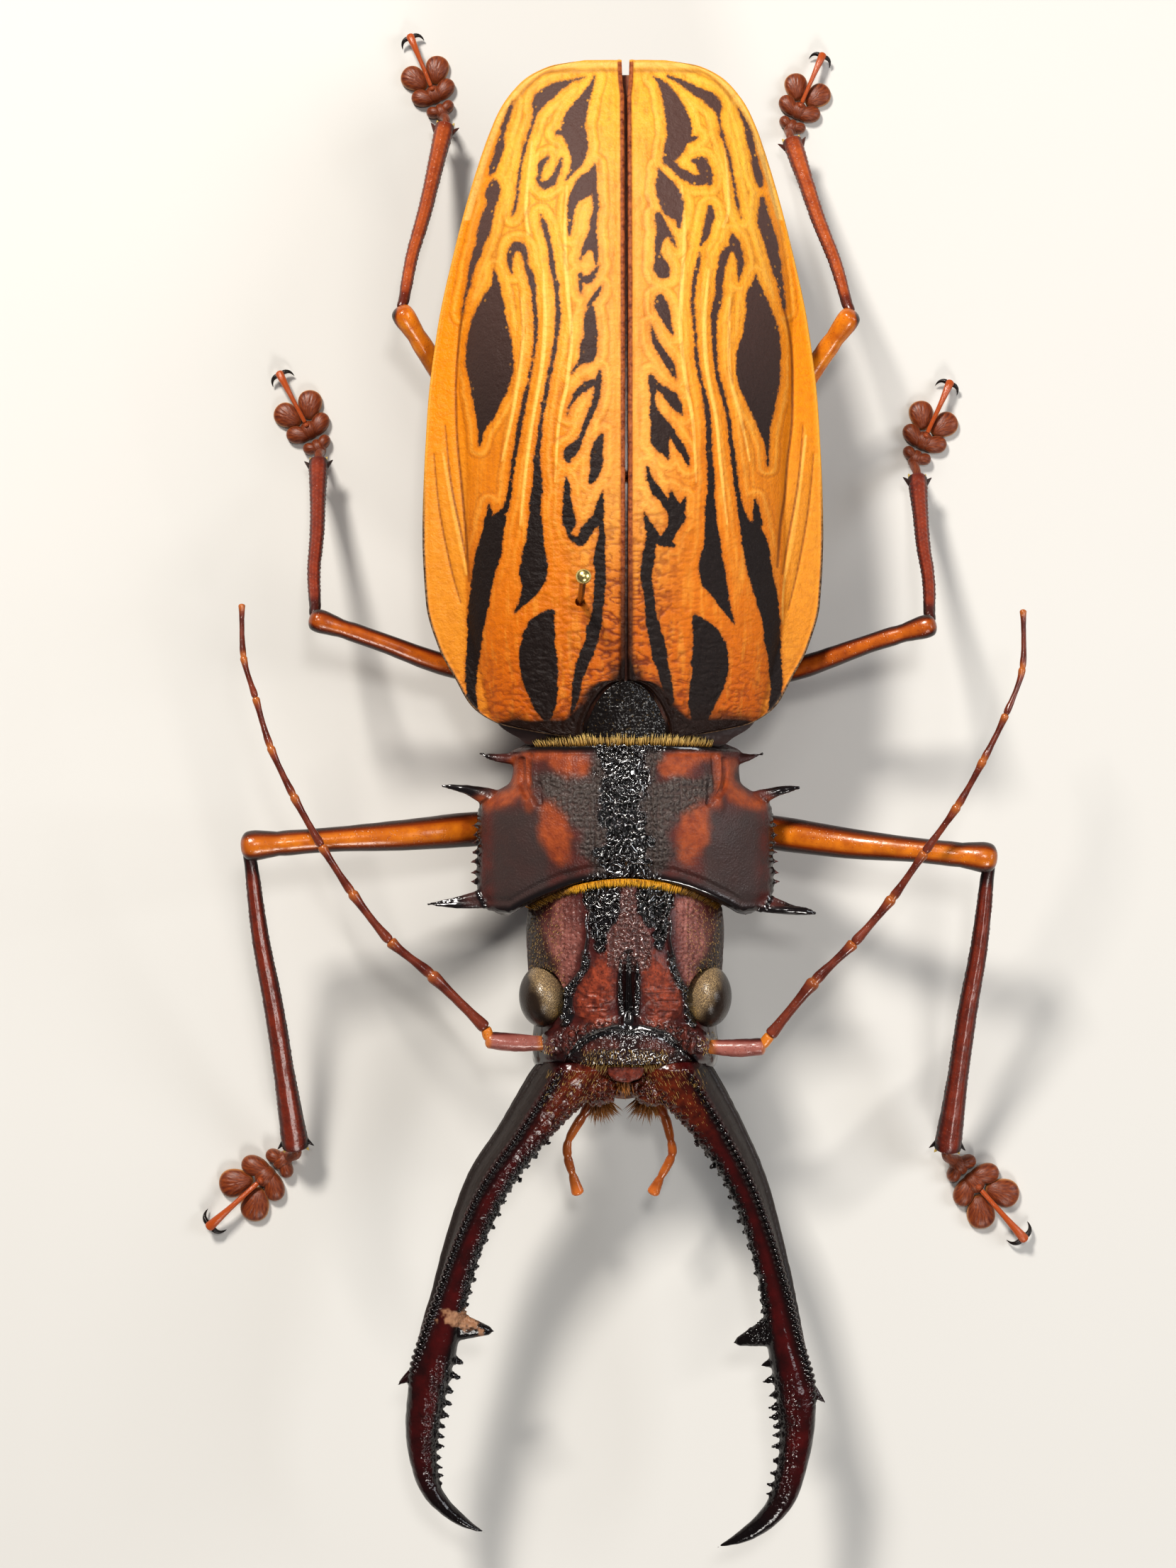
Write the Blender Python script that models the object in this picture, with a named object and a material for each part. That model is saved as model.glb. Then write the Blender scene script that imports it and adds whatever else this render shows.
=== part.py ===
# Sabertooth longhorn beetle, a large dried male on an insect pin, at life size.
# All sizes here are millimetres. The head points to -Y, the wing-case tips to +Y,
# and the feet stand on z = 0. "right" and "left" are the beetle's own sides: right is -X.

import math

import bpy
import bmesh
from mathutils import Vector

MM = 0.001
GAP = 0.3
SIDES = {"right": -1, "left": 1}

# Wing cases: outline, height of the crown, of the side edge and of the fold above the edge,
# each as (y, value) pairs.
WING_THICKNESS = 0.8
WING_NARROWER = {"right": 1.0, "left": 0.975}
WING_WIDTH = [(3.8, 6.0), (4.3, 9.4), (5.4, 14.0), (7.3, 16.7), (10.0, 18.3), (13.5, 20.2), (18.4, 21.6),
              (26.0, 22.0), (39.0, 21.5), (48.3, 20.4), (56.7, 18.6), (65.1, 16.3), (71.3, 13.9),
              (74.7, 11.3), (76.4, 8.2), (77.0, 4.4)]
WING_ROWS = [3.8, 4.3, 5.4, 6.7, 8.6, 9.7, 10.5, 13.5, 18.4, 26.0, 33.0, 40.0, 48.3, 56.7, 62.0, 67.0,
             71.3, 74.7, 76.4, 77.0]
WING_SPAN = [(3.8, 17.5), (10.0, 19.5), (18.0, 21.7), (26.0, 22.0), (39.0, 21.5), (48.3, 20.5),
             (56.7, 18.7), (65.1, 16.5), (71.3, 15.0), (77.0, 13.5)]
WING_CROWN = [(3.8, 25.2), (10.0, 26.8), (20.0, 28.2), (30.0, 28.8), (42.0, 28.4), (54.0, 26.9),
              (64.0, 24.6), (71.0, 22.3), (77.0, 19.8)]
WING_EDGE = [(3.8, 20.0), (15.0, 19.0), (30.0, 18.4), (50.0, 17.8), (77.0, 17.5)]
FOLD_RISE = [(3.8, 1.0), (15.0, 2.0), (30.0, 2.0), (50.0, 1.2), (77.0, 0.6)]
FOLD_PLACE = [(3.8, 0.80), (30.0, 0.78), (45.0, 0.86), (60.0, 0.93), (77.0, 0.95)]
SUTURE_OPENING = [(3.8, 0.16), (72.5, 0.16), (74.5, 0.34), (77.0, 0.42)]

# Shield between the wing-case bases.
SCUTELLUM_WIDTH = [(3.7, 4.1), (4.9, 4.1), (6.7, 3.3), (8.6, 1.9), (9.7, 0.5)]
SCUTELLUM_THICKNESS = 0.95
SCUTELLUM_ROOM = 0.45

# Trunk below the wing cases: rear thorax and abdomen.
THORAX_END = 31.0
THORAX_WIDTH = [(3.7, 11.5), (5.0, 13.6), (8.0, 15.2), (16.0, 17.6), (31.0, 17.8)]
ABDOMEN_START = 31.3
ABDOMEN_END = 75.6
ABDOMEN_WIDTH = [(31.3, 17.6), (45.0, 16.6), (56.0, 14.6), (65.0, 12.0), (71.0, 9.2), (74.5, 6.0),
                 (75.6, 3.6)]
ABDOMEN_JOINTS = [42.0, 50.5, 58.5, 65.0]
ABDOMEN_GROOVE = 0.35
BELLY = [(3.7, 9.6), (10.0, 8.3), (31.3, 8.1), (45.0, 9.3), (60.0, 12.0), (70.0, 14.8), (75.6, 16.9)]
TRUNK_CLEARANCE = 0.7

# Prothorax, the wide shield behind the head, with three spines a side.
SHIELD_FRONT = -15.4
SHIELD_ROWS = [3.2, 2.2, 0.6, -0.9, -2.2, -3.4, -5.0, -7.5, -10.0, -12.5, -14.3, -15.4]
SHIELD_WIDTH = [(-15.4, 13.2), (-14.3, 15.4), (-12.5, 16.0), (-5.0, 16.0), (-3.4, 15.7), (-2.2, 14.2),
                (-0.9, 12.5), (0.6, 12.3), (2.2, 12.6), (3.2, 10.8)]
SHIELD_CROWN = [(-15.4, 23.4), (-12.5, 24.8), (-7.0, 26.0), (0.0, 25.8), (3.2, 24.9)]
SHIELD_BELLY = [(-15.4, 11.2), (-10.0, 9.0), (-2.0, 8.4), (3.2, 9.8)]
SHIELD_EDGE = 18.0
NECK_ARCH = 4.0
NECK_SPAN = 12.5
SHIELD_SPINES = {
    "right": [((-11.0, 1.6), (-15.8, 2.1), 1.0), ((-13.0, -3.6), (-20.2, -1.4), 1.35),
              ((-13.6, -13.2), (-21.7, -14.2), 1.35)],
    "left": [((10.6, 1.6), (15.2, 2.2), 1.0), ((12.8, -3.6), (19.2, -1.6), 1.3),
             ((13.4, -13.4), (20.6, -15.2), 1.35)],
}
SPINE_RISE = 0.6
DENTICLE_PLACES = [-5.6, -6.6, -7.5, -8.5, -9.5, -10.7, -11.7]
DENTICLE = {"length": 0.9, "radius": 0.5}

# Head capsule.
HEAD_REAR = -15.9
HEAD_ROWS = [HEAD_REAR, -17.5, -20.0, -22.5, -25.0, -27.5, -29.5, -31.0, -31.8]
HEAD_WIDTH = [(-31.8, 9.4), (-31.0, 10.0), (-29.5, 10.2), (-27.5, 10.0), (-25.0, 10.3), (-20.0, 10.7),
              (-17.5, 10.8), (HEAD_REAR, 10.6)]
HEAD_CROWN = [(-31.8, 21.2), (-31.0, 21.7), (-28.0, 22.8), (-24.0, 24.0), (-18.0, 24.7), (HEAD_REAR, 23.9)]
HEAD_BELLY = [(-31.8, 9.0), (-25.0, 8.8), (-18.0, 9.8), (HEAD_REAR, 11.4)]
HEAD_EDGE = 16.6
TUBERCLE = [(5.6, -28.0, 20.0, 1.5, 1.8), (8.2, -29.0, 20.4, 1.2, 1.5)]
EYE_CENTRE = (9.25, -24.1, 18.0)
EYE_SIZE = (2.25, 3.1, 4.3)
SOCKET_CENTRE = (10.9, -29.5, 18.8)
SOCKET_SIZE = (3.0, 2.1, 2.4)
LABRUM = {"width": 3.2, "rear": -32.15, "front": -34.0, "bottom": 20.2, "top": 21.1}
LABIUM = {"width": 6.2, "rear": -32.15, "front": -37.6, "bottom": 9.3, "top": 12.1}

# Mandibles: (x, y, half width, half depth) from the root to the tip, in one level plane.
MANDIBLE_LEVEL = 16.6
MANDIBLES = {
    "right": [(-5.4, -32.15, 4.6, 3.9), (-11.1, -38.9, 2.6, 3.4), (-15.2, -44.6, 2.1, 2.9),
              (-17.7, -51.1, 1.95, 2.5), (-19.2, -57.0, 2.0, 2.3), (-20.2, -61.2, 2.2, 2.3),
              (-21.6, -67.4, 2.1, 2.1), (-22.2, -72.5, 1.7, 1.9), (-21.6, -77.1, 1.2, 1.5),
              (-20.0, -79.7, 0.9, 1.2), (-17.6, -81.7, 0.55, 0.8), (-15.2, -82.9, 0.0, 0.0)],
    "left": [(5.2, -32.15, 4.4, 3.9), (10.3, -39.1, 2.8, 3.4), (13.2, -44.4, 2.2, 2.9),
             (15.2, -50.4, 1.9, 2.5), (16.7, -56.8, 1.85, 2.3), (17.4, -61.5, 2.05, 2.3),
             (18.6, -68.0, 2.1, 2.1), (18.7, -72.6, 1.8, 1.9), (17.5, -78.3, 1.45, 1.5),
             (15.5, -81.3, 1.1, 1.2), (12.9, -83.2, 0.7, 0.8), (9.9, -84.5, 0.0, 0.0)],
}
BIG_TOOTH = {"right": ((-19.6, -60.2), (-14.2, -60.9), 1.25), "left": ((17.0, -60.6), (11.7, -62.2), 1.25)}
OUTER_SPUR = {"right": ((-20.9, -64.0), (-24.9, -66.8), 1.2), "left": ((17.9, -64.8), (21.9, -68.8), 1.2)}
LOW_TEETH = {"from": 0.12, "to": 0.50, "count": 7, "height": 0.55, "radius": 0.75}
SAW_TEETH = {"from": 0.60, "to": 0.84, "count": 6, "height": 1.0, "radius": 0.8}

# Mouth feelers: (x, y, z, radius).
PALPS = {
    "right": [(-4.6, -37.9, 11.6, 0.6), (-6.2, -40.6, 12.3, 0.5), (-6.3, -42.4, 12.3, 0.55),
              (-5.8, -44.3, 12.0, 0.5), (-5.2, -46.4, 11.6, 0.75)],
    "left": [(4.4, -37.9, 11.6, 0.6), (5.1, -40.6, 12.3, 0.5), (5.2, -42.3, 12.3, 0.55),
             (4.0, -44.7, 12.0, 0.5), (3.2, -46.4, 11.6, 0.75)],
}

# Antennae: the joints from the head outwards.
SCAPES = {"right": [(-8.9, -29.3, 18.6), (-11.9, -29.2, 18.9), (-14.7, -28.9, 19.2)],
          "left": [(9.2, -29.7, 18.6), (12.1, -29.8, 18.9), (14.7, -29.6, 19.2)]}
ANTENNAE = {
    "right": [(-15.1, -27.6, 19.6), (-21.0, -21.7, 20.6), (-25.4, -18.0, 21.3), (-29.4, -12.8, 22.0),
              (-32.6, -7.7, 23.0), (-35.5, -2.4, 23.6), (-37.9, 2.8, 24.0), (-39.5, 8.1, 24.0),
              (-40.8, 12.4, 23.6), (-41.1, 18.1, 22.6)],
    "left": [(15.6, -28.4, 19.6), (20.4, -22.4, 20.6), (24.6, -18.2, 21.3), (28.6, -13.4, 22.0),
             (32.0, -8.4, 23.0), (35.4, -3.5, 23.6), (38.1, 1.4, 24.0), (40.5, 6.3, 24.0),
             (42.3, 11.2, 23.6), (42.5, 17.5, 22.6)],
}
ANTENNA_RADIUS = [0.72, 0.66, 0.62, 0.58, 0.54, 0.48, 0.44, 0.40, 0.38, 0.36]
ANTENNA_KNOB = 1.32
ANTENNA_LENGTHS = {"inner": (0, 2), "middle": (2, 4), "outer": (4, 7), "tip": (7, 9)}

# Legs: hip, bends of the thigh, knee, ankle, and the heel point, turn and size of the foot.
LEGS = {
    "fore_right": {"coxa": (-7.8, -6.0, 5.6), "thigh": [(-11.2, -6.0, 6.9), (-16.6, -6.2, 12.0),
                                                         (-24.5, -6.8, 16.6), (-33.0, -7.3, 18.9)],
                   "knee": (-40.7, -7.9, 20.0), "ankle": (-37.2, -42.2, 4.3),
                   "heel": (-37.8, -43.2), "turn": 222.0, "size": 1.0,
                   "thigh_width": [1.5, 1.95, 1.7, 1.35, 1.6], "shin_width": [0.75, 0.95, 1.1, 1.2, 1.6]},
    "fore_left": {"coxa": (7.8, -6.0, 5.6), "thigh": [(11.2, -6.1, 6.9), (16.6, -6.6, 12.0),
                                                       (24.5, -7.7, 16.6), (32.0, -8.4, 18.9)],
                  "knee": (39.3, -9.2, 20.0), "ankle": (36.7, -42.4, 4.3),
                  "heel": (37.3, -43.6), "turn": -48.4, "size": 1.0,
                  "thigh_width": [1.5, 1.95, 1.7, 1.35, 1.6], "shin_width": [0.75, 0.95, 1.1, 1.2, 1.6]},
    "mid_right": {"coxa": (-7.6, 9.6, 5.6), "thigh": [(-10.8, 10.4, 6.7), (-14.5, 10.9, 9.0),
                                                       (-20.4, 12.1, 13.4), (-27.2, 14.5, 16.7)],
                  "knee": (-33.6, 16.6, 19.0), "ankle": (-34.6, 35.3, 4.2),
                  "heel": (-34.3, 36.1), "turn": 117.6, "size": 0.85,
                  "thigh_width": [1.2, 1.3, 1.25, 1.05, 1.2], "shin_width": [0.65, 0.72, 0.8, 0.9, 1.15]},
    "mid_left": {"coxa": (7.6, 9.4, 5.6), "thigh": [(10.8, 10.1, 6.7), (14.5, 10.6, 9.0),
                                                     (20.0, 11.8, 13.4), (26.6, 14.1, 16.7)],
                 "knee": (33.0, 16.0, 19.0), "ankle": (33.3, 33.4, 4.2),
                 "heel": (32.9, 34.8), "turn": 65.8, "size": 0.85,
                 "thigh_width": [1.2, 1.3, 1.25, 1.05, 1.2], "shin_width": [0.65, 0.72, 0.8, 0.9, 1.15]},
    "hind_right": {"coxa": (-7.4, 26.6, 5.4), "thigh": [(-10.6, 28.2, 6.5), (-14.6, 34.5, 8.6),
                                                         (-18.3, 40.8, 11.0), (-21.4, 45.7, 14.0)],
                   "knee": (-24.4, 50.2, 17.0), "ankle": (-20.3, 73.3, 4.2),
                   "heel": (-20.3, 74.5), "turn": 112.6, "size": 0.83,
                   "thigh_width": [1.15, 1.25, 1.2, 1.15, 1.15], "shin_width": [0.62, 0.7, 0.8, 0.9, 1.15]},
    "hind_left": {"coxa": (7.4, 26.4, 5.4), "thigh": [(10.6, 28.0, 6.5), (14.6, 34.3, 8.6),
                                                       (18.3, 40.6, 11.0), (21.4, 45.4, 14.0)],
                  "knee": (24.6, 49.8, 17.0), "ankle": (19.1, 71.6, 4.2),
                  "heel": (18.7, 72.8), "turn": 66.5, "size": 0.8,
                  "thigh_width": [1.15, 1.25, 1.2, 1.15, 1.15], "shin_width": [0.62, 0.7, 0.8, 0.9, 1.15]},
}
COXA_SIZE = (3.1, 3.3, 2.35)
# Foot pads as (distance from the heel, sideways, half length, half width, sole height, top height).
FOOT_PADS = [(1.5, 0.0, 1.8, 1.25, 0.14, 1.9), (4.3, 0.0, 1.7, 1.6, 0.07, 1.7),
             (6.7, 1.4, 1.9, 1.15, 0.0, 1.5), (6.7, -1.4, 1.9, 1.15, 0.0, 1.5)]
CLAW_STALK = [(5.6, 1.0, 0.42), (8.0, 1.75, 0.36), (10.4, 1.9, 0.42), (12.2, 1.6, 0.58)]
CLAW = {"root": 11.7, "spread": 1.1, "reach": 13.7, "radius": 0.42}

# Insect pin: it goes down through the right wing case and the thorax.
PIN_TOP = (-4.5, 19.7, 41.0)
PIN_LOW = (-5.5, 15.2, 2.0)
PIN_RADIUS = 0.35
PIN_BORE = 0.7
PIN_HEAD_RADIUS = 0.8

COLOURS = {
    "wing": ((0.55, 0.20, 0.02), 0.38), "shell": ((0.09, 0.012, 0.010), 0.35),
    "black": ((0.012, 0.009, 0.009), 0.3), "mandible": ((0.14, 0.012, 0.012), 0.3),
    "eye": ((0.10, 0.085, 0.07), 0.25), "leg": ((0.32, 0.085, 0.015), 0.35),
    "shin": ((0.16, 0.03, 0.012), 0.35), "foot": ((0.30, 0.10, 0.03), 0.7),
    "feeler": ((0.30, 0.06, 0.03), 0.35), "belly": ((0.20, 0.06, 0.02), 0.5),
    "brass": ((0.75, 0.50, 0.16), 0.25),
}


# Smooth value of a profile, given as (position, value) pairs in rising order.
def curve_at(pairs, at):
    if at <= pairs[0][0]:
        return pairs[0][1]
    if at >= pairs[-1][0]:
        return pairs[-1][1]
    index = max(i for i in range(len(pairs) - 1) if pairs[i][0] <= at)
    steps = [(after[1] - before[1]) / (after[0] - before[0]) for before, after in zip(pairs, pairs[1:])]

    def slope(i):
        if i == 0 or i == len(pairs) - 1:
            return steps[min(i, len(steps) - 1)]
        if steps[i - 1] * steps[i] <= 0:
            return 0.0
        return 2 * steps[i - 1] * steps[i] / (steps[i - 1] + steps[i])

    low, high = pairs[index], pairs[index + 1]
    width = high[0] - low[0]
    t = (at - low[0]) / width
    start, end = slope(index) * width, slope(index + 1) * width
    return (low[1] * (2 * t ** 3 - 3 * t * t + 1) + start * (t ** 3 - 2 * t * t + t)
            + high[1] * (3 * t * t - 2 * t ** 3) + end * (t ** 3 - t * t))


# Smooth line through the given tuples, read at an even count of places.
def trace(points, count):
    def at(t):
        i = min(int(t), len(points) - 2)
        f = t - i
        before = points[max(i - 1, 0)]
        after = points[min(i + 2, len(points) - 1)]
        return tuple(0.5 * (2 * b + (c - a) * f + (2 * a - 5 * b + 4 * c - d) * f * f
                            + (3 * b - a - 3 * c + d) * f ** 3)
                     for a, b, c, d in zip(before, points[i], points[i + 1], after))
    return [at((len(points) - 1) * i / (count - 1)) for i in range(count)]


# An object from points in millimetres and faces by index, with its faces turned outwards.
def make_object(name, points, faces):
    bm = bmesh.new()
    made = [bm.verts.new(Vector(p) * MM) for p in points]
    for face in faces:
        bm.faces.new([made[i] for i in face])
    bmesh.ops.recalc_face_normals(bm, faces=bm.faces)
    mesh = bpy.data.meshes.new(name)
    bm.to_mesh(mesh)
    bm.free()
    obj = bpy.data.objects.new(name, mesh)
    bpy.context.scene.collection.objects.link(obj)
    return obj


# A closed skin over rings of points. An end that is a single point is a tip.
def make_skin(name, rings):
    points, faces, starts = [], [], []
    for ring in rings:
        starts.append(len(points))
        points.extend(ring)
    for i in range(len(rings) - 1):
        a, b = starts[i], starts[i + 1]
        many = max(len(rings[i]), len(rings[i + 1]))
        for k in range(many):
            n = (k + 1) % many
            if len(rings[i]) == 1:
                faces.append((a, b + k, b + n))
            elif len(rings[i + 1]) == 1:
                faces.append((a + k, b, a + n))
            else:
                faces.append((a + k, b + k, b + n))
                faces.append((a + k, b + n, a + n))
    for ring, start in ((rings[0], starts[0]), (rings[-1], starts[-1])):
        if len(ring) > 1:
            points.append(tuple(sum(p[i] for p in ring) / len(ring) for i in range(3)))
            faces.extend((start + k, start + (k + 1) % len(ring), len(points) - 1) for k in range(len(ring)))
    return make_object(name, points, faces)


# A limb of oval section along stations (x, y, z, half width, half height).
# square_start turns the first sections gradually to a first one that faces along Y.
def make_limb(name, stations, sides=8, square_start=0):
    rings = []
    for i, (x, y, z, wide, high) in enumerate(stations):
        here = Vector((x, y, z))
        if wide < 0.02:
            rings.append([tuple(here)])
            continue
        ahead = Vector(stations[min(i + 1, len(stations) - 1)][:3])
        behind = Vector(stations[max(i - 1, 0)][:3])
        along = (ahead - behind).normalized()
        across = along.cross(Vector((0, 0, 1))).normalized()
        if i < square_start:
            straight = Vector((math.copysign(1.0, across.x), 0, 0))
            across = straight.lerp(across, i / square_start).normalized()
            along = Vector((0, 0, 1)).cross(across)
        up = across.cross(along).normalized()
        turns = [2 * math.pi * k / sides for k in range(sides)]
        rings.append([tuple(here + across * wide * math.cos(a) + up * high * math.sin(a)) for a in turns])
    return make_skin(name, rings)


# Rounded ends for a list of stations: each end gets one smaller ring further out.
def round_ends(stations, share=0.62, reach=0.45):
    first, last = Vector(stations[0][:3]), Vector(stations[-1][:3])
    out_first = (first - Vector(stations[1][:3])).normalized()
    out_last = (last - Vector(stations[-2][:3])).normalized()
    head = tuple(first + out_first * stations[0][3] * reach)
    tail = tuple(last + out_last * stations[-1][3] * reach)
    return ([head + tuple(v * share for v in stations[0][3:])] + stations
            + [tail + tuple(v * share for v in stations[-1][3:])])


# A thorn that tapers from a sunk root to a point, slightly bent by the middle point's shift.
def make_thorn(name, root, tip, radius, sides=6, shift=(0, 0, 0)):
    root, tip = Vector(root), Vector(tip)
    middle = root.lerp(tip, 0.55) + Vector(shift)
    return make_limb(name, [tuple(root) + (radius, radius), tuple(middle) + (radius * 0.62, radius * 0.62),
                            tuple(tip) + (0.0, 0.0)], sides)


# An oval ball.
def make_ball(name, centre, size, sides=14, rows=8):
    rings = []
    for i in range(rows + 1):
        tilt = math.pi * i / rows - math.pi / 2
        z = centre[2] + size[2] * math.sin(tilt)
        if i in (0, rows):
            rings.append([(centre[0], centre[1], z)])
            continue
        rings.append([(centre[0] + size[0] * math.cos(tilt) * math.cos(2 * math.pi * k / sides),
                       centre[1] + size[1] * math.cos(tilt) * math.sin(2 * math.pi * k / sides), z)
                      for k in range(sides)])
    return make_skin(name, rings)


# The mesh of an object with one Boolean applied.
def boolean_mesh(target, operation, operand=None, group=None):
    step = target.modifiers.new(operation, "BOOLEAN")
    step.operation = operation
    step.solver = "EXACT"
    if group is None:
        step.object = operand
    else:
        step.operand_type = "COLLECTION"
        step.collection = group
    graph = bpy.context.evaluated_depsgraph_get()
    mesh = bpy.data.meshes.new_from_object(target.evaluated_get(graph))
    target.modifiers.remove(step)
    return mesh


# Only the largest closed surface of a mesh, without degenerate faces.
def keep_largest(mesh):
    bm = bmesh.new()
    bm.from_mesh(mesh)
    bmesh.ops.triangulate(bm, faces=bm.faces)
    bmesh.ops.dissolve_degenerate(bm, dist=2e-6, edges=bm.edges)
    bmesh.ops.triangulate(bm, faces=bm.faces)
    groups, seen = [], set()
    for start in bm.verts:
        if start in seen:
            continue
        found, waiting = [], [start]
        seen.add(start)
        while waiting:
            vert = waiting.pop()
            found.append(vert)
            for edge in vert.link_edges:
                other = edge.other_vert(vert)
                if other not in seen:
                    seen.add(other)
                    waiting.append(other)
        groups.append(found)

    def reach(group):
        spans = [max(v.co[i] for v in group) - min(v.co[i] for v in group) for i in range(3)]
        return math.sqrt(sum(s * s for s in spans))

    groups.sort(key=reach, reverse=True)
    for group in groups[1:]:
        bmesh.ops.delete(bm, geom=group, context="VERTS")
    bm.to_mesh(mesh)
    bm.free()


# One closed node from several overlapping closed pieces.
def fuse(name, pieces):
    if len(pieces) > 1:
        group = bpy.data.collections.new(name + "_pieces")
        for piece in pieces[1:]:
            group.objects.link(piece)
        mesh = boolean_mesh(pieces[0], "UNION", group=group)
        for piece in pieces:
            bpy.data.objects.remove(piece, do_unlink=True)
        bpy.data.collections.remove(group)
    else:
        mesh = pieces[0].data.copy()
        bpy.data.objects.remove(pieces[0], do_unlink=True)
    keep_largest(mesh)
    mesh.name = name
    obj = bpy.data.objects.new(name, mesh)
    bpy.context.scene.collection.objects.link(obj)
    return obj


# A node with room cut into it.
def carve(obj, cutter):
    mesh = boolean_mesh(obj, "DIFFERENCE", operand=cutter)
    bpy.data.objects.remove(cutter, do_unlink=True)
    keep_largest(mesh)
    obj.data = mesh


def paint(obj, finish, metallic=0.0):
    colour, roughness = COLOURS[finish]
    material = bpy.data.materials.new(obj.name)
    material.use_nodes = True
    shader = material.node_tree.nodes["Principled BSDF"]
    shader.inputs["Base Color"].default_value = (*colour, 1.0)
    shader.inputs["Roughness"].default_value = roughness
    shader.inputs["Metallic"].default_value = metallic
    obj.data.materials.clear()
    obj.data.materials.append(material)
    obj.data.shade_smooth()
    obj.data.set_sharp_from_angle(angle=math.radians(38))


# Height of the wing cases' outer face above the floor.
def wing_height(x, y):
    share = min(abs(x) / curve_at(WING_SPAN, y), 1.0)
    crown, edge = curve_at(WING_CROWN, y), curve_at(WING_EDGE, y)
    rise, place = curve_at(FOLD_RISE, y), curve_at(FOLD_PLACE, y)
    if share < place:
        return edge + rise + (crown - edge - rise) * (1 - (share / place) ** 2.3) ** 0.75
    return edge + rise * (1 - ((share - place) / (1 - place)) ** 0.8)


def wing_inner_edge(y):
    if y <= SCUTELLUM_WIDTH[-1][0]:
        return curve_at(SCUTELLUM_WIDTH, y) + SCUTELLUM_ROOM
    return curve_at(SUTURE_OPENING, y)


# A wing case: a thin curved shell, closed round its rim.
def make_wing_case(side):
    sign = SIDES[side]
    across = 9
    columns = []
    for y in WING_ROWS:
        inner = wing_inner_edge(y)
        outer = curve_at(WING_WIDTH, y) * WING_NARROWER[side]
        columns.append([inner + (outer - inner) * (k / (across - 1)) for k in range(across)])
    points, faces = [], []
    for drop in (0.0, WING_THICKNESS):
        for y, column in zip(WING_ROWS, columns):
            points.extend((sign * x, y, wing_height(x, y) - drop) for x in column)
    half = len(points) // 2
    rows = len(WING_ROWS)
    for i in range(rows - 1):
        for k in range(across - 1):
            a, b = i * across + k, (i + 1) * across + k
            for lower in (0, half):
                faces.append((a + lower, a + 1 + lower, b + 1 + lower))
                faces.append((a + lower, b + 1 + lower, b + lower))
    rim = ([i for i in range(across)] + [i * across + across - 1 for i in range(1, rows)]
           + [(rows - 1) * across + k for k in range(across - 2, -1, -1)]
           + [i * across for i in range(rows - 2, 0, -1)])
    for a, b in zip(rim, rim[1:] + rim[:1]):
        faces.append((a, b, b + half))
        faces.append((a, b + half, a + half))
    return make_object("elytron_" + side, points, faces)


# Part of the trunk under the wing cases, between two places along the body.
def make_trunk(name, rows, widths, sides=24, grooves=()):
    rings = []
    for y in rows:
        pinch = ABDOMEN_GROOVE if y in grooves else 0.0
        wide = curve_at(widths, y) - pinch
        belly = curve_at(BELLY, y) + pinch
        lid = WING_THICKNESS + TRUNK_CLEARANCE
        side_height = wing_height(wide, y) - lid
        ring = []
        for k in range(sides):
            turn = 2 * math.pi * k / sides
            x = wide * math.cos(turn)
            lift = math.sin(turn)
            if lift > 1e-6:
                z = wing_height(x, y) - lid
            else:
                z = side_height - (side_height - belly) * abs(lift) ** 0.8
            ring.append((x, y, z))
        rings.append(ring)
    return make_skin(name, rings)


# A body section with a sharp side edge, such as the shield or the head, at one place along Y.
# bow(x) shifts the points of the section along the body.
def keel_ring(y, wide, crown, edge, belly, bow, sides=28):
    ring = []
    for k in range(sides):
        turn = 2 * math.pi * k / sides
        x = wide * math.cos(turn)
        share = abs(math.cos(turn))
        round_off = max(0.0, 1 - share ** 2.2)
        if math.sin(turn) > 1e-6:
            z = edge + (crown - edge) * round_off ** 0.72
        elif math.sin(turn) < -1e-6:
            z = edge - (edge - belly) * round_off ** 0.62
        else:
            z = edge
        ring.append((x, y + bow(x), z))
    return ring


# Smaller copies of an end ring, so that the end face follows the bow of the neck.
def bowed_end(ring, y, shares=(0.68, 0.34)):
    middle = sum(p[2] for p in ring) / len(ring)
    return [[(x * s, y + neck_bow(x * s), middle + (z - middle) * s) for x, _, z in ring] for s in shares]


def neck_bow(x):
    return NECK_ARCH * max(0.0, 1 - (x / NECK_SPAN) ** 2)


def build_trunk():
    rows = [row for row in WING_ROWS if row < THORAX_END] + [THORAX_END]
    thorax = fuse("thorax", [make_trunk("thorax_body", rows, THORAX_WIDTH)])
    rows = [ABDOMEN_START] + [row for row in WING_ROWS if ABDOMEN_START < row < ABDOMEN_END] + [ABDOMEN_END]
    for joint in ABDOMEN_JOINTS:
        rows += [joint - 0.5, joint, joint + 0.5]
    abdomen = make_trunk("abdomen_body", sorted(rows), ABDOMEN_WIDTH, grooves=ABDOMEN_JOINTS)
    return thorax, fuse("abdomen", [abdomen])


def build_scutellum():
    rings = []
    for y in [row for row in WING_ROWS if row <= SCUTELLUM_WIDTH[-1][0]]:
        wide = curve_at(SCUTELLUM_WIDTH, y)
        ring = []
        for level, count in ((0.12, 1), (-1.0, -1)):
            for k in range(5):
                x = wide * (k / 2 - 1) * count
                top = wing_height(x, y) + level * (1 if level > 0 else SCUTELLUM_THICKNESS)
                dome = 0.35 * (1 - (x / wide) ** 2) if level > 0 else 0.0
                ring.append((x, y, top + dome))
        rings.append(ring)
    return fuse("scutellum", [make_skin("scutellum_body", rings)])


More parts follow.
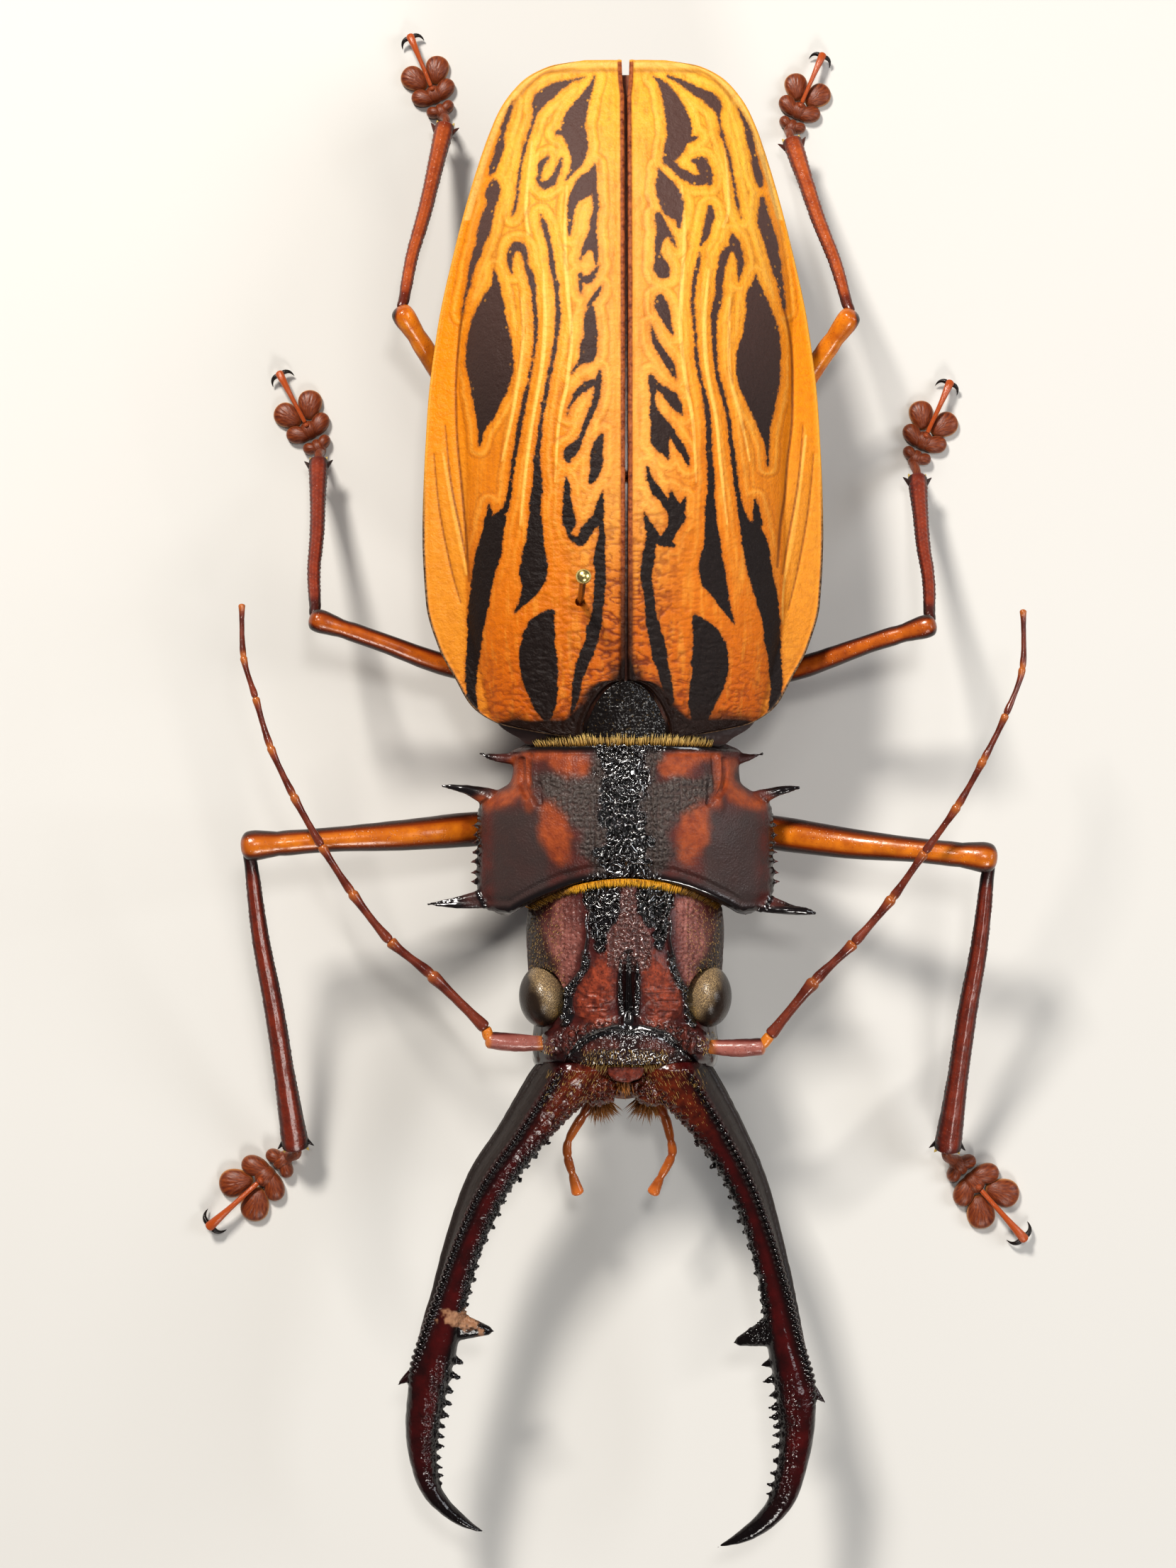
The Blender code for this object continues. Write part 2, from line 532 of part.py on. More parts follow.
def build_shield():
    rings = []
    for y in SHIELD_ROWS:
        forward = max(0.0, (y - 0.6) / (SHIELD_FRONT - 0.6)) ** 1.5
        rings.append(keel_ring(y, curve_at(SHIELD_WIDTH, y), curve_at(SHIELD_CROWN, y), SHIELD_EDGE,
                               curve_at(SHIELD_BELLY, y), lambda x, f=forward: f * neck_bow(x)))
    rings += bowed_end(rings[-1], SHIELD_FRONT)
    pieces = [make_skin("shield_body", rings)]
    for side, sign in SIDES.items():
        for index, (root, tip, radius) in enumerate(SHIELD_SPINES[side]):
            bend = (0.0, 0.5 if index == 1 else -0.3, 0.2)
            pieces.append(make_thorn("spine", (*root, SHIELD_EDGE), (*tip, SHIELD_EDGE + SPINE_RISE),
                                     radius, 7, bend))
        for y in DENTICLE_PLACES:
            edge = curve_at(SHIELD_WIDTH, y)
            pieces.append(make_thorn("denticle", (sign * (edge - 0.9), y, SHIELD_EDGE),
                                     (sign * (edge + DENTICLE["length"]), y - 0.15, SHIELD_EDGE),
                                     DENTICLE["radius"], 5))
    return fuse("pronotum", pieces)


def build_head():
    rings = []
    for y in HEAD_ROWS:
        rearward = max(0.0, (y + 22.0) / (HEAD_REAR + 22.0)) ** 1.5
        rings.append(keel_ring(y, curve_at(HEAD_WIDTH, y), curve_at(HEAD_CROWN, y), HEAD_EDGE,
                               curve_at(HEAD_BELLY, y), lambda x, f=rearward: f * neck_bow(x)))
    rings = bowed_end(rings[0], HEAD_REAR)[::-1] + rings
    pieces = [make_skin("head_body", rings)]
    for sign in SIDES.values():
        stations = round_ends([(sign * x, y, z, wide, high) for x, y, z, wide, high in TUBERCLE])
        pieces.append(make_limb("tubercle", stations, 8))
    head = fuse("head", pieces)
    for sign in SIDES.values():
        centre = (sign * EYE_CENTRE[0], EYE_CENTRE[1], EYE_CENTRE[2])
        carve(head, make_ball("eye_room", centre, tuple(s + GAP for s in EYE_SIZE)))
        centre = (sign * SOCKET_CENTRE[0], SOCKET_CENTRE[1], SOCKET_CENTRE[2])
        carve(head, make_ball("socket_room", centre, SOCKET_SIZE, 12, 6))
    return head


def build_eyes():
    made = []
    for side, sign in SIDES.items():
        centre = (sign * EYE_CENTRE[0], EYE_CENTRE[1], EYE_CENTRE[2])
        made.append(fuse("eye_" + side, [make_ball("eye_body", centre, EYE_SIZE)]))
    return made


# A flat lip: a plate with rounded front corners.
def build_lip(name, sizes):
    rings = []
    corners = ((1, 0), (0.8, 1), (0, 1), (-0.8, 1), (-1, 0), (-0.8, -1), (0, -1), (0.8, -1))
    length = sizes["front"] - sizes["rear"]
    for share, narrow, thin in ((0.0, 1.0, 1.0), (0.5, 0.97, 1.0), (0.85, 0.75, 0.8), (1.0, 0.4, 0.4)):
        y = sizes["rear"] + length * share
        middle = (sizes["top"] + sizes["bottom"]) / 2
        high = (sizes["top"] - sizes["bottom"]) / 2 * thin
        wide = sizes["width"] * narrow
        rings.append([(wide * c, y, middle + high * s) for c, s in corners])
    return fuse(name, [make_skin(name + "_body", rings)])


# One mandible: a curved blade with low teeth, a big tooth, a saw edge and an outer spur.
def build_mandible(side):
    sign = SIDES[side]
    stations = [(x, y, MANDIBLE_LEVEL, wide, deep)
                for x, y, wide, deep in trace(MANDIBLES[side], 27)]
    stations[-1] = stations[-1][:3] + (0.0, 0.0)
    pieces = [make_limb("blade", stations, 10, 8)]
    for kind in (LOW_TEETH, SAW_TEETH):
        for index in range(kind["count"]):
            place = kind["from"] + (kind["to"] - kind["from"]) * index / (kind["count"] - 1)
            at = place * (len(stations) - 1)
            low = int(at)
            here = Vector(stations[low][:3]).lerp(Vector(stations[low + 1][:3]), at - low)
            wide = stations[low][3] + (stations[low + 1][3] - stations[low][3]) * (at - low)
            along = (Vector(stations[low + 1][:3]) - Vector(stations[low][:3])).normalized()
            inward = Vector((0, 0, 1)).cross(along) * (1 if side == "right" else -1)
            if inward.x * sign > 0:
                inward = -inward
            tip = here + inward * (wide + kind["height"]) + along * 0.3
            pieces.append(make_thorn("tooth", here + inward * wide * 0.3, tip, kind["radius"], 6))
    for root, tip, radius in (BIG_TOOTH[side], OUTER_SPUR[side]):
        pieces.append(make_thorn("big_tooth", (*root, MANDIBLE_LEVEL), (*tip, MANDIBLE_LEVEL), radius, 7))
    return fuse("mandible_" + side, pieces)


def build_palp(side):
    stations = [(x, y, z, r, r) for x, y, z, r in PALPS[side]]
    return fuse("palp_" + side, [make_limb("palp_body", round_ends(trace(stations, 13)), 8)])


# A length of antenna between two joints, slim at each root and thicker at each far end.
def build_antenna_length(side, name, first, last):
    joints = ANTENNAE[side]
    path = trace(joints, 10 * (len(joints) - 1) + 1)
    stations = []
    for joint in range(first, last):
        for share, swell in ((0.0, 0.82), (0.12, 0.9), (0.75, 1.0), (0.93, ANTENNA_KNOB), (1.0, 0.95)):
            if share == 0.0 and joint > first:
                continue
            at = (joint + share) * 10
            low = min(int(at), len(path) - 2)
            here = Vector(path[low]).lerp(Vector(path[low + 1]), at - low)
            radius = ANTENNA_RADIUS[joint] * (swell if joint + share < len(joints) - 1 else 0.55)
            stations.append((*here, radius, radius))
    start = Vector(stations[0][:3])
    end = Vector(stations[-1][:3])
    trim = GAP / 2 + 0.02
    stations[0] = (*(start + (Vector(stations[1][:3]) - start).normalized() * trim), *stations[0][3:])
    stations[-1] = (*(end + (Vector(stations[-2][:3]) - end).normalized() * trim), *stations[-1][3:])
    return fuse("antenna_" + side + "_" + name, [make_limb("antenna_body", stations, 8)])


def build_scape(side):
    near, middle, far = SCAPES[side]
    stations = [(*near, 0.75, 0.8), (*middle, 1.0, 1.0), (*far, 0.95, 0.95)]
    return fuse("antenna_" + side + "_scape", [make_limb("scape_body", round_ends(trace(stations, 5)), 8)])


# A foot pad with a flat sole.
def make_pad(name, centre, turn, half_length, half_width, sole, top):
    along = Vector((math.cos(turn), math.sin(turn), 0))
    across = Vector((-along.y, along.x, 0))
    rings = []
    for level, share in ((0.0, 0.82), (0.35, 1.0), (0.75, 0.82), (1.0, 0.42)):
        rings.append([tuple(Vector((*centre, sole + (top - sole) * level))
                            + along * half_length * share * math.cos(2 * math.pi * k / 8)
                            + across * half_width * share * math.sin(2 * math.pi * k / 8))
                      for k in range(8)])
    return make_skin(name, rings)


def build_foot(name, leg):
    turn = math.radians(leg["turn"])
    size = leg["size"]
    heel = Vector((*leg["heel"], 0))
    along = Vector((math.cos(turn), math.sin(turn), 0))
    across = Vector((-along.y, along.x, 0))

    def place(forward, sideways, up):
        return heel + along * forward * size + across * sideways * size + Vector((0, 0, up))

    pieces = []
    for forward, sideways, half_length, half_width, sole, top in FOOT_PADS:
        spot = place(forward, sideways, 0)
        pieces.append(make_pad("pad", spot[:2], turn, half_length * size, half_width * size,
                               sole, top * size))
    ankle, knee = Vector(leg["ankle"]), Vector(leg["knee"])
    down = (ankle - knee).normalized()
    thick = 0.72 * size
    slim = thick * 0.8
    stations = [(*(ankle + down * (GAP + 0.05)), thick, thick), (*(ankle + down * 1.6), slim, slim)]
    pieces.append(make_limb("root", stations, 6))
    slim = thick * 0.9
    stations = [(*(ankle + down * 1.15), slim, slim), (*place(1.9, 0, 0.95 * size), thick, thick)]
    pieces.append(make_limb("neck", stations, 7))
    stations = [(*place(forward, 0, up * size), radius * size, radius * size)
                for forward, up, radius in CLAW_STALK]
    pieces.append(make_limb("stalk", round_ends(stations), 6))
    for sideways in (-1, 1):
        pieces.append(make_thorn("claw", place(CLAW["root"], sideways * 0.15, 1.55 * size),
                                 place(CLAW["reach"], sideways * CLAW["spread"], 0.35 * size),
                                 CLAW["radius"] * size, 5, along * 0.25 + Vector((0, 0, 0.35)) * size))
    return fuse("tarsus_" + name, pieces)


def build_leg(name, leg):
    coxa = fuse("coxa_" + name, [make_ball("coxa_body", leg["coxa"], COXA_SIZE, 12, 7)])
    spots = [Vector(p) for p in leg["thigh"]] + [Vector(leg["knee"])]
    stations = [(*spot, wide, wide) for spot, wide in zip(spots, leg["thigh_width"])]
    thigh = fuse("femur_" + name, [make_limb("femur_body", round_ends(trace(stations, 10)), 9)])
    carve(thigh, make_ball("coxa_room", leg["coxa"], tuple(s + GAP for s in COXA_SIZE), 12, 7))
    knee, ankle = Vector(leg["knee"]), Vector(leg["ankle"])
    along = (ankle - knee).normalized()
    top = knee + along * (leg["thigh_width"][-1] + GAP)
    widths = leg["shin_width"]
    stations = [(*top.lerp(ankle, i / (len(widths) - 1)), wide, wide * 0.85)
                for i, wide in enumerate(widths)]
    pieces = [make_limb("tibia_body", trace(stations, 8), 9)]
    for sideways in (-1, 1):
        across = along.cross(Vector((0, 0, 1))).normalized() * sideways
        root = ankle + across * widths[-1] * 0.55 - along * 1.2
        pieces.append(make_thorn("spur", root, ankle + across * (widths[-1] + 0.55) + along * 0.3, 0.4, 5))
    shin = fuse("tibia_" + name, pieces)
    foot = build_foot(name, leg)
    return coxa, thigh, shin, foot


def build_pin():
    top, low = Vector(PIN_TOP), Vector(PIN_LOW)
    shaft = make_limb("shaft", [(*low, 0.12, 0.12), (*low.lerp(top, 0.06), PIN_RADIUS, PIN_RADIUS),
                                (*top, PIN_RADIUS, PIN_RADIUS)], 10)
    knob = make_ball("knob", PIN_TOP, (PIN_HEAD_RADIUS, PIN_HEAD_RADIUS, PIN_HEAD_RADIUS * 0.85), 12, 6)
    return fuse("pin", [shaft, knob])


def pin_room():
    top, low = Vector(PIN_TOP), Vector(PIN_LOW)
    return make_limb("pin_room", [(*low, PIN_BORE, PIN_BORE), (*top, PIN_BORE, PIN_BORE)], 12)


def main():
    for old in list(bpy.data.objects):
        bpy.data.objects.remove(old, do_unlink=True)
    thorax, abdomen = build_trunk()
    carve(thorax, pin_room())
    paint(thorax, "belly")
    paint(abdomen, "belly")
    paint(build_scutellum(), "black")
    for side in SIDES:
        wing = fuse("elytron_" + side, [make_wing_case(side)])
        if side == "right":
            carve(wing, pin_room())
        paint(wing, "wing")
    paint(build_shield(), "shell")
    paint(build_head(), "shell")
    for eye in build_eyes():
        paint(eye, "eye")
    paint(build_lip("labrum", LABRUM), "shell")
    paint(build_lip("labium", LABIUM), "belly")
    for side in SIDES:
        paint(build_mandible(side), "mandible")
        paint(build_palp(side), "feeler")
        paint(build_scape(side), "feeler")
        for name, (first, last) in ANTENNA_LENGTHS.items():
            paint(build_antenna_length(side, name, first, last), "feeler")
    for name, leg in LEGS.items():
        coxa, thigh, shin, foot = build_leg(name, leg)
        paint(coxa, "belly")
        paint(thigh, "leg")
        paint(shin, "shin")
        paint(foot, "foot")
    paint(build_pin(), "brass", 1.0)


main()
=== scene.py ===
# Pinned sabertooth longhorn beetle: the finish of every part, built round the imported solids.
# Sizes in the settings are millimetres unless a note says pixels of the 1659 x 2212 picture.
import math

import bmesh
import bpy
import numpy as np
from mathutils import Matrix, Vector


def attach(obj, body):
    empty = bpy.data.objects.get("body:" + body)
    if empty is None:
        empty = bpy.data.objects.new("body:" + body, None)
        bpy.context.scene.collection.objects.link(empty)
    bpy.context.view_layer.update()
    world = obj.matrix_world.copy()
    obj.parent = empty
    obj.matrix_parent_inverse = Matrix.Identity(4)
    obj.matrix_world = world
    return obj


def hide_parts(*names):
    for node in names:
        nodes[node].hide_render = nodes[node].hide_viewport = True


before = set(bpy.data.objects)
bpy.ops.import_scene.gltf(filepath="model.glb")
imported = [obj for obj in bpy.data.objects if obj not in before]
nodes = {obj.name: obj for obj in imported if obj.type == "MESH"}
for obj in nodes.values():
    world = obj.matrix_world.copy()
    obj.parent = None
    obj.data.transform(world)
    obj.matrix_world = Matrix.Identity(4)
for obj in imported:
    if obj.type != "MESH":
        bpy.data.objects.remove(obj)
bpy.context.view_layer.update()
mm = 0.001
sides = {"right": -1, "left": 1}
view = {"x": -4.05, "y": -1.2, "height": 331.0, "focal": 4066.0, "middle": (829.5, 1106.0),
        "size": (1659, 2212),
        "sensor": 24.0}
print("frame loaded:", len(nodes), "solids")


# picture position of points in mm
def pixelAt(points):
    k = (view["height"] - points[:, 2]) / view["focal"]
    return np.stack([view["middle"][0] + (points[:, 0] - view["x"]) / k,
                     view["middle"][1] - (points[:, 1] - view["y"]) / k], 1)


# smooth value of a profile given as (position, value) pairs
def curveAt(pairs, at):
    xs, ys = np.array(pairs, float).T
    at = np.clip(np.asarray(at, float), xs[0], xs[-1])
    i = np.clip(np.searchsorted(xs, at, side="right") - 1, 0, len(xs) - 2)
    step = np.diff(ys) / np.diff(xs)
    before, after = step[:-1], step[1:]
    same = before * after > 0
    bend = np.where(same, 2 * before * after / np.where(same, before + after, 1.0), 0.0)
    slope = np.concatenate(([step[0]], bend, [step[-1]]))
    width = xs[i + 1] - xs[i]
    t = (at - xs[i]) / width
    return (ys[i] * (2 * t ** 3 - 3 * t * t + 1) + slope[i] * width * (t ** 3 - 2 * t * t + t)
            + ys[i + 1] * (3 * t * t - 2 * t ** 3) + slope[i + 1] * width * (t ** 3 - t * t))


# smooth line through points, read at an even count of places
def smoothLine(points, count):
    p = np.array(points, float)
    t = np.linspace(0, len(p) - 1, count)
    i = np.minimum(t.astype(int), len(p) - 2)
    f = (t - i)[:, None]
    a, b, c, d = p[np.maximum(i - 1, 0)], p[i], p[i + 1], p[np.minimum(i + 2, len(p) - 1)]
    return 0.5 * (2 * b + (c - a) * f + (2 * a - 5 * b + 4 * c - d) * f * f
                  + (3 * b - a - 3 * c + d) * f ** 3)


# soft random field between -1 and 1 with bumps of about that size
def grain(points, size, seed=0):
    p = points / np.asarray(size, float) + seed * 13.7
    cell = np.floor(p)
    f = p - cell
    f = f * f * (3 - 2 * f)
    total = np.zeros(len(p))
    for corner in np.ndindex(*(2,) * p.shape[1]):
        key = cell + corner
        value = np.sin(key @ np.array([127.1, 311.7, 74.7])[:p.shape[1]]) * 43758.5453
        value = (value - np.floor(value)) * 2 - 1
        weight = np.prod(np.where(np.array(corner) == 1, f, 1 - f), axis=1)
        total += value * weight
    return total


# round granules: 1 at the top of each, 0 between them
def granules(points, spacing, seed=0):
    p = points[:, :2] / spacing
    cell = np.floor(p)
    best = np.full(len(p), 9.0)
    for dx in (-1, 0, 1):
        for dy in (-1, 0, 1):
            key = cell + (dx, dy)
            jitter = []
            for a, b in ((127.1, 311.7), (269.5, 183.3)):
                value = np.sin(key @ np.array([a, b]) + seed) * 43758.5453
                jitter.append(value - np.floor(value))
            spot = key + 0.15 + 0.7 * np.stack(jitter, 1)
            best = np.minimum(best, np.linalg.norm(p - spot, axis=1))
    return np.clip(1 - best / 0.62, 0, 1) ** 0.7


# short winding bumps strewn over a surface: 1 along their crests
def wormField(spots, spacing, reach, thick, seed=0):
    cell, best = np.floor(spots / spacing), np.zeros(len(spots))
    for step in np.ndindex(3, 3):
        key = cell + step - 1
        chance = [np.sin(key @ np.array(pair) + seed) * 43758.5453
                  for pair in ((127.1, 311.7), (269.5, 183.3), (419.2, 371.9))]
        chance = [value - np.floor(value) for value in chance]
        away = spots - (key + 0.2 + 0.6 * np.stack(chance[:2], 1)) * spacing
        turn = chance[2] * np.pi
        along, beside = np.stack([np.cos(turn), np.sin(turn)], 1), np.stack([-np.sin(turn), np.cos(turn)], 1)
        run = np.clip((away * along).sum(1), -reach, reach)
        bend = (chance[0] - 0.5) * 2.5 * thick * (run / reach) ** 2
        gap = np.linalg.norm(away - along * run[:, None] - beside * bend[:, None], axis=1)
        best = np.maximum(best, np.sqrt(np.clip(1 - (gap / (thick * (0.75 + 0.4 * chance[1]))) ** 2, 0, 1)))
    return best


# round beads set along strokes: 1 on top of each
def beadField(spots, strokes, step, size, seed=0):
    best = np.zeros(len(spots))
    for stroke in strokes:
        line = smoothLine(stroke, 12 * len(stroke))
        run = np.concatenate(([0], np.cumsum(np.linalg.norm(np.diff(line[:, :2], axis=0), axis=1))))
        for index, at in enumerate(np.arange(step * 0.5, run[-1], step)):
            x, y, half = (np.interp(at, run, line[:, k]) for k in range(3))
            x += max(0.0, half - size * 0.6) * math.sin(index * 2.4 + seed)
            radius = size * (0.8 + 0.35 * math.sin(index * 4.1 + seed))
            gap = np.hypot(spots[:, 0] - x, spots[:, 1] - y) / radius
            best = np.maximum(best, np.sqrt(np.clip(1 - gap ** 2, 0, 1)))
    return best


# distance in pixels or mm from points to a line that has a half width at each place, less that half width
def strokeDistance(spots, stroke, far=30.0):
    line = smoothLine(stroke, 4 * len(stroke))
    result = np.full(len(spots), far)
    low, high = line[:, :2].min(0) - far, line[:, :2].max(0) + far
    near = np.nonzero(np.all((spots > low) & (spots < high), axis=1))[0]
    if not len(near):
        return result
    p = spots[near]
    best = np.full(len(near), far)
    for a, b in zip(line[:-1], line[1:]):
        run = b[:2] - a[:2]
        t = np.clip(((p - a[:2]) @ run) / max(run @ run, 1e-9), 0, 1)
        gap = np.linalg.norm(p - a[:2] - t[:, None] * run, axis=1) - (a[2] + t * (b[2] - a[2]))
        best = np.minimum(best, gap)
    result[near] = best
    return result


def nearestStroke(spots, strokes, far=30.0):
    best = np.full(len(spots), far)
    for stroke in strokes:
        best = np.minimum(best, strokeDistance(spots, stroke, far))
    return best


# soft step from 0 at low to 1 at high
def rise(value, low, high):
    span = np.where(np.equal(high, low), 1e-12, np.subtract(high, low))
    t = np.clip((value - low) / span, 0, 1)
    return t * t * (3 - 2 * t)


# soft bump around a middle value
def bell(value, middle, wide):
    return np.exp(-((value - middle) / wide) ** 2)


# mesh helpers
def deselect():
    if bpy.context.mode != "OBJECT":
        bpy.ops.object.mode_set(mode="OBJECT")
    bpy.ops.object.select_all(action="DESELECT")


def choose(obj):
    deselect()
    obj.select_set(True)
    bpy.context.view_layer.objects.active = obj


def readPoints(obj):
    flat = np.empty(len(obj.data.vertices) * 3)
    obj.data.vertices.foreach_get("co", flat)
    return flat.reshape(-1, 3) / mm


def writePoints(obj, points):
    obj.data.vertices.foreach_set("co", (np.asarray(points) * mm).ravel())
    obj.data.update()


def readNormals(obj):
    flat = np.empty(len(obj.data.vertices) * 3)
    obj.data.vertices.foreach_get("normal", flat)
    return flat.reshape(-1, 3)


# named values on the points of a mesh, which its material reads
def giveFields(obj, **fields):
    for name, values in fields.items():
        field = obj.data.attributes.get(name) or obj.data.attributes.new(name, "FLOAT", "POINT")
        field.data.foreach_set("value", np.full(len(obj.data.vertices), values, np.float32))


def applyStep(obj, kind, **settings):
    choose(obj)
    step = obj.modifiers.new(kind.lower(), kind)
    for key, value in settings.items():
        setattr(step, key, value)
    bpy.ops.object.modifier_apply(modifier=step.name)
    return obj


def soften(obj, levels=2):
    return applyStep(obj, "SUBSURF", levels=levels, render_levels=levels)


def melt(obj, size, smooth=4):
    applyStep(obj, "REMESH", mode="VOXEL", voxel_size=size * mm)
    return applyStep(obj, "SMOOTH", factor=0.5, iterations=smooth)


def flipFaces(obj):
    choose(obj)
    bpy.ops.object.mode_set(mode="EDIT")
    bpy.ops.mesh.select_all(action="SELECT")
    bpy.ops.mesh.flip_normals()
    bpy.ops.object.mode_set(mode="OBJECT")


# a finer mesh where the surface looks up
def refineTop(obj, level=0.25, zone=None):
    choose(obj)
    bpy.ops.object.mode_set(mode="EDIT")
    bpy.ops.mesh.select_mode(type="FACE")
    mesh = bmesh.from_edit_mesh(obj.data)
    for face in mesh.faces:
        spot = face.calc_center_median() / mm
        inside = not zone or (zone[0] < spot.x < zone[1] and zone[2] < spot.y < zone[3])
        face.select = inside and face.normal.z > level
    bmesh.update_edit_mesh(obj.data)
    bpy.ops.mesh.subdivide(number_cuts=1, smoothness=0.0)
    bpy.ops.mesh.select_mode(type="VERT")
    bpy.ops.object.mode_set(mode="OBJECT")
    return applyStep(obj, "SMOOTH", factor=0.4, iterations=1)


def joinAll(name, pieces):
    deselect()
    for piece in pieces:
        piece.select_set(True)
    bpy.context.view_layer.objects.active = pieces[0]
    if len(pieces) > 1:
        bpy.ops.object.join()
    pieces[0].name = pieces[0].data.name = name
    return pieces[0]


# a closed skin grown ring by ring: a circle is added and its face is extruded to each next ring
def growSkin(name, rings):
    deselect()
    bpy.ops.mesh.primitive_circle_add(vertices=len(rings[0]), radius=mm, fill_type="NGON")
    obj = bpy.context.object
    obj.name = obj.data.name = name
    bpy.ops.object.mode_set(mode="EDIT")
    mesh = bmesh.from_edit_mesh(obj.data)
    order = mesh.verts.layers.int.new("ringOrder")
    for index, vert in enumerate(mesh.verts):
        vert[order] = index
        vert.co = Vector(rings[0][index]) * mm
    for ring in rings[1:]:
        bpy.ops.mesh.extrude_region_move()
        mesh = bmesh.from_edit_mesh(obj.data)
        order = mesh.verts.layers.int["ringOrder"]
        for vert in mesh.verts:
            if vert.select:
                vert.co = Vector(ring[vert[order]]) * mm
    bpy.ops.mesh.select_all(action="SELECT")
    bpy.ops.mesh.normals_make_consistent(inside=False)
    bpy.ops.object.mode_set(mode="OBJECT")
    obj.data.attributes.remove(obj.data.attributes["ringOrder"])
    return obj


# rings of an oval limb along stations (x, y, z, half width, half height)
def limbRings(stations, count=12, squareStart=0):
    stations = [tuple(float(v) for v in s) for s in stations]
    turns = [2 * math.pi * k / count for k in range(count)]
    rings = []
    for i, (x, y, z, wide, high) in enumerate(stations):
        here = Vector((x, y, z))
        ahead = Vector(stations[min(i + 1, len(stations) - 1)][:3])
        along = (ahead - Vector(stations[max(i - 1, 0)][:3])).normalized()
        across = along.cross(Vector((0, 0, 1))).normalized()
        if i < squareStart:
            straight = Vector((math.copysign(1.0, across.x), 0, 0))
            across = straight.lerp(across, i / squareStart).normalized()
            along = Vector((0, 0, 1)).cross(across)
        up = across.cross(along).normalized()
        rings.append([tuple(here + across * max(wide, 0.02) * math.cos(a)
                            + up * max(high, 0.02) * math.sin(a))
                      for a in turns])
    return rings


def growLimb(name, stations, count=12, squareStart=0):
    return growSkin(name, limbRings(stations, count, squareStart))


# stations with rounded ends added
def roundEnds(stations, shares=((0.9, 0.22), (0.62, 0.42), (0.25, 0.52))):
    stations = [tuple(s) for s in stations]
    for end in range(2):
        tip, before = Vector(stations[-1][:3]), Vector(stations[-2][:3])
        out = (tip - before).normalized()
        wide, high = stations[-1][3:5]
        stations += [(*(tip + out * wide * reach), wide * share, high * share) for share, reach in shares]
        stations.reverse()
    return stations


def growBall(name, centre, size, around=32, rows=20):
    deselect()
    bpy.ops.mesh.primitive_uv_sphere_add(segments=around, ring_count=rows, radius=mm)
    obj = bpy.context.object
    obj.name = obj.data.name = name
    writePoints(obj, readPoints(obj) * size + np.array(centre))
    return obj


def growThorn(name, root, tip, radius, bend=(0, 0, 0), count=8, taper=(1.0, 0.82, 0.55, 0.26, 0.03)):
    root, tip, bend = Vector(root), Vector(tip), Vector(bend)
    stations = []
    for share, thick in zip((0.0, 0.3, 0.6, 0.85, 1.0), taper):
        at = root.lerp(tip, share) + bend * 4 * share * (1 - share)
        stations.append((*at, radius * thick, radius * thick))
    return growLimb(name, stations, count)


# fewer triangles where a piece has too many for its STL file
def lighten(obj, most=194000):
    obj.data.calc_loop_triangles()
    count = len(obj.data.loop_triangles)
    return applyStep(obj, "DECIMATE", ratio=most / count) if count > most else obj


def finishPiece(obj, material, stands=(), smoothAngle=None):
    lighten(obj)
    obj.data.materials.clear()
    obj.data.materials.append(material)
    obj.data.shade_smooth()
    if smoothAngle:
        choose(obj)
        bpy.ops.object.shade_smooth_by_angle(angle=math.radians(smoothAngle))
    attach(obj, "root")
    if stands:
        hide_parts(*stands)
    return obj


# material helpers, which all work on the tree of the material begun last
paint = {"tree": None}


def feed(node, inputs):
    for key, value in inputs.items():
        socket = node.inputs[key]
        if isinstance(value, bpy.types.NodeSocket):
            paint["tree"].links.new(value, socket)
        else:
            socket.default_value = (*value, 1.0) if socket.type == "RGBA" else value


def put(kind, inputs=None, **settings):
    made = paint["tree"].nodes.new("ShaderNode" + kind)
    for key, value in settings.items():
        setattr(made, key, value)
    feed(made, inputs or {})
    return made


def startMaterial(name):
    material = bpy.data.materials.new(name)
    material.use_nodes = True
    paint["tree"] = material.node_tree
    return material, paint["tree"].nodes["Principled BSDF"], put("TexCoord").outputs["Object"]


def stretched(place, scale):
    return put("Mapping", {"Vector": place, "Scale": scale}).outputs["Vector"]


def noiseOf(place, size, detail=3.0, rough=0.55):
    return put("TexNoise", {"Vector": place, "Scale": 1 / (size * mm), "Detail": detail,
                            "Roughness": rough}).outputs["Fac"]


def cellsOf(place, size):
    return put("TexVoronoi", {"Vector": place, "Scale": 1 / (size * mm)}).outputs["Distance"]


def fieldOf(name):
    return put("Attribute", attribute_name=name).outputs["Fac"]


def rampOf(value, low, high, start=0.0, end=1.0):
    return put("MapRange", {"Value": value, "From Min": low, "From Max": high, "To Min": start,
                            "To Max": end}).outputs["Result"]


def sumOf(a, b, operation="ADD"):
    return put("Math", {0: a, 1: b}, operation=operation).outputs[0]


# inputs 0, 6 and 7 and output 2 of the mixing node are those of colours
def blendOf(share, a, b):
    return put("Mix", {0: share, 6: a, 7: b}, data_type="RGBA").outputs[2]


# a tone with more tones laid over it, each by its own share
def layered(tone, layers):
    for share, colour in layers:
        tone = blendOf(share, tone, colour)
    return tone


def bumpOf(height, depth, strength=1.0, normal=None):
    inputs = {"Height": height, "Distance": depth * mm, "Strength": strength}
    if normal is not None:
        inputs["Normal"] = normal
    return put("Bump", inputs).outputs["Normal"]


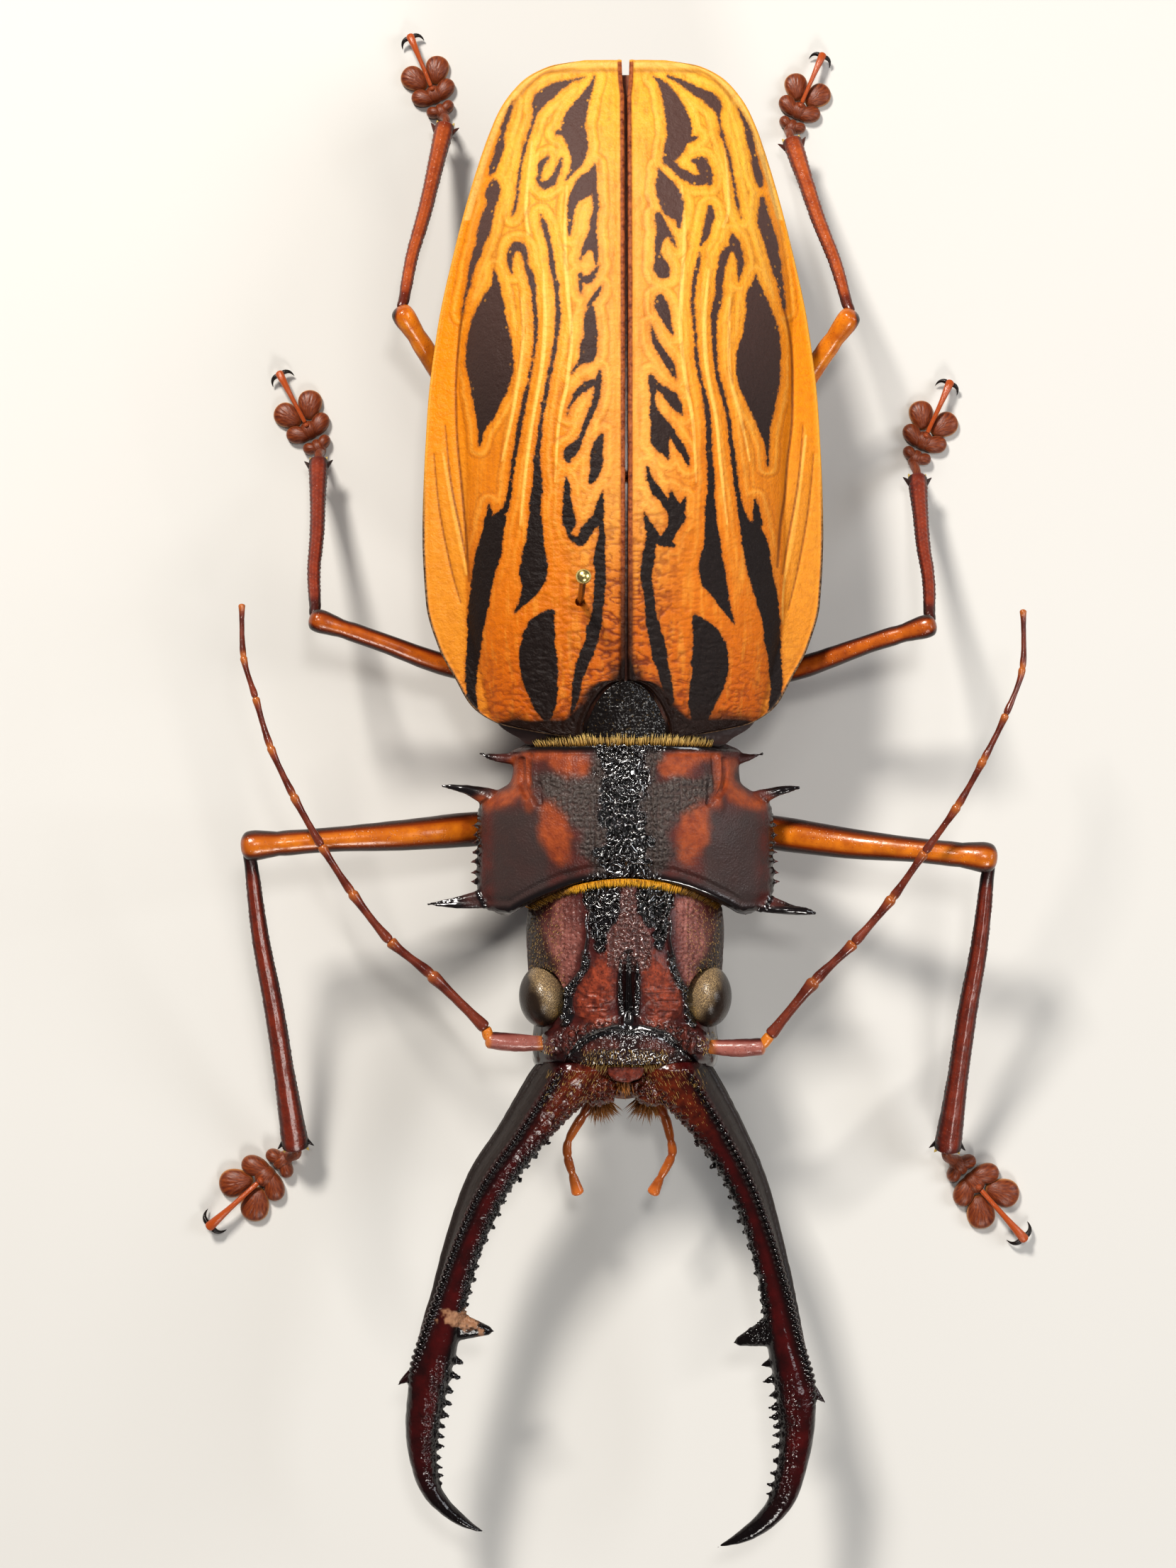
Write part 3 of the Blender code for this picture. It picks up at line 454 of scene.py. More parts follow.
# camera, floor and lights
studio = {"floorSize": 3.0, "floorColour": (0.53, 0.515, 0.49), "worldColour": (0.93, 0.95, 1.0),
          "worldPower": 0.13,
          "lights": [("keyLight", (-0.20, 0.38, 0.46), 0.11, 4.4, (1.0, 0.96, 0.90)),
                     ("topLight", (0.025, 0.09, 0.47), 0.045, 0.45, (1.0, 0.99, 0.97)),
                     ("fillLight", (0.50, 0.05, 0.36), 0.24, 1.3, (0.92, 0.96, 1.0)),
                     ("frontLight", (0.14, -0.50, 0.40), 0.16, 1.6, (1.0, 0.97, 0.93))]}


def buildStudio():
    deselect()
    bpy.ops.mesh.primitive_plane_add(size=studio["floorSize"])
    floor = bpy.context.object
    floor.name = "floor"
    material, shader, place = startMaterial("palePaperFloor")
    tone = blendOf(noiseOf(place, 60.0), studio["floorColour"],
                   tuple(c * 0.97 for c in studio["floorColour"]))
    feed(shader, {"Base Color": tone, "Roughness": 0.9})
    floor.data.materials.append(material)
    for name, spot, size, power, colour in studio["lights"]:
        bpy.ops.object.light_add(type="AREA", location=spot)
        lamp = bpy.context.object
        lamp.name = name
        lamp.data.size = size
        lamp.data.energy = power
        lamp.data.color = colour
        lamp.rotation_euler = (-Vector(spot)).to_track_quat("-Z", "Y").to_euler()
    world = bpy.data.worlds.new("studioWorld")
    bpy.context.scene.world = world
    world.use_nodes = True
    sky = world.node_tree.nodes["Background"]
    sky.inputs["Color"].default_value = (*studio["worldColour"], 1.0)
    sky.inputs["Strength"].default_value = studio["worldPower"]
    bpy.ops.object.camera_add(location=(view["x"] * mm, view["y"] * mm, view["height"] * mm),
                              rotation=(0, 0, 0))
    camera = bpy.context.object
    camera.name = "camera"
    camera.data.sensor_fit = "VERTICAL"
    camera.data.sensor_height = view["sensor"]
    camera.data.lens = view["sensor"] * view["focal"] / view["size"][1]
    camera.data.clip_start = 0.01
    bpy.context.scene.camera = camera
    bpy.context.scene.view_settings.view_transform = "Standard"
    bpy.context.scene.view_settings.look = "Medium High Contrast"
    print("studio ready")


buildStudio()

# wing cases
wing = {
    "width": [(3.8, 6.0), (4.3, 9.4), (5.4, 14.0), (7.3, 16.7), (10.0, 18.3), (13.5, 20.2), (18.4, 21.6),
              (26.0, 22.0), (39.0, 21.5), (48.3, 20.4), (56.7, 18.6), (65.1, 16.3), (71.3, 13.9),
              (74.7, 11.3), (76.4, 8.2), (77.0, 4.4)],
    "narrower": {"right": 1.0, "left": 0.975},
    "span": [(3.8, 17.5), (10.0, 19.5), (18.0, 21.7), (26.0, 22.0), (39.0, 21.5), (48.3, 20.5),
             (56.7, 18.7), (65.1, 16.5), (71.3, 15.0), (77.0, 13.5)],
    "crown": [(3.8, 25.2), (10.0, 26.8), (20.0, 28.2), (30.0, 28.8), (42.0, 28.4), (54.0, 26.9),
              (64.0, 24.6), (71.0, 22.3), (77.0, 19.8)],
    "edge": [(3.8, 20.0), (15.0, 19.0), (30.0, 18.4), (50.0, 17.8), (77.0, 17.5)],
    "foldRise": [(3.8, 1.0), (15.0, 2.0), (30.0, 2.0), (50.0, 1.2), (77.0, 0.6)],
    "foldPlace": [(3.8, 0.80), (30.0, 0.78), (45.0, 0.86), (60.0, 0.93), (77.0, 0.95)],
    "opening": [(3.8, 0.16), (72.5, 0.16), (74.5, 0.34), (77.0, 0.42)],
    "front": 3.8, "tip": 77.0, "thickness": 0.75, "grid": (124, 500), "liningGrid": (36, 110),
    "pinSpot": (-4.9, 18.0), "pinHole": 0.5,
}
shieldlet = {"width": [(3.7, 4.2), (4.9, 4.15), (6.7, 3.5), (8.2, 2.6), (9.2, 1.6), (9.7, 0.6)], "room": 0.45,
             "thickness": 0.95, "rear": 9.7, "front": 3.8}

# dark marks of the wing cases as brush strokes: (across, along, half width) in picture pixels
wingMarks = {
    "right": [
        [(825, 108, 1), (807, 114, 2.5), (790, 121, 6), (775, 130, 9), (763, 140, 10), (757, 152, 5.5),
         (755, 162, 2), (748, 185, 1.7), (738, 217, 1.7), (732, 250, 1.6), (728, 285, 1.6), (723, 303, 1)],
        [(839, 107, 1), (834, 120, 3), (827, 134, 6), (820, 148, 10), (812, 165, 14.5), (809, 182, 17),
         (814, 196, 14.5), (816, 212, 12.5), (815, 225, 8), (808, 240, 3.5), (799, 253, 1)],
        [(785, 188, 1.5), (797, 186, 5), (808, 186, 9)],
        [(723, 143, 1), (719, 155, 3.5), (713, 172, 4), (709, 187, 3.5), (706, 203, 5), (701, 220, 5.5),
         (696, 234, 5.5), (692, 245, 1.5)],
        [(697, 257, 4), (695, 270, 9.5), (693, 288, 6.5), (688, 303, 7), (683, 322, 8), (678, 342, 6.5),
         (671, 360, 5.5), (665, 380, 4), (661, 400, 2.5), (656, 420, 2), (652, 443, 1.3)],
        [(773, 222, 2), (764, 231, 3), (761, 245, 2), (760, 256, 3), (768, 261, 6), (778, 256, 5),
         (785, 244, 4), (790, 232, 3.5), (793, 224, 2)],
        [(839, 232, 1.5), (835, 247, 7), (826, 262, 14), (815, 273, 9), (808, 285, 6.5), (805, 300, 4.5),
         (804, 318, 3), (803, 331, 1)],
        [(836, 262, 6), (840, 278, 4), (841, 295, 3.5), (837, 313, 4), (836, 330, 6), (832, 343, 8),
         (825, 353, 4), (818, 365, 1)],
        [(836, 340, 7), (840, 355, 4), (841, 372, 1)],
        [(846, 373, 1), (838, 386, 4), (830, 394, 5), (820, 393, 4)],
        [(819, 388, 2.5), (819, 400, 2.5), (820, 413, 1)],
        [(848, 404, 1), (840, 417, 3), (829, 432, 1)],
        [(834, 435, 3), (833, 445, 8), (832, 458, 9), (834, 472, 9), (831, 487, 12), (829, 500, 11),
         (818, 511, 3.5), (805, 527, 1)],
        [(697, 380, 1), (699, 403, 6.5), (695, 427, 15), (691, 450, 23), (690, 470, 28), (690, 493, 32.5),
         (691, 516, 33), (691, 536, 28), (688, 556, 22.5), (685, 577, 16), (680, 600, 6.5), (676, 629, 1)],
        [(722, 385, 1), (719, 372, 2.5), (720, 358, 4), (727, 348, 6), (736, 349, 5.5), (741, 358, 3.5),
         (742, 372, 2.5), (747, 385, 4), (751, 400, 3.5), (753, 420, 3.5), (755, 440, 2.8), (756, 465, 2.5),
         (754, 490, 2.2), (750, 515, 2.2), (746, 540, 2.5), (741, 560, 3.2), (735, 590, 3.5),
         (730, 620, 3.5), (725, 645, 3.2), (722, 670, 3), (718, 700, 3), (713, 720, 4)],
        [(763, 303, 1), (767, 315, 3.5), (771, 330, 3.5), (776, 350, 3), (779, 372, 3), (784, 397, 3),
         (786, 420, 3), (787, 447, 3), (785, 470, 3), (781, 500, 2.5), (776, 525, 2.5), (770, 555, 3),
         (765, 585, 3), (761, 615, 3.5), (758, 645, 4.5), (758, 670, 6), (758, 690, 8), (755, 715, 8),
         (755, 740, 9.5), (754, 765, 13), (754, 790, 18), (752, 810, 19), (748, 830, 12), (737, 850, 5),
         (726, 864, 1)],
        [(713, 715, 3), (706, 728, 8), (698, 745, 13), (693, 760, 15.5), (689, 780, 17.5), (684, 800, 16.5),
         (680, 820, 14.5), (677, 840, 14.5), (674, 860, 13.5), (671, 885, 12), (668, 915, 9.5),
         (665, 945, 8.5), (664, 970, 7.5), (667, 995, 6.5), (672, 1010, 5)],
        [(690, 712, 2), (690, 725, 4), (688, 740, 7)],
        [(779, 863, 3), (770, 875, 13), (763, 890, 20), (759, 910, 25), (759, 932, 26.5), (761, 952, 26),
         (765, 975, 21), (768, 992, 17), (770, 1006, 10), (770, 1017, 3)],
        [(846, 524, 2), (843, 540, 5), (842, 556, 4.5), (838, 572, 4), (830, 590, 4), (823, 608, 3.5),
         (817, 622, 4), (809, 634, 8), (802, 640, 8), (802, 653, 2)],
        [(838, 540, 5), (825, 545, 6), (813, 557, 4), (803, 575, 2), (801, 586, 1)],
        [(798, 672, 1), (800, 688, 4), (799, 702, 5), (801, 720, 8), (803, 735, 9.5), (803, 744, 6)],
        [(800, 748, 1.5), (806, 758, 3.5), (815, 764, 5), (822, 760, 7), (826, 750, 8), (834, 739, 8),
         (843, 730, 8), (846, 715, 6.5), (848, 702, 3), (851, 693, 1)],
        [(849, 735, 2), (849, 757, 5), (846, 775, 7), (845, 790, 9), (847, 807, 7.5), (846, 835, 8),
         (844, 852, 8), (841, 872, 9), (837, 887, 10.5), (835, 902, 9), (830, 917, 9.5), (823, 934, 9),
         (817, 950, 8), (813, 968, 6.5), (811, 988, 5), (806, 1005, 2)],
        [(850, 612, 1.5), (845, 625, 6), (842, 642, 8.5), (841, 660, 8), (836, 675, 5), (833, 681, 1)],
    ],
    "left": [
        [(942, 107, 1), (955, 113, 2.5), (972, 122, 5), (988, 131, 7), (1002, 139, 9), (1011, 149, 7),
         (1014, 163, 2.5), (1018, 187, 1.8), (1025, 210, 1.8), (1031, 235, 1.7), (1036, 262, 1.6),
         (1040, 287, 1.6), (1046, 307, 1)],
        [(922, 108, 1), (931, 115, 3.5), (940, 127, 7.5), (947, 143, 11.5), (953, 160, 15), (958, 177, 18),
         (957, 192, 16), (952, 207, 14), (945, 221, 9)],
        [(985, 193, 1), (974, 196, 5), (965, 195, 9)],
        [(942, 224, 7), (952, 236, 5.5), (965, 246, 6), (979, 253, 6), (990, 253, 8), (998, 246, 7),
         (1001, 257, 4)],
        [(979, 226, 2), (990, 230, 8), (995, 240, 9)],
        [(1042, 153, 1), (1049, 168, 3), (1055, 183, 4), (1059, 200, 4.5), (1063, 217, 4.5),
         (1066, 233, 5.5), (1070, 248, 6), (1073, 260, 4)],
        [(1075, 280, 3), (1076, 293, 6), (1078, 310, 9), (1083, 328, 9), (1088, 345, 9), (1092, 362, 8),
         (1096, 380, 6.5), (1101, 400, 5), (1104, 420, 3.5), (1107, 437, 2)],
        [(1002, 293, 3), (1002, 305, 6), (998, 320, 5), (995, 332, 5), (989, 345, 2)],
        [(929, 239, 1.5), (935, 252, 6), (942, 267, 12), (946, 281, 16), (950, 294, 14), (957, 308, 5),
         (958, 319, 1.5)],
        [(930, 255, 4), (932, 272, 6), (938, 288, 6)],
        [(929, 303, 4), (932, 315, 7), (934, 328, 7.5), (929, 342, 5), (928, 357, 4.5), (931, 370, 8),
         (934, 381, 11), (942, 389, 3)],
        [(934, 312, 4), (943, 328, 4), (950, 340, 3), (954, 348, 1)],
        [(931, 421, 6), (933, 432, 9.5), (938, 446, 7), (944, 460, 3.5), (949, 472, 1)],
        [(919, 459, 1.5), (922, 475, 4), (930, 492, 5), (940, 505, 5.5), (947, 518, 5), (953, 534, 1.5)],
        [(1067, 388, 1), (1066, 401, 6), (1066, 417, 12), (1069, 434, 16.5), (1072, 452, 21),
         (1074, 473, 26), (1072, 493, 30), (1070, 513, 31.5), (1071, 533, 30), (1073, 551, 25),
         (1075, 570, 20), (1077, 590, 12), (1079, 607, 7), (1082, 630, 3), (1083, 657, 1)],
        [(1033, 331, 2), (1036, 343, 6.5), (1042, 357, 5.5), (1045, 372, 5), (1043, 385, 3),
         (1042, 396, 1)],
        [(1034, 350, 5), (1027, 352, 5), (1022, 362, 7), (1018, 378, 5.5), (1015, 397, 5.5),
         (1014, 415, 5.5), (1010, 435, 5), (1007, 455, 4.5), (1008, 480, 3.5), (1009, 505, 2.5),
         (1012, 528, 2.5), (1017, 548, 2.8), (1023, 568, 3), (1028, 592, 3), (1030, 612, 3), (1033, 635, 3),
         (1036, 660, 3), (1039, 685, 3), (1043, 708, 3.5), (1047, 725, 5), (1052, 742, 9), (1062, 756, 16),
         (1066, 775, 18), (1070, 795, 18), (1076, 818, 16.5), (1081, 840, 15.5), (1086, 863, 14),
         (1089, 887, 12.5), (1091, 913, 11), (1094, 940, 9), (1095, 967, 8.5), (1094, 988, 8),
         (1089, 1005, 6)],
        [(1065, 705, 1.5), (1067, 720, 4.5), (1069, 738, 7)],
        [(987, 356, 2), (985, 372, 3.5), (981, 390, 3.5), (978, 410, 3), (977, 430, 2.4), (979, 450, 2.2),
         (981, 475, 2.2), (982, 500, 2.3), (986, 525, 2.5), (991, 545, 2.8), (996, 570, 3.2),
         (999, 595, 3.5), (1000, 620, 4), (1001, 645, 5), (1003, 670, 5.5), (1003, 690, 5.5),
         (1002, 712, 7), (1003, 735, 9), (1005, 755, 10.5), (1005, 775, 13.5), (1003, 790, 16),
         (1005, 810, 19), (1011, 827, 14.5), (1019, 846, 9), (1026, 861, 5), (1035, 879, 1.5)],
        [(980, 869, 3), (984, 877, 8), (990, 887, 13), (997, 900, 19.5), (1001, 915, 24), (1002, 934, 26),
         (1000, 955, 25), (995, 973, 22.5), (990, 990, 19.5), (988, 1007, 14), (987, 1020, 6),
         (987, 1030, 2)],
        [(918, 530, 3), (922, 545, 6), (921, 560, 3.5), (922, 577, 5), (928, 592, 10), (933, 607, 15),
         (931, 622, 13), (938, 634, 6), (942, 647, 2)],
        [(922, 540, 5), (935, 550, 6), (947, 560, 8), (955, 573, 7), (963, 585, 2)],
        [(938, 600, 7), (950, 615, 6), (959, 630, 5.5), (967, 643, 4), (971, 656, 2)],
        [(913, 659, 1.5), (917, 675, 4.5), (925, 690, 6), (935, 703, 6), (942, 716, 5)],
        [(947, 693, 3), (948, 705, 6), (952, 718, 11), (955, 730, 12), (950, 745, 8), (942, 757, 8),
         (936, 764, 6)],
        [(966, 703, 2), (963, 715, 5), (958, 728, 7)],
        [(909, 724, 2), (914, 738, 5), (920, 751, 6.5), (930, 762, 5.5), (940, 766, 5), (950, 770, 2)],
        [(920, 755, 8), (917, 770, 8), (915, 787, 9.5), (912, 805, 8), (913, 825, 7.5), (916, 845, 7.5),
         (918, 865, 8), (922, 885, 9.5), (927, 905, 10.5), (930, 923, 11), (934, 938, 8.5), (938, 953, 8),
         (942, 970, 7), (946, 990, 5)],
    ],
}
# thin brown fold lines and raised veins, as strokes in picture pixels
wingFolds = {
    "right": [
        [(652, 443, 1.5), (648, 473, 1.4), (644, 520, 1.4), (643, 560, 1.4), (645, 620, 1.4),
         (651, 683, 1.6), (657, 750, 1.6), (662, 820, 1.2)],
        [(628, 600, 0.6), (636, 680, 1.2), (650, 750, 1.2), (660, 800, 0.6)],
        [(612, 640, 0.6), (620, 720, 1.0), (636, 800, 1.0), (650, 850, 0.6)],
    ],
    "left": [
        [(1107, 437, 1.5), (1113, 465, 1.5), (1117, 500, 1.5), (1118, 550, 1.5), (1117, 600, 1.5),
         (1111, 650, 1.5), (1107, 700, 1.6), (1101, 740, 1.8), (1097, 800, 1.4)],
        [(1133, 600, 0.6), (1126, 680, 1.2), (1112, 760, 1.2), (1104, 810, 0.6)],
        [(1148, 640, 0.6), (1140, 720, 1.0), (1126, 800, 1.0), (1112, 860, 0.6)],
    ],
}
wingVeins = {
    "right": [
        [(800, 262, 1), (797, 330, 2), (800, 400, 2.5), (806, 470, 2.5), (800, 540, 2.5), (788, 600, 2),
         (783, 680, 1)],
        [(750, 200, 1), (742, 290, 2), (745, 330, 2)],
        [(766, 380, 1), (769, 450, 2.5), (764, 520, 2.5), (752, 590, 2), (742, 660, 2), (734, 740, 1)],
        [(735, 420, 1), (738, 470, 2), (732, 530, 2), (722, 590, 2), (708, 650, 1)],
        [(625, 640, 1.5), (636, 700, 3), (648, 760, 3), (658, 810, 1.5)],
    ],
    "left": [
        [(962, 262, 1), (966, 330, 2), (962, 400, 2.5), (960, 470, 2.5), (968, 540, 2.5), (978, 600, 2),
         (982, 680, 1)],
        [(1022, 200, 1), (1028, 290, 2), (1020, 320, 2)],
        [(1000, 380, 1), (994, 450, 2.5), (997, 520, 2.5), (1010, 590, 2), (1017, 660, 2), (1026, 740, 1)],
        [(1030, 420, 1), (1028, 470, 2), (1030, 530, 2), (1045, 590, 2), (1058, 650, 1)],
        [(1137, 615, 1.5), (1126, 700, 3), (1118, 760, 3), (1106, 825, 1.5), (1104, 880, 1)],
    ],
}


def wingHeight(x, y):
    share = np.minimum(np.abs(x) / curveAt(wing["span"], y), 1.0)
    crown, edge = curveAt(wing["crown"], y), curveAt(wing["edge"], y)
    fold, place = curveAt(wing["foldRise"], y), curveAt(wing["foldPlace"], y)
    dome = edge + fold + (crown - edge - fold) * (1 - np.minimum(share / place, 1.0) ** 2.3) ** 0.75
    flange = edge + fold * (1 - np.maximum((share - place) / (1 - place), 0.0) ** 0.8)
    return np.where(share < place, dome, flange)


def wingInner(y):
    rear = shieldlet["rear"]
    return np.where(y <= rear, curveAt(shieldlet["width"], y) + shieldlet["room"],
                    curveAt(wing["opening"], y))


def wingMaterial():
    material, shader, place = startMaterial("leatheryWing")
    along = put("SeparateXYZ", {"Vector": place}).outputs["Y"]
    mark, seam, rim = fieldOf("mark"), fieldOf("seam"), fieldOf("rim")
    vein, fold, crease = fieldOf("vein"), fieldOf("fold"), fieldOf("crease")
    cloud = noiseOf(stretched(place, (1.0, 0.25, 1.0)), 4.0)
    gold = blendOf(rampOf(along, 0.034, 0.066), (0.62, 0.205, 0.008), (0.72, 0.375, 0.042))
    gold = layered(gold, [
        (rampOf(along, 0.036, 0.008), (0.47, 0.105, 0.004)),
        (fieldOf("glare"), (0.66, 0.33, 0.075)),
        (rampOf(cloud, 0.35, 0.75, 0.0, 0.45), (0.47, 0.135, 0.008)),
    ])
    streak = noiseOf(stretched(place, (1.0, 0.08, 1.0)), 0.7, 4.0)
    gold = layered(gold, [
        (rampOf(streak, 0.5, 0.8, 0.0, 0.4), (0.76, 0.41, 0.07)),
        (rampOf(streak, 0.48, 0.25, 0.0, 0.5), (0.38, 0.10, 0.006)),
        (fieldOf("side"), (0.68, 0.215, 0.002)),
        (rampOf(vein, 1.2, -1.0, 0.0, 0.7), (0.82, 0.50, 0.13)),
    ])
    border = rampOf(sumOf(mark, -10.5), -4.0, 4.0, -1.0, 1.0)
    crest = rampOf(sumOf(border, 0.0, "ABSOLUTE"), 1.0, 0.1, 0.0, 0.26)
    gold = blendOf(sumOf(crest, fieldOf("calm"), "MULTIPLY"), gold, (0.82, 0.50, 0.11))
    line = rampOf(sumOf(sumOf(mark, -16.5), 0.0, "ABSOLUTE"), 2.4, 0.3, 0.0, 0.42)
    gold = layered(gold, [
        (sumOf(line, fieldOf("calm"), "MULTIPLY"), (0.34, 0.11, 0.012)),
        (fieldOf("apexBand"), (0.66, 0.42, 0.12)),
        (fieldOf("apexShade"), (0.30, 0.14, 0.03)),
        (fieldOf("flange"), (0.62, 0.25, 0.025)),
        (sumOf(fieldOf("blush"), 0.36, "MULTIPLY"), (0.30, 0.062, 0.012)),
        # painted shade: the sunk valleys of the crinkles are darkened where the blush lies
        (sumOf(crease, fieldOf("blush"), "MULTIPLY"), (0.13, 0.024, 0.008)),
        (rampOf(fold, 1.5, -1.0, 0.0, 0.85), (0.12, 0.032, 0.008)),
    ])
    ragged = sumOf(mark, rampOf(noiseOf(place, 0.35, 4.0, 0.7), 0.25, 0.75, -2.0, 2.0))
    dark = rampOf(ragged, 0.9, -0.9)
    upper = rampOf(along, 0.030, 0.060)
    fleck = rampOf(cellsOf(place, 0.28), 0.16, 0.05, 0.0, 0.45)
    ink = blendOf(upper, (0.013, 0.008, 0.007), (0.080, 0.043, 0.036))
    ink = blendOf(fleck, ink, (0.10, 0.06, 0.045))
    dots = rampOf(cellsOf(place, 1.1), 0.17, 0.12)
    nearEdge = rampOf(mark, -8.0, -3.0)
    ink = blendOf(sumOf(dots, sumOf(nearEdge, upper, "MULTIPLY"), "MULTIPLY"), ink, (0.42, 0.19, 0.03))
    halo = rampOf(ragged, 4.0, 0.5, 0.0, 0.55)
    skin = blendOf(halo, gold, (0.30, 0.085, 0.010))
    skin = blendOf(dark, skin, ink)
    seamTone = blendOf(rampOf(noiseOf(place, 0.5), 0.4, 0.7), (0.30, 0.085, 0.025), (0.10, 0.020, 0.009))
    skin = blendOf(rampOf(seam, 0.55, 0.38), skin, seamTone)
    # near-black along the base of the case, round the scutellum and down the front of the suture
    skin = blendOf(fieldOf("baseBlack"), skin, (0.014, 0.006, 0.004))
    rimGrain = rampOf(noiseOf(place, 0.3), 0.35, 0.65)
    rimTone = blendOf(rampOf(along, 0.034, 0.026), (0.60, 0.27, 0.03),
                      blendOf(rimGrain, (0.018, 0.010, 0.007), (0.20, 0.12, 0.06)))
    skin = blendOf(rampOf(rim, 0.34, 0.16), skin, rimTone)
    normal = bumpOf(noiseOf(place, 0.50, 5.0, 0.62), 0.15, 0.9)
    normal = bumpOf(noiseOf(place, 0.16, 3.0, 0.6), 0.045, 0.8, normal)
    normal = bumpOf(cellsOf(place, 0.30), 0.05, 0.6, normal)
    feed(shader, {"Base Color": skin, "Roughness": rampOf(dark, 0.0, 1.0, 0.36, 0.46), "Normal": normal,
                  "Specular IOR Level": 0.17})
    return material


# grid over a wing case: places from the suture outwards and from the base to the tip
def wingGrid(side, grid, drop=0.0):
    deselect()
    bpy.ops.mesh.primitive_grid_add(x_subdivisions=grid[0], y_subdivisions=grid[1], size=1.0)
    obj = bpy.context.object
    flat = readPoints(obj) * mm
    u, v = flat[:, 0] + 0.5, flat[:, 1] + 0.5
    y = wing["front"] + (wing["tip"] - wing["front"]) * (v - 0.023 * np.sin(2 * np.pi * v))
    inner, outer = wingInner(y), curveAt(wing["width"], y) * wing["narrower"][side]
    x = inner + (outer - inner) * u
    points = np.stack([sides[side] * x, y, wingHeight(x, y) - drop], 1)
    return obj, points, x - inner, (1 - u) * (outer - inner)


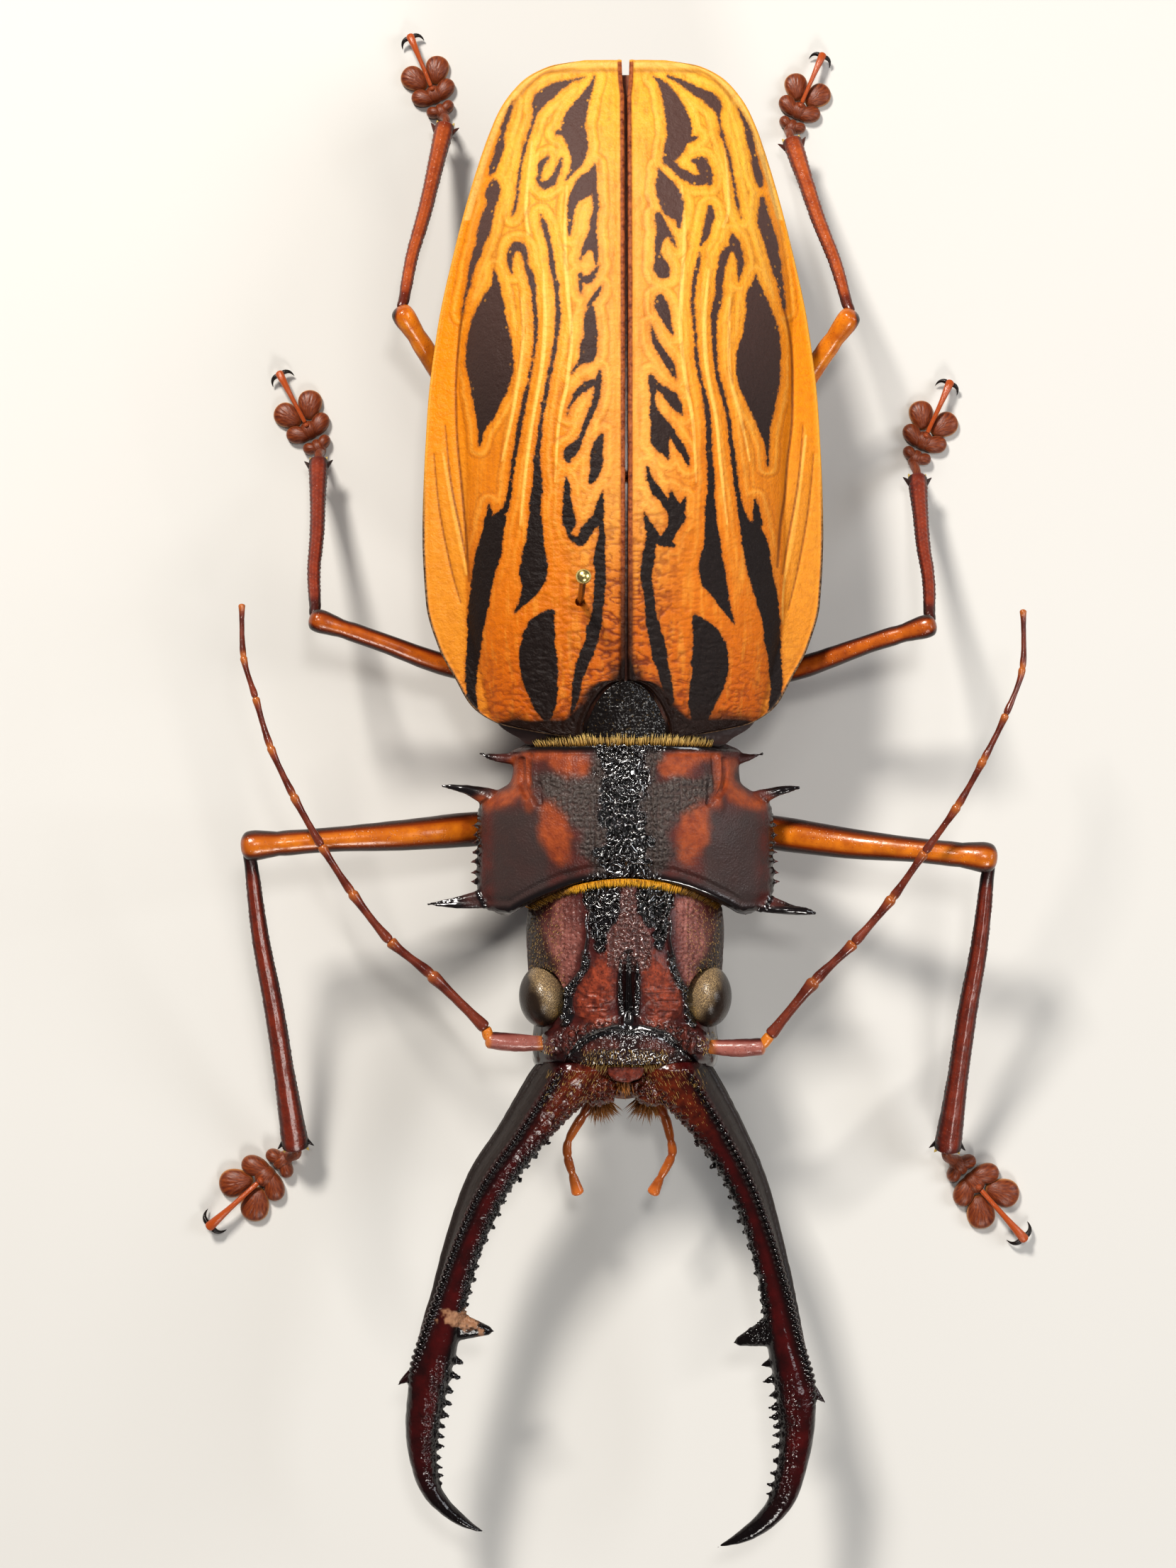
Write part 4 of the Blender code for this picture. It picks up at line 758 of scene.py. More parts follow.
def buildWing(side, material):
    sign = sides[side]
    obj, points, seam, rim = wingGrid(side, wing["grid"])
    obj.name = obj.data.name = "wingCase_" + side
    x, y = np.abs(points[:, 0]), points[:, 1]
    pixels = pixelAt(points)
    endGap = np.minimum(wing["tip"] - y, (y - wing["front"]) * 2.0 + 0.3)
    rim = np.minimum(rim, endGap)
    share = x / curveAt(wing["span"], y)
    foldPlace = curveAt(wing["foldPlace"], y)
    mark = nearestStroke(pixels, wingMarks[side]) + grain(pixels, (14, 14), 2)
    mark += grain(pixels, (5, 5), 4) * 0.8
    mark = np.where(seam < 0.5, 9.0, mark)
    calm = rise(y, 16, 34) * rise(x, 20.5, 18.5) * rise(seam, 0.8, 2.0)
    crinkled = np.clip(rise(y, 52, 14) * rise(x, 15, 4) + 0.55 * rise(y, 22, 8) * rise(x, 20, 14), 0, 1)
    crinkled *= rise(seam, 0.2, 0.9)
    warp = np.stack([points[:, 0], y + 0.35 * grain(points[:, :2], (2.4, 2.4), 12)], 1)
    # crease is 1 in the valleys of the crinkles, which are sunk below and also darkened in the material as
    # painted shade
    crease = np.abs(grain(warp, (1.05, 0.44), 3) + 0.45 * grain(warp, (0.6, 0.3), 5))
    crease = 1 - rise(crease, 0.0, 0.42)
    leather = grain(points, (0.9, 0.9, 9.0), 5) * 0.035 + grain(points, (0.40, 0.40, 9.0), 6) * 0.028
    seamRidge = 0.16 * bell(seam, 0.28, 0.16) - 0.07 * bell(seam, 0.75, 0.2)
    rimRidge = 0.12 * bell(rim, 0.15, 0.14) - 0.06 * bell(rim, 0.55, 0.25)
    veinGap = nearestStroke(pixels, wingVeins[side])
    foldGap = nearestStroke(pixels, wingFolds[side])
    lift = leather * rise(seam, 0.2, 0.8) + seamRidge + rimRidge - 0.13 * crease * crinkled
    lift += 0.14 * np.exp(-np.maximum(veinGap, 0) / 3.0) - 0.16 * bell(np.maximum(foldGap, 0), 0, 2.5)
    lift += calm * (0.06 * bell(mark, 10.5, 3.0) - 0.05 * bell(mark, 16.5, 1.8))
    lift += grain(points, (5.0, 9.0, 9.0), 8) * 0.08 * rise(rim, 0, 3) * rise(seam, 0, 3)
    points[:, 2] += lift - 0.10
    writePoints(obj, points)
    apexGap = np.where(y > 60, rim, 9.0)
    # near-black along the base, round the scutellum and down the front of the suture
    baseBlack = 0.7 * rise(y, 7.4, 5.0) * rise(x, 19, 12) + rise(y, 12.5, 9.5) * rise(seam, 2.4, 1.0)
    baseBlack = baseBlack + rise(y, 5.9, 4.9) + 0.85 * rise(y, 27, 14) * rise(seam, 0.9, 0.2)
    fields = {
        "mark": mark, "seam": seam, "rim": rim, "vein": veinGap, "fold": foldGap, "calm": calm,
        "crease": crease,
        "side": rise(share, foldPlace - 0.16, foldPlace - 0.02) * rise(y, 24, 40) * rise(y, 76, 66) * 0.9,
        "flange": rise(share, foldPlace - 0.02, foldPlace + 0.02) * rise(y, 44, 26) * 0.75,
        "glare": rise(x, 8.0, 2.0) * rise(y, 14, 30) * rise(y, 74, 60) * 0.7,
        "apexBand": rise(apexGap, 1.1, 0.75) * 0.75,
        "apexShade": bell(apexGap, 1.25, 0.3) * rise(y, 64, 74) * 0.65,
        "blush": np.clip(rise(y, 34, 12) * rise(x, 7.5, 1.5) * 1.1 + 0.5 * rise(y, 16, 6) + 0.12, 0, 0.95),
        "baseBlack": np.clip(baseBlack + grain(points, (1.6, 1.6, 9), 9) * 0.35 * rise(y, 10, 5), 0, 1),
    }
    giveFields(obj, **fields)
    bpy.ops.object.mode_set(mode="EDIT")
    if side == "right":
        mesh = bmesh.from_edit_mesh(obj.data)
        middle, hole = Vector(wing["pinSpot"]) * mm, wing["pinHole"] * mm
        for face in mesh.faces:
            face.select = (face.calc_center_median().xy - middle).length < hole * 0.9
        bmesh.update_edit_mesh(obj.data)
        bpy.ops.mesh.delete(type="FACE")
        mesh = bmesh.from_edit_mesh(obj.data)
        for vert in mesh.verts:
            away = vert.co.xy - middle
            if vert.is_boundary and away.length < hole * 2:
                vert.co.xy = middle + away.normalized() * hole
        bmesh.update_edit_mesh(obj.data)
    bpy.ops.mesh.select_all(action="DESELECT")
    bpy.ops.mesh.select_mode(type="EDGE")
    bpy.ops.mesh.select_non_manifold()
    bpy.ops.mesh.extrude_edges_move(TRANSFORM_OT_translate={"value": (0, 0, -wing["thickness"] * mm)})
    bpy.ops.mesh.select_mode(type="VERT")
    bpy.ops.object.mode_set(mode="OBJECT")
    lining, under, seam, rim = wingGrid(side, wing["liningGrid"], wing["thickness"] + 0.05)
    writePoints(lining, under)
    flipFaces(obj if sign < 0 else lining)
    plain = {"mark": 30.0, "vein": 30.0, "fold": 30.0, "seam": 5.0, "rim": 5.0, "blush": 0.4, "crease": 0.6}
    giveFields(lining, **{name: plain.get(name, 0.0) for name in fields})
    return finishPiece(joinAll("wingCase_" + side, [obj, lining]), material, ["elytron_" + side])


leatheryWing = wingMaterial()
for side in sides:
    buildWing(side, leatheryWing)
print("wing cases done")


# moves the surface along its normals by mm
def sculpt(obj, lift):
    writePoints(obj, readPoints(obj) + readNormals(obj) * lift[:, None])
    return obj


# legs: root, knee, ankle, heel and points along the thigh, with the foot's turn in degrees
legs = {
    "fore_right": {"coxa": (-7.8, -6.0, 5.6), "knee": (-40.7, -7.9, 20.0), "ankle": (-37.2, -42.2, 4.3),
                   "heel": (-37.8, -43.2), "turn": 222.0, "size": 1.0,
                   "thigh": [(-11.2, -6.0, 6.9), (-16.6, -6.2, 12.0), (-24.5, -6.8, 16.6),
                             (-33.0, -7.3, 18.9)]},
    "fore_left": {"coxa": (7.8, -6.0, 5.6), "knee": (39.3, -9.2, 20.0), "ankle": (36.7, -42.4, 4.3),
                  "heel": (37.3, -43.6), "turn": -48.4, "size": 1.0,
                  "thigh": [(11.2, -6.1, 6.9), (16.6, -6.6, 12.0), (24.5, -7.7, 16.6), (32.0, -8.4, 18.9)]},
    "mid_right": {"coxa": (-7.6, 9.6, 5.6), "knee": (-33.6, 16.6, 19.0), "ankle": (-34.6, 35.3, 4.2),
                  "heel": (-34.3, 36.1), "turn": 117.6, "size": 0.85,
                  "thigh": [(-10.8, 10.4, 6.7), (-14.5, 10.9, 9.0), (-20.4, 12.1, 13.4),
                            (-27.2, 14.5, 16.7)]},
    "mid_left": {"coxa": (7.6, 9.4, 5.6), "knee": (33.0, 16.0, 19.0), "ankle": (33.3, 33.4, 4.2),
                 "heel": (32.9, 34.8), "turn": 65.8, "size": 0.85,
                 "thigh": [(10.8, 10.1, 6.7), (14.5, 10.6, 9.0), (20.0, 11.8, 13.4), (26.6, 14.1, 16.7)]},
    "hind_right": {"coxa": (-7.4, 26.6, 5.4), "knee": (-24.4, 50.2, 17.0), "ankle": (-20.3, 73.3, 4.2),
                   "heel": (-20.3, 74.5), "turn": 112.6, "size": 0.83,
                   "thigh": [(-10.6, 28.2, 6.5), (-14.6, 34.5, 8.6), (-18.3, 40.8, 11.0),
                             (-21.4, 45.7, 14.0)]},
    "hind_left": {"coxa": (7.4, 26.4, 5.4), "knee": (24.6, 49.8, 17.0), "ankle": (19.1, 71.6, 4.2),
                  "heel": (18.7, 72.8), "turn": 66.5, "size": 0.8,
                  "thigh": [(10.6, 28.0, 6.5), (14.6, 34.3, 8.6), (18.3, 40.6, 11.0), (21.4, 45.4, 14.0)]},
}
legWidths = {
    "fore": {"thighWidth": [1.5, 1.95, 1.7, 1.35, 1.6], "shinWidth": [0.75, 0.95, 1.1, 1.2, 1.6]},
    "mid": {"thighWidth": [1.2, 1.3, 1.25, 1.05, 1.2], "shinWidth": [0.65, 0.72, 0.8, 0.9, 1.15]},
    "hind": {"thighWidth": [1.15, 1.25, 1.2, 1.15, 1.15], "shinWidth": [0.62, 0.7, 0.8, 0.9, 1.15]},
}
for name, leg in legs.items():
    leg.update(legWidths[name.split("_")[0]])
hip = {"size": (3.1, 3.3, 2.35), "stretch": 1.8, "lip": 1.1}


# the body's lip and the dark groove around the root of each leg
def hipLip(points):
    gap = np.min([np.hypot((points[:, 0] - leg["coxa"][0]) / hip["size"][0],
                           (points[:, 1] - leg["coxa"][1]) / hip["size"][1])
                  for leg in legs.values()], axis=0)
    return hip["lip"] * bell(gap, 1.25, 0.22), rise(gap, 1.14, 1.02)


# a section with a keeled side edge, bowed along the body
def keelRing(y, wide, crown, belly, edge, bow, count):
    turn = 2 * np.pi * np.arange(count) / count
    x, lift, share = wide * np.cos(turn), np.sin(turn), np.abs(np.cos(turn))
    roundOff = np.maximum(0.0, 1 - share ** 2.2)
    z = np.where(lift > 1e-6, edge + (crown - edge) * roundOff ** 0.72,
                 edge - (edge - belly) * roundOff ** 0.62)
    return np.stack([x, y + bow * neckBow(x), np.where(np.abs(lift) < 1e-6, edge, z)], 1)


neck = {"arch": 4.0, "span": 12.5}


def neckBow(x):
    return neck["arch"] * np.maximum(0.0, 1 - (x / neck["span"]) ** 2)


# sections of a part from rear to front, bowed more and more towards one end
def keelRings(part, bowTo, count):
    rings = []
    for y in np.linspace(part["rear"], part["front"], part["rows"]):
        bow = max(0.0, (y - part["bowFrom"]) / (bowTo - part["bowFrom"])) ** 1.5
        wide, crown, belly = (float(curveAt(part[key], y)) for key in ("width", "crown", "belly"))
        rings.append(keelRing(y, wide, crown, belly, part["edge"], bow, count))
    return rings


# smaller and smaller copies of a ring that close an end
def bowedEnd(ring, y, bow=1.0, shares=(0.85, 0.68, 0.34, 0.1)):
    middle, rings = ring[:, 2].mean(), []
    for share in shares:
        x = ring[:, 0] * share
        rings.append(np.stack([x, y + bow * neckBow(x), middle + (ring[:, 2] - middle) * share], 1))
    return rings


# shield behind the head
shield = {
    "front": -15.4, "rear": 3.2, "edge": 18.0, "rows": 64,
    "width": [(-15.4, 13.2), (-14.3, 15.4), (-12.5, 16.0), (-5.0, 16.0), (-3.4, 15.7), (-2.2, 14.2),
              (-0.9, 12.5), (0.6, 12.3), (2.2, 12.6), (3.2, 10.8)],
    "crown": [(-15.4, 23.4), (-12.5, 24.8), (-7.0, 26.0), (0.0, 25.8), (3.2, 24.9)],
    "belly": [(-15.4, 11.2), (-10.0, 9.0), (-2.0, 8.4), (3.2, 9.8)],
    "spines": {"right": [((-11.0, 1.6), (-15.8, 2.1), 1.0), ((-13.0, -3.6), (-20.2, -1.4), 1.35),
                         ((-13.6, -13.2), (-21.7, -14.2), 1.35)],
               "left": [((10.6, 1.6), (15.2, 2.2), 1.0), ((12.8, -3.6), (19.2, -1.6), 1.3),
                        ((13.4, -13.4), (20.6, -15.2), 1.35)]},
    "spineFeet": [(0.9, 1.0), (2.3, 1.5), (1.6, 1.2)],
    "denticles": [-5.6, -6.6, -7.5, -8.5, -9.5, -10.7, -11.7], "denticle": (0.9, 0.5), "voxel": 0.19,
    "fineZone": (-3.4, 3.2, -11.8, 3.0), "bowFrom": 0.6,
}
# marks of the shield in picture pixels
shieldMarks = {
    "worms": [
        [(872, 1062, 20), (882, 1075, 36), (882, 1092, 38), (881, 1110, 30), (881, 1140, 35),
         (881, 1175, 35), (881, 1205, 36), (881, 1226, 26)],
    ],
    "granules": [
        [(882, 1060, 44), (882, 1100, 52), (882, 1140, 58), (882, 1190, 60), (882, 1228, 54)],
        [(770, 1108, 12), (800, 1118, 22), (835, 1130, 32)],
        [(840, 1150, 32), (845, 1190, 32), (850, 1222, 24)],
        [(994, 1108, 12), (964, 1118, 22), (929, 1130, 32)],
        [(924, 1150, 32), (919, 1190, 32), (914, 1222, 24)],
    ],
    "rust": [
        [(742, 1063, 5), (775, 1065, 7), (800, 1078, 17), (820, 1080, 12)],
        [(940, 1078, 12), (957, 1078, 18), (985, 1066, 8), (1005, 1064, 5)],
        [(780, 1135, 8), (780, 1150, 17), (784, 1180, 20), (792, 1208, 10)],
        [(979, 1135, 8), (981, 1150, 17), (977, 1180, 20), (969, 1208, 10)],
        [(742, 1062, 4), (741, 1100, 6), (746, 1135, 5)],
        [(1013, 1062, 4), (1015, 1100, 6), (1009, 1135, 5)],
        [(668, 1128, 3), (690, 1133, 9), (716, 1122, 11), (730, 1098, 9), (726, 1075, 6)],
        [(1087, 1132, 3), (1065, 1133, 9), (1040, 1122, 11), (1025, 1098, 9), (1030, 1075, 6)],
    ],
    "folds": [
        [(736, 1072, 1.5), (737, 1105, 2), (744, 1122, 2)],
        [(749, 1068, 1.5), (747, 1100, 2), (752, 1120, 2)],
        [(1021, 1072, 1.5), (1020, 1105, 2), (1013, 1122, 2)],
        [(1008, 1068, 1.5), (1009, 1100, 2), (1005, 1120, 2)],
        [(760, 1108, 2), (757, 1120, 3.5), (760, 1132, 2)],
        [(1000, 1108, 2), (1003, 1120, 3.5), (1000, 1132, 2)],
    ],
}


def shieldMaterial():
    material, shader, place = startMaterial("grainedShield")
    worm, crumb, rust = fieldOf("worm"), fieldOf("crumb"), fieldOf("rust")
    edge = fieldOf("edge")
    cloud = noiseOf(place, 2.2, 4.0)
    tone = blendOf(rampOf(cloud, 0.35, 0.65), (0.085, 0.022, 0.018), (0.045, 0.022, 0.020))
    tone = blendOf(fieldOf("panel"), tone, (0.046, 0.032, 0.030))
    speck = rampOf(cellsOf(place, 0.26), 0.13, 0.06, 0.0, 0.6)
    tone = blendOf(speck, tone, (0.17, 0.12, 0.10))
    rusty = blendOf(rampOf(noiseOf(place, 0.9, 4.0), 0.35, 0.7), (0.33, 0.074, 0.020), (0.18, 0.036, 0.015))
    tone = layered(tone, [
        (rust, rusty),
        (crumb, (0.062, 0.050, 0.045)),
        (worm, (0.006, 0.004, 0.004)),
        (edge, (0.007, 0.004, 0.004)),
    ])
    shine = sumOf(worm, edge, "MAXIMUM")
    matt = rampOf(shine, 0.0, 1.0, 1.0, 0.0)
    normal = bumpOf(noiseOf(place, 0.22, 4.0, 0.65), 0.04, sumOf(matt, 0.7, "MULTIPLY"))
    normal = bumpOf(cellsOf(place, 0.24), 0.05, sumOf(matt, 0.8, "MULTIPLY"), normal)
    feed(shader, {"Base Color": tone, "Roughness": rampOf(shine, 0.0, 1.0, 0.42, 0.14), "Normal": normal,
                  "Specular IOR Level": rampOf(shine, 0.0, 1.0, 0.25, 0.8),
                  "Coat Weight": worm, "Coat Roughness": 0.12, "Coat IOR": 1.7})
    return material


def buildShield():
    rings = keelRings(shield, shield["front"], 96)
    rings = bowedEnd(rings[0], shield["rear"], 0.0)[::-1] + rings + bowedEnd(rings[-1], shield["front"])
    pieces = [growSkin("shieldOfThorax", rings)]
    long, thick = shield["denticle"]
    for side, sign in sides.items():
        for index, (root, tip, radius) in enumerate(shield["spines"][side]):
            bend = (0.0, 0.5 if index == 1 else -0.3, 0.2)
            pieces.append(growThorn("spine", (*root, shield["edge"]), (*tip, shield["edge"] + 0.6), radius,
                                    bend, 12,
                                    (1.05, 0.66, 0.40, 0.20, 0.03)))
            foot = (np.array(root) * 0.94 + np.array(tip) * 0.06)
            wide = shield["spineFeet"][index]
            pieces.append(growBall("spineFoot", (foot[0] - sign * 0.2, foot[1] - (0.5 if index == 1 else 0.0),
                                                 shield["edge"] + 0.1), (wide[0], wide[1], 0.95), 20, 12))
        for y in shield["denticles"]:
            out = float(curveAt(shield["width"], y))
            pieces.append(growThorn("denticle", (sign * (out - 0.9), y, shield["edge"]),
                                    (sign * (out + long), y - 0.15, shield["edge"]), thick, count=8))
    obj = refineTop(melt(joinAll("shieldOfThorax", pieces), shield["voxel"], 2))
    obj = refineTop(obj, zone=shield["fineZone"])
    points, normals = readPoints(obj), readNormals(obj)
    pixels = pixelAt(points)
    above = rise(normals[:, 2], 0.15, 0.5)
    x, y = points[:, 0], points[:, 1]
    out = curveAt(shield["width"], y)
    wormGap = nearestStroke(pixels, shieldMarks["worms"], 60) + grain(pixels, (16, 16), 4) * 12
    wormGap += grain(pixels, (6, 6), 9) * 4
    crumbGap = nearestStroke(pixels, shieldMarks["granules"], 80) + grain(pixels, (22, 22), 5) * 12
    foldGap = nearestStroke(pixels, shieldMarks["folds"])
    rustGap = nearestStroke(pixels, shieldMarks["rust"]) + grain(pixels, (10, 10), 6) * 3
    wormShare, crumbShare = rise(wormGap, 4, -5) * above, rise(crumbGap, 8, -12) * above
    crests = np.maximum(wormField(pixels, 12.0, 5.5, 3.7, 2), 0.6 * wormField(pixels, 14.0, 4.0, 3.4, 8))
    crumbs = np.maximum(wormField(pixels, 8.0, 1.4, 2.6, 3), 0.7 * wormField(pixels, 10.0, 2.2, 2.6, 7))
    frontY = shield["front"] + neckBow(x)
    frontGap, rearGap = y - frontY, shield["rear"] - y
    rimBand = np.maximum(rise(frontGap, 1.25, 0.75), rise(rearGap, 1.15, 0.7))
    sideBand = rise(np.abs(x), out - 0.75, out - 0.1) * rise(y, -1.5, -4.0)
    sideBand *= rise(np.abs(x), out + 0.5, out + 0.1)
    lift = wormShare * (0.52 * crests - 0.24) + crumbShare * (1 - wormShare) * (0.26 * crumbs - 0.04)
    lift += 0.24 * bell(frontGap, 0.55, 0.35) * above + 0.20 * bell(rearGap, 0.5, 0.3) * above
    lift -= 0.28 * bell(frontGap, 1.5, 0.5) * above + 0.15 * bell(rearGap, 1.1, 0.25) * above
    lift -= 0.40 * bell(np.maximum(foldGap, 0), 0, 3.0) * above
    lift += 0.30 * bell(np.abs(x), 9.9, 0.5) * rise(y, -5, -3) * rise(y, 2.4, 1.2) * above
    lift += grain(points, (3.0, 3.0, 3.0), 7) * 0.14 + grain(points, (0.5, 0.5, 0.5), 8) * 0.02
    lift += sideBand * 0.14 * granules(points[:, [1, 0, 2]], 0.6, 3)
    lift -= 0.45 * bell(np.abs(x), 4.2, 1.2) * bell(y, -0.2, 1.0) * above
    sculpt(obj, lift + hipLip(points)[0] * rise(normals[:, 2], -0.1, -0.4))
    tipBand = rise(np.abs(x), out + 0.5, out + 2.6)
    giveFields(obj, worm=wormShare,
               crumb=np.clip(crumbShare * (0.75 + 0.25 * crumbs) * (1 - 0.5 * wormShare), 0, 1),
               rust=rise(rustGap, 9, -7) * above * 0.85,
               panel=rise(np.abs(x), 7.6, 9.0) * rise(np.abs(x), 15.2, 13.6) * rise(y, -2.5, -5) * 0.85,
               edge=np.clip(np.maximum.reduce([rimBand * above, sideBand, tipBand]), 0, 1))
    return finishPiece(obj, grainedShield, ["pronotum"])


grainedShield = shieldMaterial()
buildShield()
print("shield done")


# small black shield between the wing cases
def scutellumMaterial():
    material, shader, place = startMaterial("blackGrainedHorn")
    fleck = rampOf(noiseOf(place, 0.28, 3.0), 0.62, 0.74, 0.0, 0.7)
    tone = blendOf(fleck, (0.007, 0.005, 0.0045), (0.13, 0.085, 0.035))
    normal = bumpOf(cellsOf(place, 0.3), 0.07, 0.8)
    feed(shader, {"Base Color": tone, "Roughness": 0.26, "Normal": normal, "Specular IOR Level": 0.35})
    return material


def buildScutellum():
    rings, count = [], 24
    for y in np.linspace(shieldlet["front"], shieldlet["rear"] - 0.05, 26):
        wide = float(curveAt(shieldlet["width"], y))
        turn = 2 * np.pi * np.arange(count) / count
        x = wide * np.cos(turn)
        top = wingHeight(x, np.full(count, y))
        dome = 0.14 + 0.5 * (1 - (x / wide) ** 2)
        z = top + np.where(np.sin(turn) >= -1e-6, dome * np.sin(turn).clip(0) ** 0.5, -shieldlet["thickness"])
        rings.append(np.stack([x, np.full(count, y), z], 1))
    obj = applyStep(growSkin("scutellumShield", rings), "BEVEL", width=0.12 * mm, segments=2)
    soften(obj, 2)
    points = readPoints(obj)
    above = rise(readNormals(obj)[:, 2], 0.2, 0.6)
    sculpt(obj, above * (0.09 * granules(points, 0.42, 2) - 0.35 * rise(points[:, 1], 6.0, 7.4)
                         * rise(np.abs(points[:, 0]), 2.2, 1.6) * 0.4))
    return finishPiece(obj, blackGrainedHorn, ["scutellum"])


blackGrainedHorn = scutellumMaterial()
buildScutellum()

# places and sizes of the eyes, which also shape their seats in the head
eye = {"centre": (8.95, -24.2, 18.0), "size": (2.6, 3.4, 4.3), "seat": 0.80, "gap": 0.05, "detail": 6,
       "facet": 0.13}

# head
head = {
    "rear": -15.7, "front": -31.8, "edge": 16.6, "rows": 60, "voxel": 0.165,
    "width": [(-31.8, 9.4), (-31.0, 10.0), (-29.5, 10.2), (-27.5, 10.0), (-25.0, 10.3), (-20.0, 10.7),
              (-17.5, 10.8), (-15.7, 10.6)],
    "crown": [(-31.8, 21.2), (-31.0, 21.7), (-28.0, 22.8), (-24.0, 24.0), (-18.0, 24.7), (-15.7, 23.9)],
    "belly": [(-31.8, 9.0), (-25.0, 8.8), (-18.0, 9.8), (-15.7, 11.4)],
    "step": 0.5, "fineZone": (-7.2, 6.9, -29.5, -11.5), "bowFrom": -22.0, "around": 88,
    "frontLine": [(792, 1506), (803, 1484), (815, 1475), (830, 1464), (849, 1456), (868, 1453), (887, 1456),
                  (904, 1453), (921, 1456), (938, 1461), (952, 1472), (966, 1482), (978, 1491), (990, 1508)],
}
# marks of the head in picture pixels
headMarks = {
    "worms": [
        [(836, 1250, 13), (838, 1275, 12), (843, 1295, 12), (846, 1320, 10), (848, 1338, 8)],
        [(858, 1254, 17), (860, 1270, 15), (860, 1290, 11), (856, 1310, 7)],
        [(936, 1250, 14), (934, 1275, 14), (932, 1296, 11), (931, 1316, 9), (930, 1332, 6)],
        [(914, 1254, 15), (911, 1270, 14), (911, 1286, 10), (916, 1304, 7)],
    ],
    "cords": [
        [(829, 1288, 1.5), (828, 1300, 3.2), (830, 1318, 3.4), (828, 1334, 3.6), (826, 1347, 3.2)],
        [(831, 1262, 1.5), (833, 1278, 3.0), (839, 1296, 3.4), (843, 1314, 3.0), (845, 1328, 1.5)],
        [(943, 1292, 1.5), (945, 1306, 3.2), (943, 1322, 3.4), (945, 1336, 3.6), (947, 1347, 3.2)],
        [(938, 1262, 1.5), (939, 1280, 3.0), (935, 1298, 3.2), (931, 1314, 2.6), (929, 1326, 1.5)],
        [(887, 1356, 0.8), (887, 1400, 1.8), (887, 1438, 1.2)],
    ],
    "ridges": [
        [(826, 1345, 5), (827, 1360, 6), (820, 1374, 5), (810, 1388, 6), (801, 1403, 9), (800, 1417, 9),
         (801, 1432, 9), (797, 1446, 6)],
        [(946, 1345, 5), (948, 1364, 6), (956, 1384, 6), (965, 1398, 7), (972, 1409, 9), (972, 1423, 9),
         (974, 1440, 7), (977, 1450, 4)],
        [(876, 1356, 2), (875, 1372, 3.5), (875, 1400, 4.5), (877, 1428, 5)],
        [(898, 1356, 2), (899, 1372, 3.5), (899, 1400, 4.5), (897, 1428, 5)],
    ],
    "groove": [
        [(886, 1344, 3), (887, 1366, 6), (887, 1400, 7), (887, 1430, 9), (887, 1442, 10)],
    ],
    "bumps": [
        [(888, 1256, 8), (887, 1290, 16), (887, 1318, 28), (887, 1340, 34)],
    ],
    "lobes": [
        [(858, 1346, 8), (850, 1366, 17), (843, 1395, 26), (838, 1418, 24), (852, 1436, 10)],
        [(916, 1346, 8), (924, 1366, 17), (932, 1395, 26), (936, 1418, 24), (922, 1436, 10)],
    ],
    "brow": [
        [(869, 1440, 4), (850, 1444, 6), (830, 1450, 8), (812, 1460, 9), (800, 1474, 8)],
        [(905, 1440, 4), (924, 1444, 6), (943, 1448, 8), (961, 1460, 9), (974, 1474, 8)],
    ],
    # lumps of the clypeus, which also carry painted pinkish highlights
    "clypeusLumpHighlight": [
        [(826, 1484, 6), (850, 1474, 9), (868, 1477, 6)],
        [(906, 1478, 6), (925, 1476, 9), (948, 1484, 6)],
    ],
    "tubercles": [
        [(806, 1456, 9), (792, 1468, 14), (780, 1476, 11), (772, 1477, 6)],
        [(966, 1456, 9), (980, 1468, 14), (993, 1476, 11), (1002, 1477, 6)],
    ],
    "cheeks": [
        [(746, 1290, 14), (746, 1325, 18), (757, 1352, 18), (778, 1366, 9)],
        [(1026, 1290, 14), (1025, 1325, 18), (1016, 1352, 18), (992, 1366, 9)],
    ],
    "pale": [
        [(800, 1280, 18), (795, 1310, 24), (796, 1340, 22), (797, 1368, 14), (795, 1388, 6)],
        [(970, 1280, 18), (976, 1310, 22), (978, 1340, 20), (976, 1368, 14), (980, 1386, 6)],
        [(771, 1475, 4), (776, 1477, 4)],
        [(1002, 1477, 4), (997, 1478, 4)],
    ],
}


